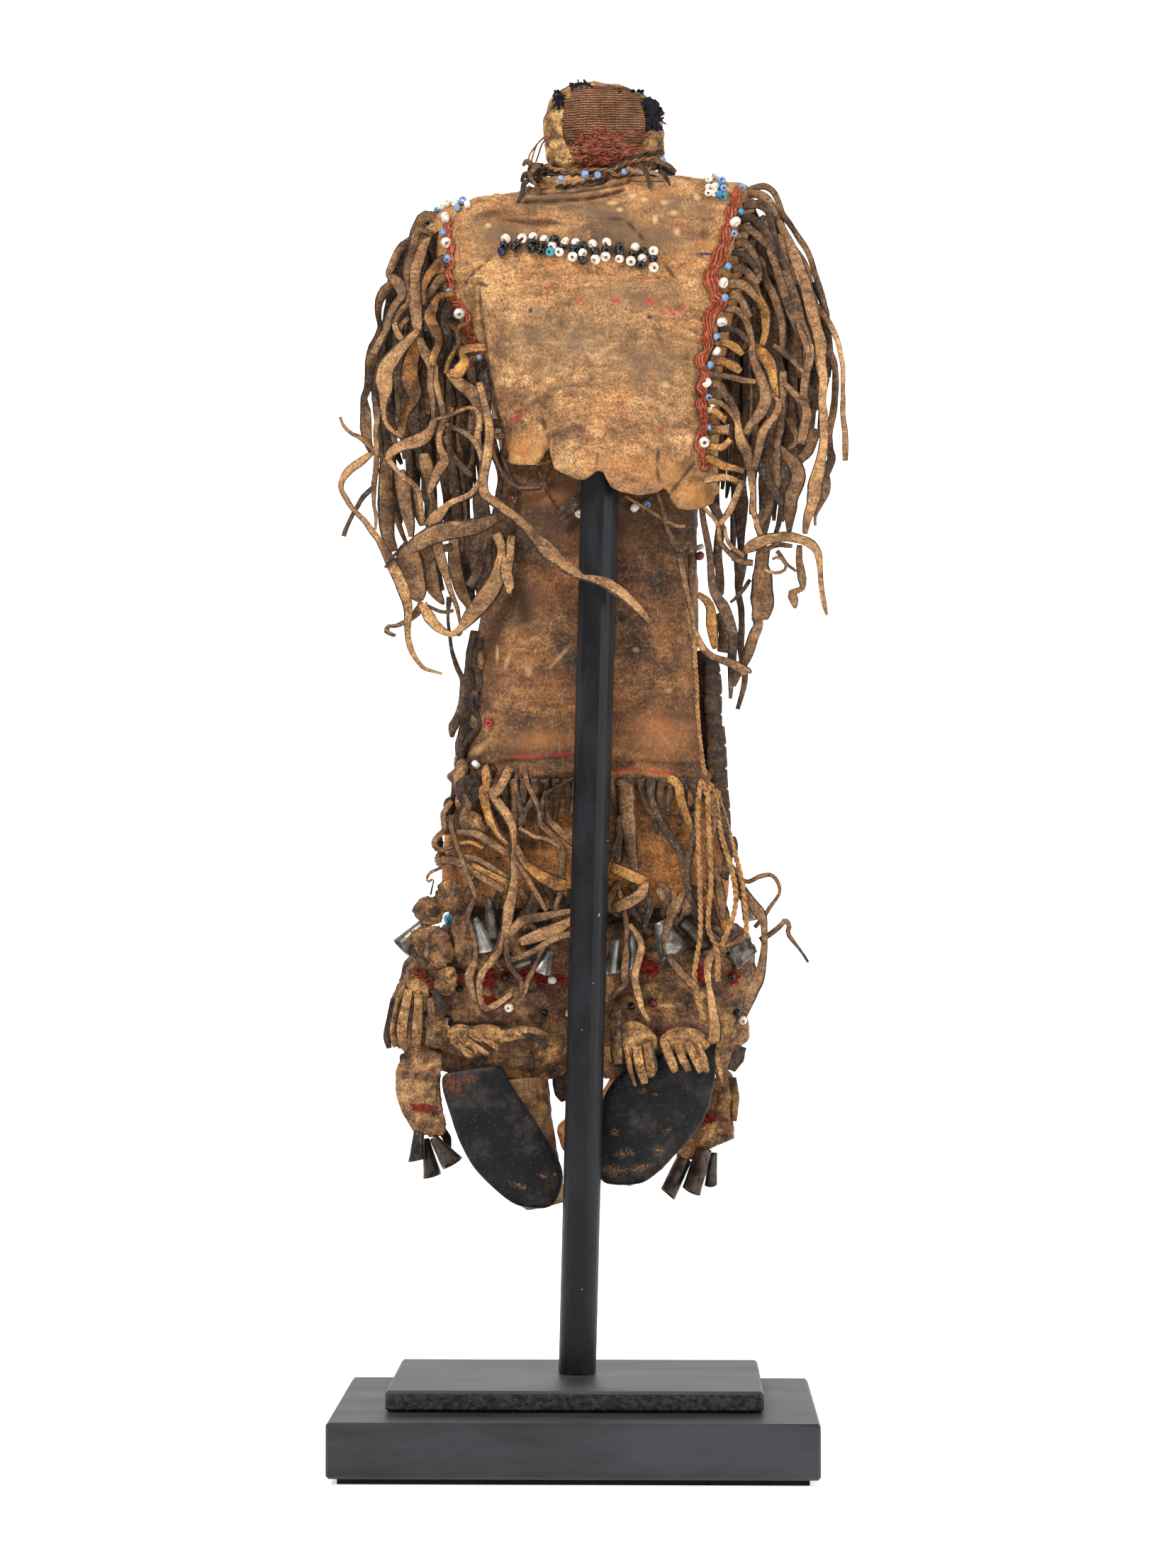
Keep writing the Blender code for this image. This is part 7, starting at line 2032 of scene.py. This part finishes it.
FOLDED_STRIPS = [
    ("m", 18.6, 18.6, [(580, 1338, 8), (590, 1352, 9), (604, 1362, 9)]),
    ("d", 18, 18, [(628, 1222, 4), (606, 1232, 5), (602, 1244, 4), (612, 1240, 4), (608, 1262, 5)]),
]
DANGLES = [[(784, 1516), (790, 1534), (797, 1553)], [(796, 1512), (799, 1530), (792, 1544)]]


def make_cut_tabs(looks):
    mine = [looks[one] for one in ("dark", "tab", "tab", "gold", "edge")]
    for k, (name, palm, depth, fingers) in enumerate(CUT_TABS):
        piece = Piece()
        slab(piece, palm, depth, 1.8, 3, k, 1.2, 0.6)
        traced(piece, None, fingers, 300 + 10 * k, 2.2 * MM)
        piece.make(name + "_hide", mine, [name])
    folded = Piece()
    for k, (outline, depth, crown, look) in enumerate(FOLDED_LUMPS):
        slab(folded, outline, depth, 3.0 if crown > 1 else 0.8, look, 20 + k, crown, 2.2, 0.22)
    traced(folded, None, FOLDED_STRIPS, 60)
    mine = [looks[one] for one in ("tab", "dark", "tab", "tab", "edge")]
    folded.make("folded_hide_tabs", mine, ["folded_side_tab"])
    dangle = Piece()
    for k, points in enumerate(DANGLES):
        tube(dangle, smooth_route([at(x, y, (35 + k) * MM) for x, y in points], 20),
             (1.0 * MM, 2.0 * MM, 2.4 * MM, 1.2 * MM), 9)
    dangle.make("dark_hide_dangle", [looks["dark"]], ["dark_dangle"])


# Side trims


# Lumps of the lacing down the left: middle and half sizes on the sheet
LACING_LUMPS = [
    (680, 908, 8, 9), (678, 936, 9, 26), (673, 987, 12, 17), (673, 1018, 11, 13), (652, 1054, 9, 19),
    (650, 1076, 10, 16), (634, 1138, 9, 14), (630, 1164, 8, 14), (618, 1190, 8, 12), (622, 1212, 9, 12),
]
LACING_STRIPS = [
    ("d", 33, 32, [(672, 890, 16), (668, 930, 22), (664, 980, 26), (660, 1020, 26), (654, 1050, 22),
        (650, 1080, 16)]),
    ("d", 29, 28, [(684, 900, 8), (668, 930, 7), (680, 962, 8), (664, 990, 7), (678, 1020, 8),
        (660, 1044, 8), (646, 1080, 9), (640, 1120, 9), (628, 1150, 8)]),
]
# Each length of the rolled strip down the right: route with depths, then radii in millimetres
ROLLS = [
    ([(1003, 925, 38), (1006, 960, 37), (1006, 1000, 37), (1007, 1027, 37)], (1.6, 2.6, 2.7, 2.7, 2.5), 4),
    ([(1010, 1024, 36), (1011, 1060, 36), (1012, 1100, 35), (1018, 1136, 33), (1026, 1173, 30)],
        (2.6, 3.2, 3.2, 2.6, 1.0), 5),
]


# The dark strip behind the rolled one, painted shade in the gap between the roll and the body, and the small
# disc at its lower end
ROLL_BACKING = [(990, 918), (990, 980), (992, 1040), (997, 1100), (1008, 1160)]
DISC = [(1031, 1182), (1037, 1180), (1041, 1190), (1040, 1205), (1035, 1210), (1030, 1203), (1030, 1190)]


def make_side_trims(looks):
    lacing = Piece()
    for k, (x, y, wide, tall) in enumerate(LACING_LUMPS):
        oval = [(x + wide * across, y + tall * down) for across, down in circle(1, 8)]
        slab(lacing, oval, 31 if y < 1100 else 24, 7, k % 2, 380 + k, 3.0, 1.8, 0.25)
    traced(lacing, None, LACING_STRIPS, 395, 2 * MM)
    mine = [looks[one] for one in ("dark", "tab", "dark", "dark", "edge")]
    lacing.make("side_hide_lacing", mine, ["side_lacing"])
    roll = Piece()
    for points, radii, folds in ROLLS:
        route = smooth_route([at(x, y, d * MM) for x, y, d in points], 70)

        def outline(share):
            segment = (share * folds) % 1
            notch = 1 - 0.22 * math.exp(-(min(segment, 1 - segment) / 0.05) ** 2)
            return [(x * notch * (1 + 0.1 * noise.noise(Vector((x * 300, share * 6, y * 300)))), y * notch)
                    for x, y in circle(along(radii, share) * MM, 14)]

        sweep(roll, route, outline)
    thong(roll, ROLL_BACKING, (14, 18, 18, 20, 14), (41, 40, 36), 0, 396, 2 * MM, twist=0.1)
    slab(roll, DISC, 31, 3.0, 0, 397)
    roll.make("rolled_hide_strip", [looks["dark"]], ["rolled_side_strip"])


# Feet


LEFT_SOLE = [
    (624, 1521), (660, 1508), (706, 1505), (719, 1528), (752, 1576), (782, 1624), (794, 1655), (790, 1682),
    (776, 1702), (748, 1704), (718, 1694), (674, 1654), (652, 1618), (637, 1578),
]
RIGHT_SOLE = [
    (1013, 1470), (1010, 1512), (1000, 1560), (984, 1593), (952, 1630), (918, 1662), (893, 1671),
    (852, 1668), (844, 1640), (843, 1590), (853, 1545), (881, 1511), (930, 1488), (980, 1472),
]
SOLE_DEPTH = 21 * MM
SOLE_THICKNESS = 2.4 * MM
# From the middle of the face over the rim to the back: share of the outline, then depth in millimetres
SOLE_PROFILE = [
    (0.0, -0.9), (0.25, -0.85), (0.5, -0.7), (0.72, -0.5), (0.87, -0.25), (0.95, 0.0), (0.985, 0.35),
    (1.0, 0.9), (1.0, 1.6), (0.985, 2.2), (0.94, 2.4),
]
LEFT_FOOT_RINGS = [
    (640, 1526, 772, 1516, 12), (644, 1560, 776, 1540, 12.5), (664, 1600, 779, 1580, 11.5),
    (690, 1645, 788, 1628, 9.5), (716, 1680, 794, 1664, 7), (745, 1702, 798, 1690, 4.5),
]
RIGHT_FOOT_RINGS = [
    (862, 1520, 996, 1514, 12), (838, 1552, 988, 1560, 12.5), (793, 1582, 970, 1596, 11.5),
    (790, 1606, 944, 1634, 9.5), (806, 1634, 920, 1656, 7), (838, 1656, 890, 1668, 4.5),
]
FOOT_ROWS = 60


def make_sole(name, outline, node, looks):
    """A thick sole with a crowned face and an eased, slightly ragged rim. The outline is on the sheet."""
    points = [Vector(p) for p in outline]
    middle = sum(points, Vector((0, 0))) / len(points)
    loop = [curve(points + points[:3], 1 + k * len(points) / 120) for k in range(120)]
    rings = []
    for shrink, deep in SOLE_PROFILE:
        ring = []
        for k, place in enumerate(loop):
            spot = middle.lerp(place, max(shrink, 0.004))
            rag = 0.35 * noise.noise(Vector((k * 0.4, shrink * 3, 2))) * shrink
            dent = 0.35 * noise.noise(Vector((spot.x * 0.03, spot.y * 0.03, 4)))
            ring.append(at(spot.x + rag, spot.y + rag, SOLE_DEPTH + (deep + dent * (1 - shrink)) * MM))
        rings.append(ring)
    piece = Piece()
    skin(piece, rings)
    piece.make(name, [looks["sole"]], [node])


def make_feet(looks):
    make_sole("left_hard_sole", LEFT_SOLE, "left_sole", looks)
    make_sole("right_hard_sole", RIGHT_SOLE, "right_sole", looks)
    front = SOLE_DEPTH + SOLE_THICKNESS + GAP
    for name, table, node, seed in (("left_foot_upper", LEFT_FOOT_RINGS, "left_foot", 3),
                                    ("right_foot_upper", RIGHT_FOOT_RINGS, "right_foot", 5)):
        grid = ring_grid(table, FOOT_ROWS, 90, DOLL_MIDDLE, 2.2)
        for r, ring in enumerate(grid):
            half = along([line[4] for line in table], r / FOOT_ROWS) * MM
            for point in ring:
                point.y += front + half - DOLL_MIDDLE

        def push(point, row, _):
            folds = 0.45 * wrinkle(point, 120, seed=seed) + 0.2 * wrinkle(point, 320, seed=seed)
            return folds * MM * fade(front + 2 * MM - point.y, -3 * MM, 3 * MM)

        piece = Piece()
        skin(piece, swollen(grid, push))
        made = piece.make(name, [looks["pendant" if node == "left_foot" else "under"]], [node])


# Stand, floor and light


def dress_stand(looks):
    for node, look in (("base_board", "paint"), ("base_plate", "pebbled"), ("base_felt", "felt"),
                       ("support_rod", "rod")):
        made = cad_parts[node]
        made.data.materials.clear()
        made.data.materials.append(looks[look])
    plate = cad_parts["base_plate"]
    plate.data.materials.append(looks["plate"])
    for face in plate.data.polygons:
        if face.normal.z > 0.5:
            face.material_index = 1


def make_room():
    shape = bpy.data.meshes.new("floor")
    corners = [(-REACH, -REACH, 0), (REACH, -REACH, 0), (REACH, WALL, 0), (-REACH, WALL, 0),
               (REACH, WALL, REACH), (-REACH, WALL, REACH)]
    shape.from_pydata(corners, [], [(0, 1, 2, 3), (3, 2, 4, 5)])
    floor = bpy.data.objects.new("floor", shape)
    bpy.context.collection.objects.link(floor)
    look = Look("floor", 0.9, specular=0.1)
    look.paint(look.ramp(look.noise(3.0, 2.0), (0.0, (0.93, 0.93, 0.93, 1)), (1.0, (0.96, 0.96, 0.96, 1))))
    look.shader.inputs["Emission Color"].default_value = (1, 1, 1, 1)
    look.shader.inputs["Emission Strength"].default_value = FLOOR_GLOW
    shape.materials.append(look.material)
    world = bpy.data.worlds.new("studio")
    world.use_nodes = True
    world.node_tree.nodes["Background"].inputs["Color"].default_value = (1, 1, 1, 1)
    world.node_tree.nodes["Background"].inputs["Strength"].default_value = WORLD_STRENGTH
    bpy.context.scene.world = world
    for name, place, size, power in LIGHTS:
        light = bpy.data.lights.new(name, "AREA")
        light.shape = "RECTANGLE"
        light.size, light.size_y = size
        light.energy = power
        lamp = bpy.data.objects.new(name, light)
        lamp.location = place
        aim = LIT_POINT - Vector(place)
        lamp.rotation_euler = aim.to_track_quat("-Z", "Y").to_euler()
        bpy.context.collection.objects.link(lamp)


WORLD_STRENGTH = 0.42
FLOOR_GLOW = 0.5
WALL = 2.0
REACH = 6.0
LIT_POINT = Vector((0, 0.03, 0.22))
# Name, place, size and power of each softbox
LIGHTS = [
    ("key", (-0.7, -1.0, 1.5), (0.4, 0.4), 29),
    ("fill", (1.2, -1.1, 0.6), (0.6, 0.9), 7),
    ("rim", (1.0, -0.15, 0.5), (0.2, 1.2), 4),
]


def main():
    noise.seed_set(NOISE_SEED)
    bpy.context.scene.view_settings.view_transform = "Standard"
    make_camera()
    looks = make_looks()
    make_cords(looks)
    dress_stand(looks)
    make_head(looks)
    make_neck(looks)
    cape = make_cape(looks)
    make_cape_trims(cape, looks)
    body = make_bodies(looks)
    make_fringe("left_fringe_thongs", cape, LEFT_FRINGE, LEFT_MASS, looks, ["left_cape_fringe"], 76, 400)
    make_fringe("right_fringe_thongs", cape, RIGHT_FRINGE, RIGHT_MASS, looks, ["right_cape_fringe"], 70, 600)
    make_loose_thongs(looks)
    make_skirt_fringe(body, looks)
    make_pendants(looks)
    make_cut_tabs(looks)
    make_side_trims(looks)
    make_feet(looks)
    make_room()


main()
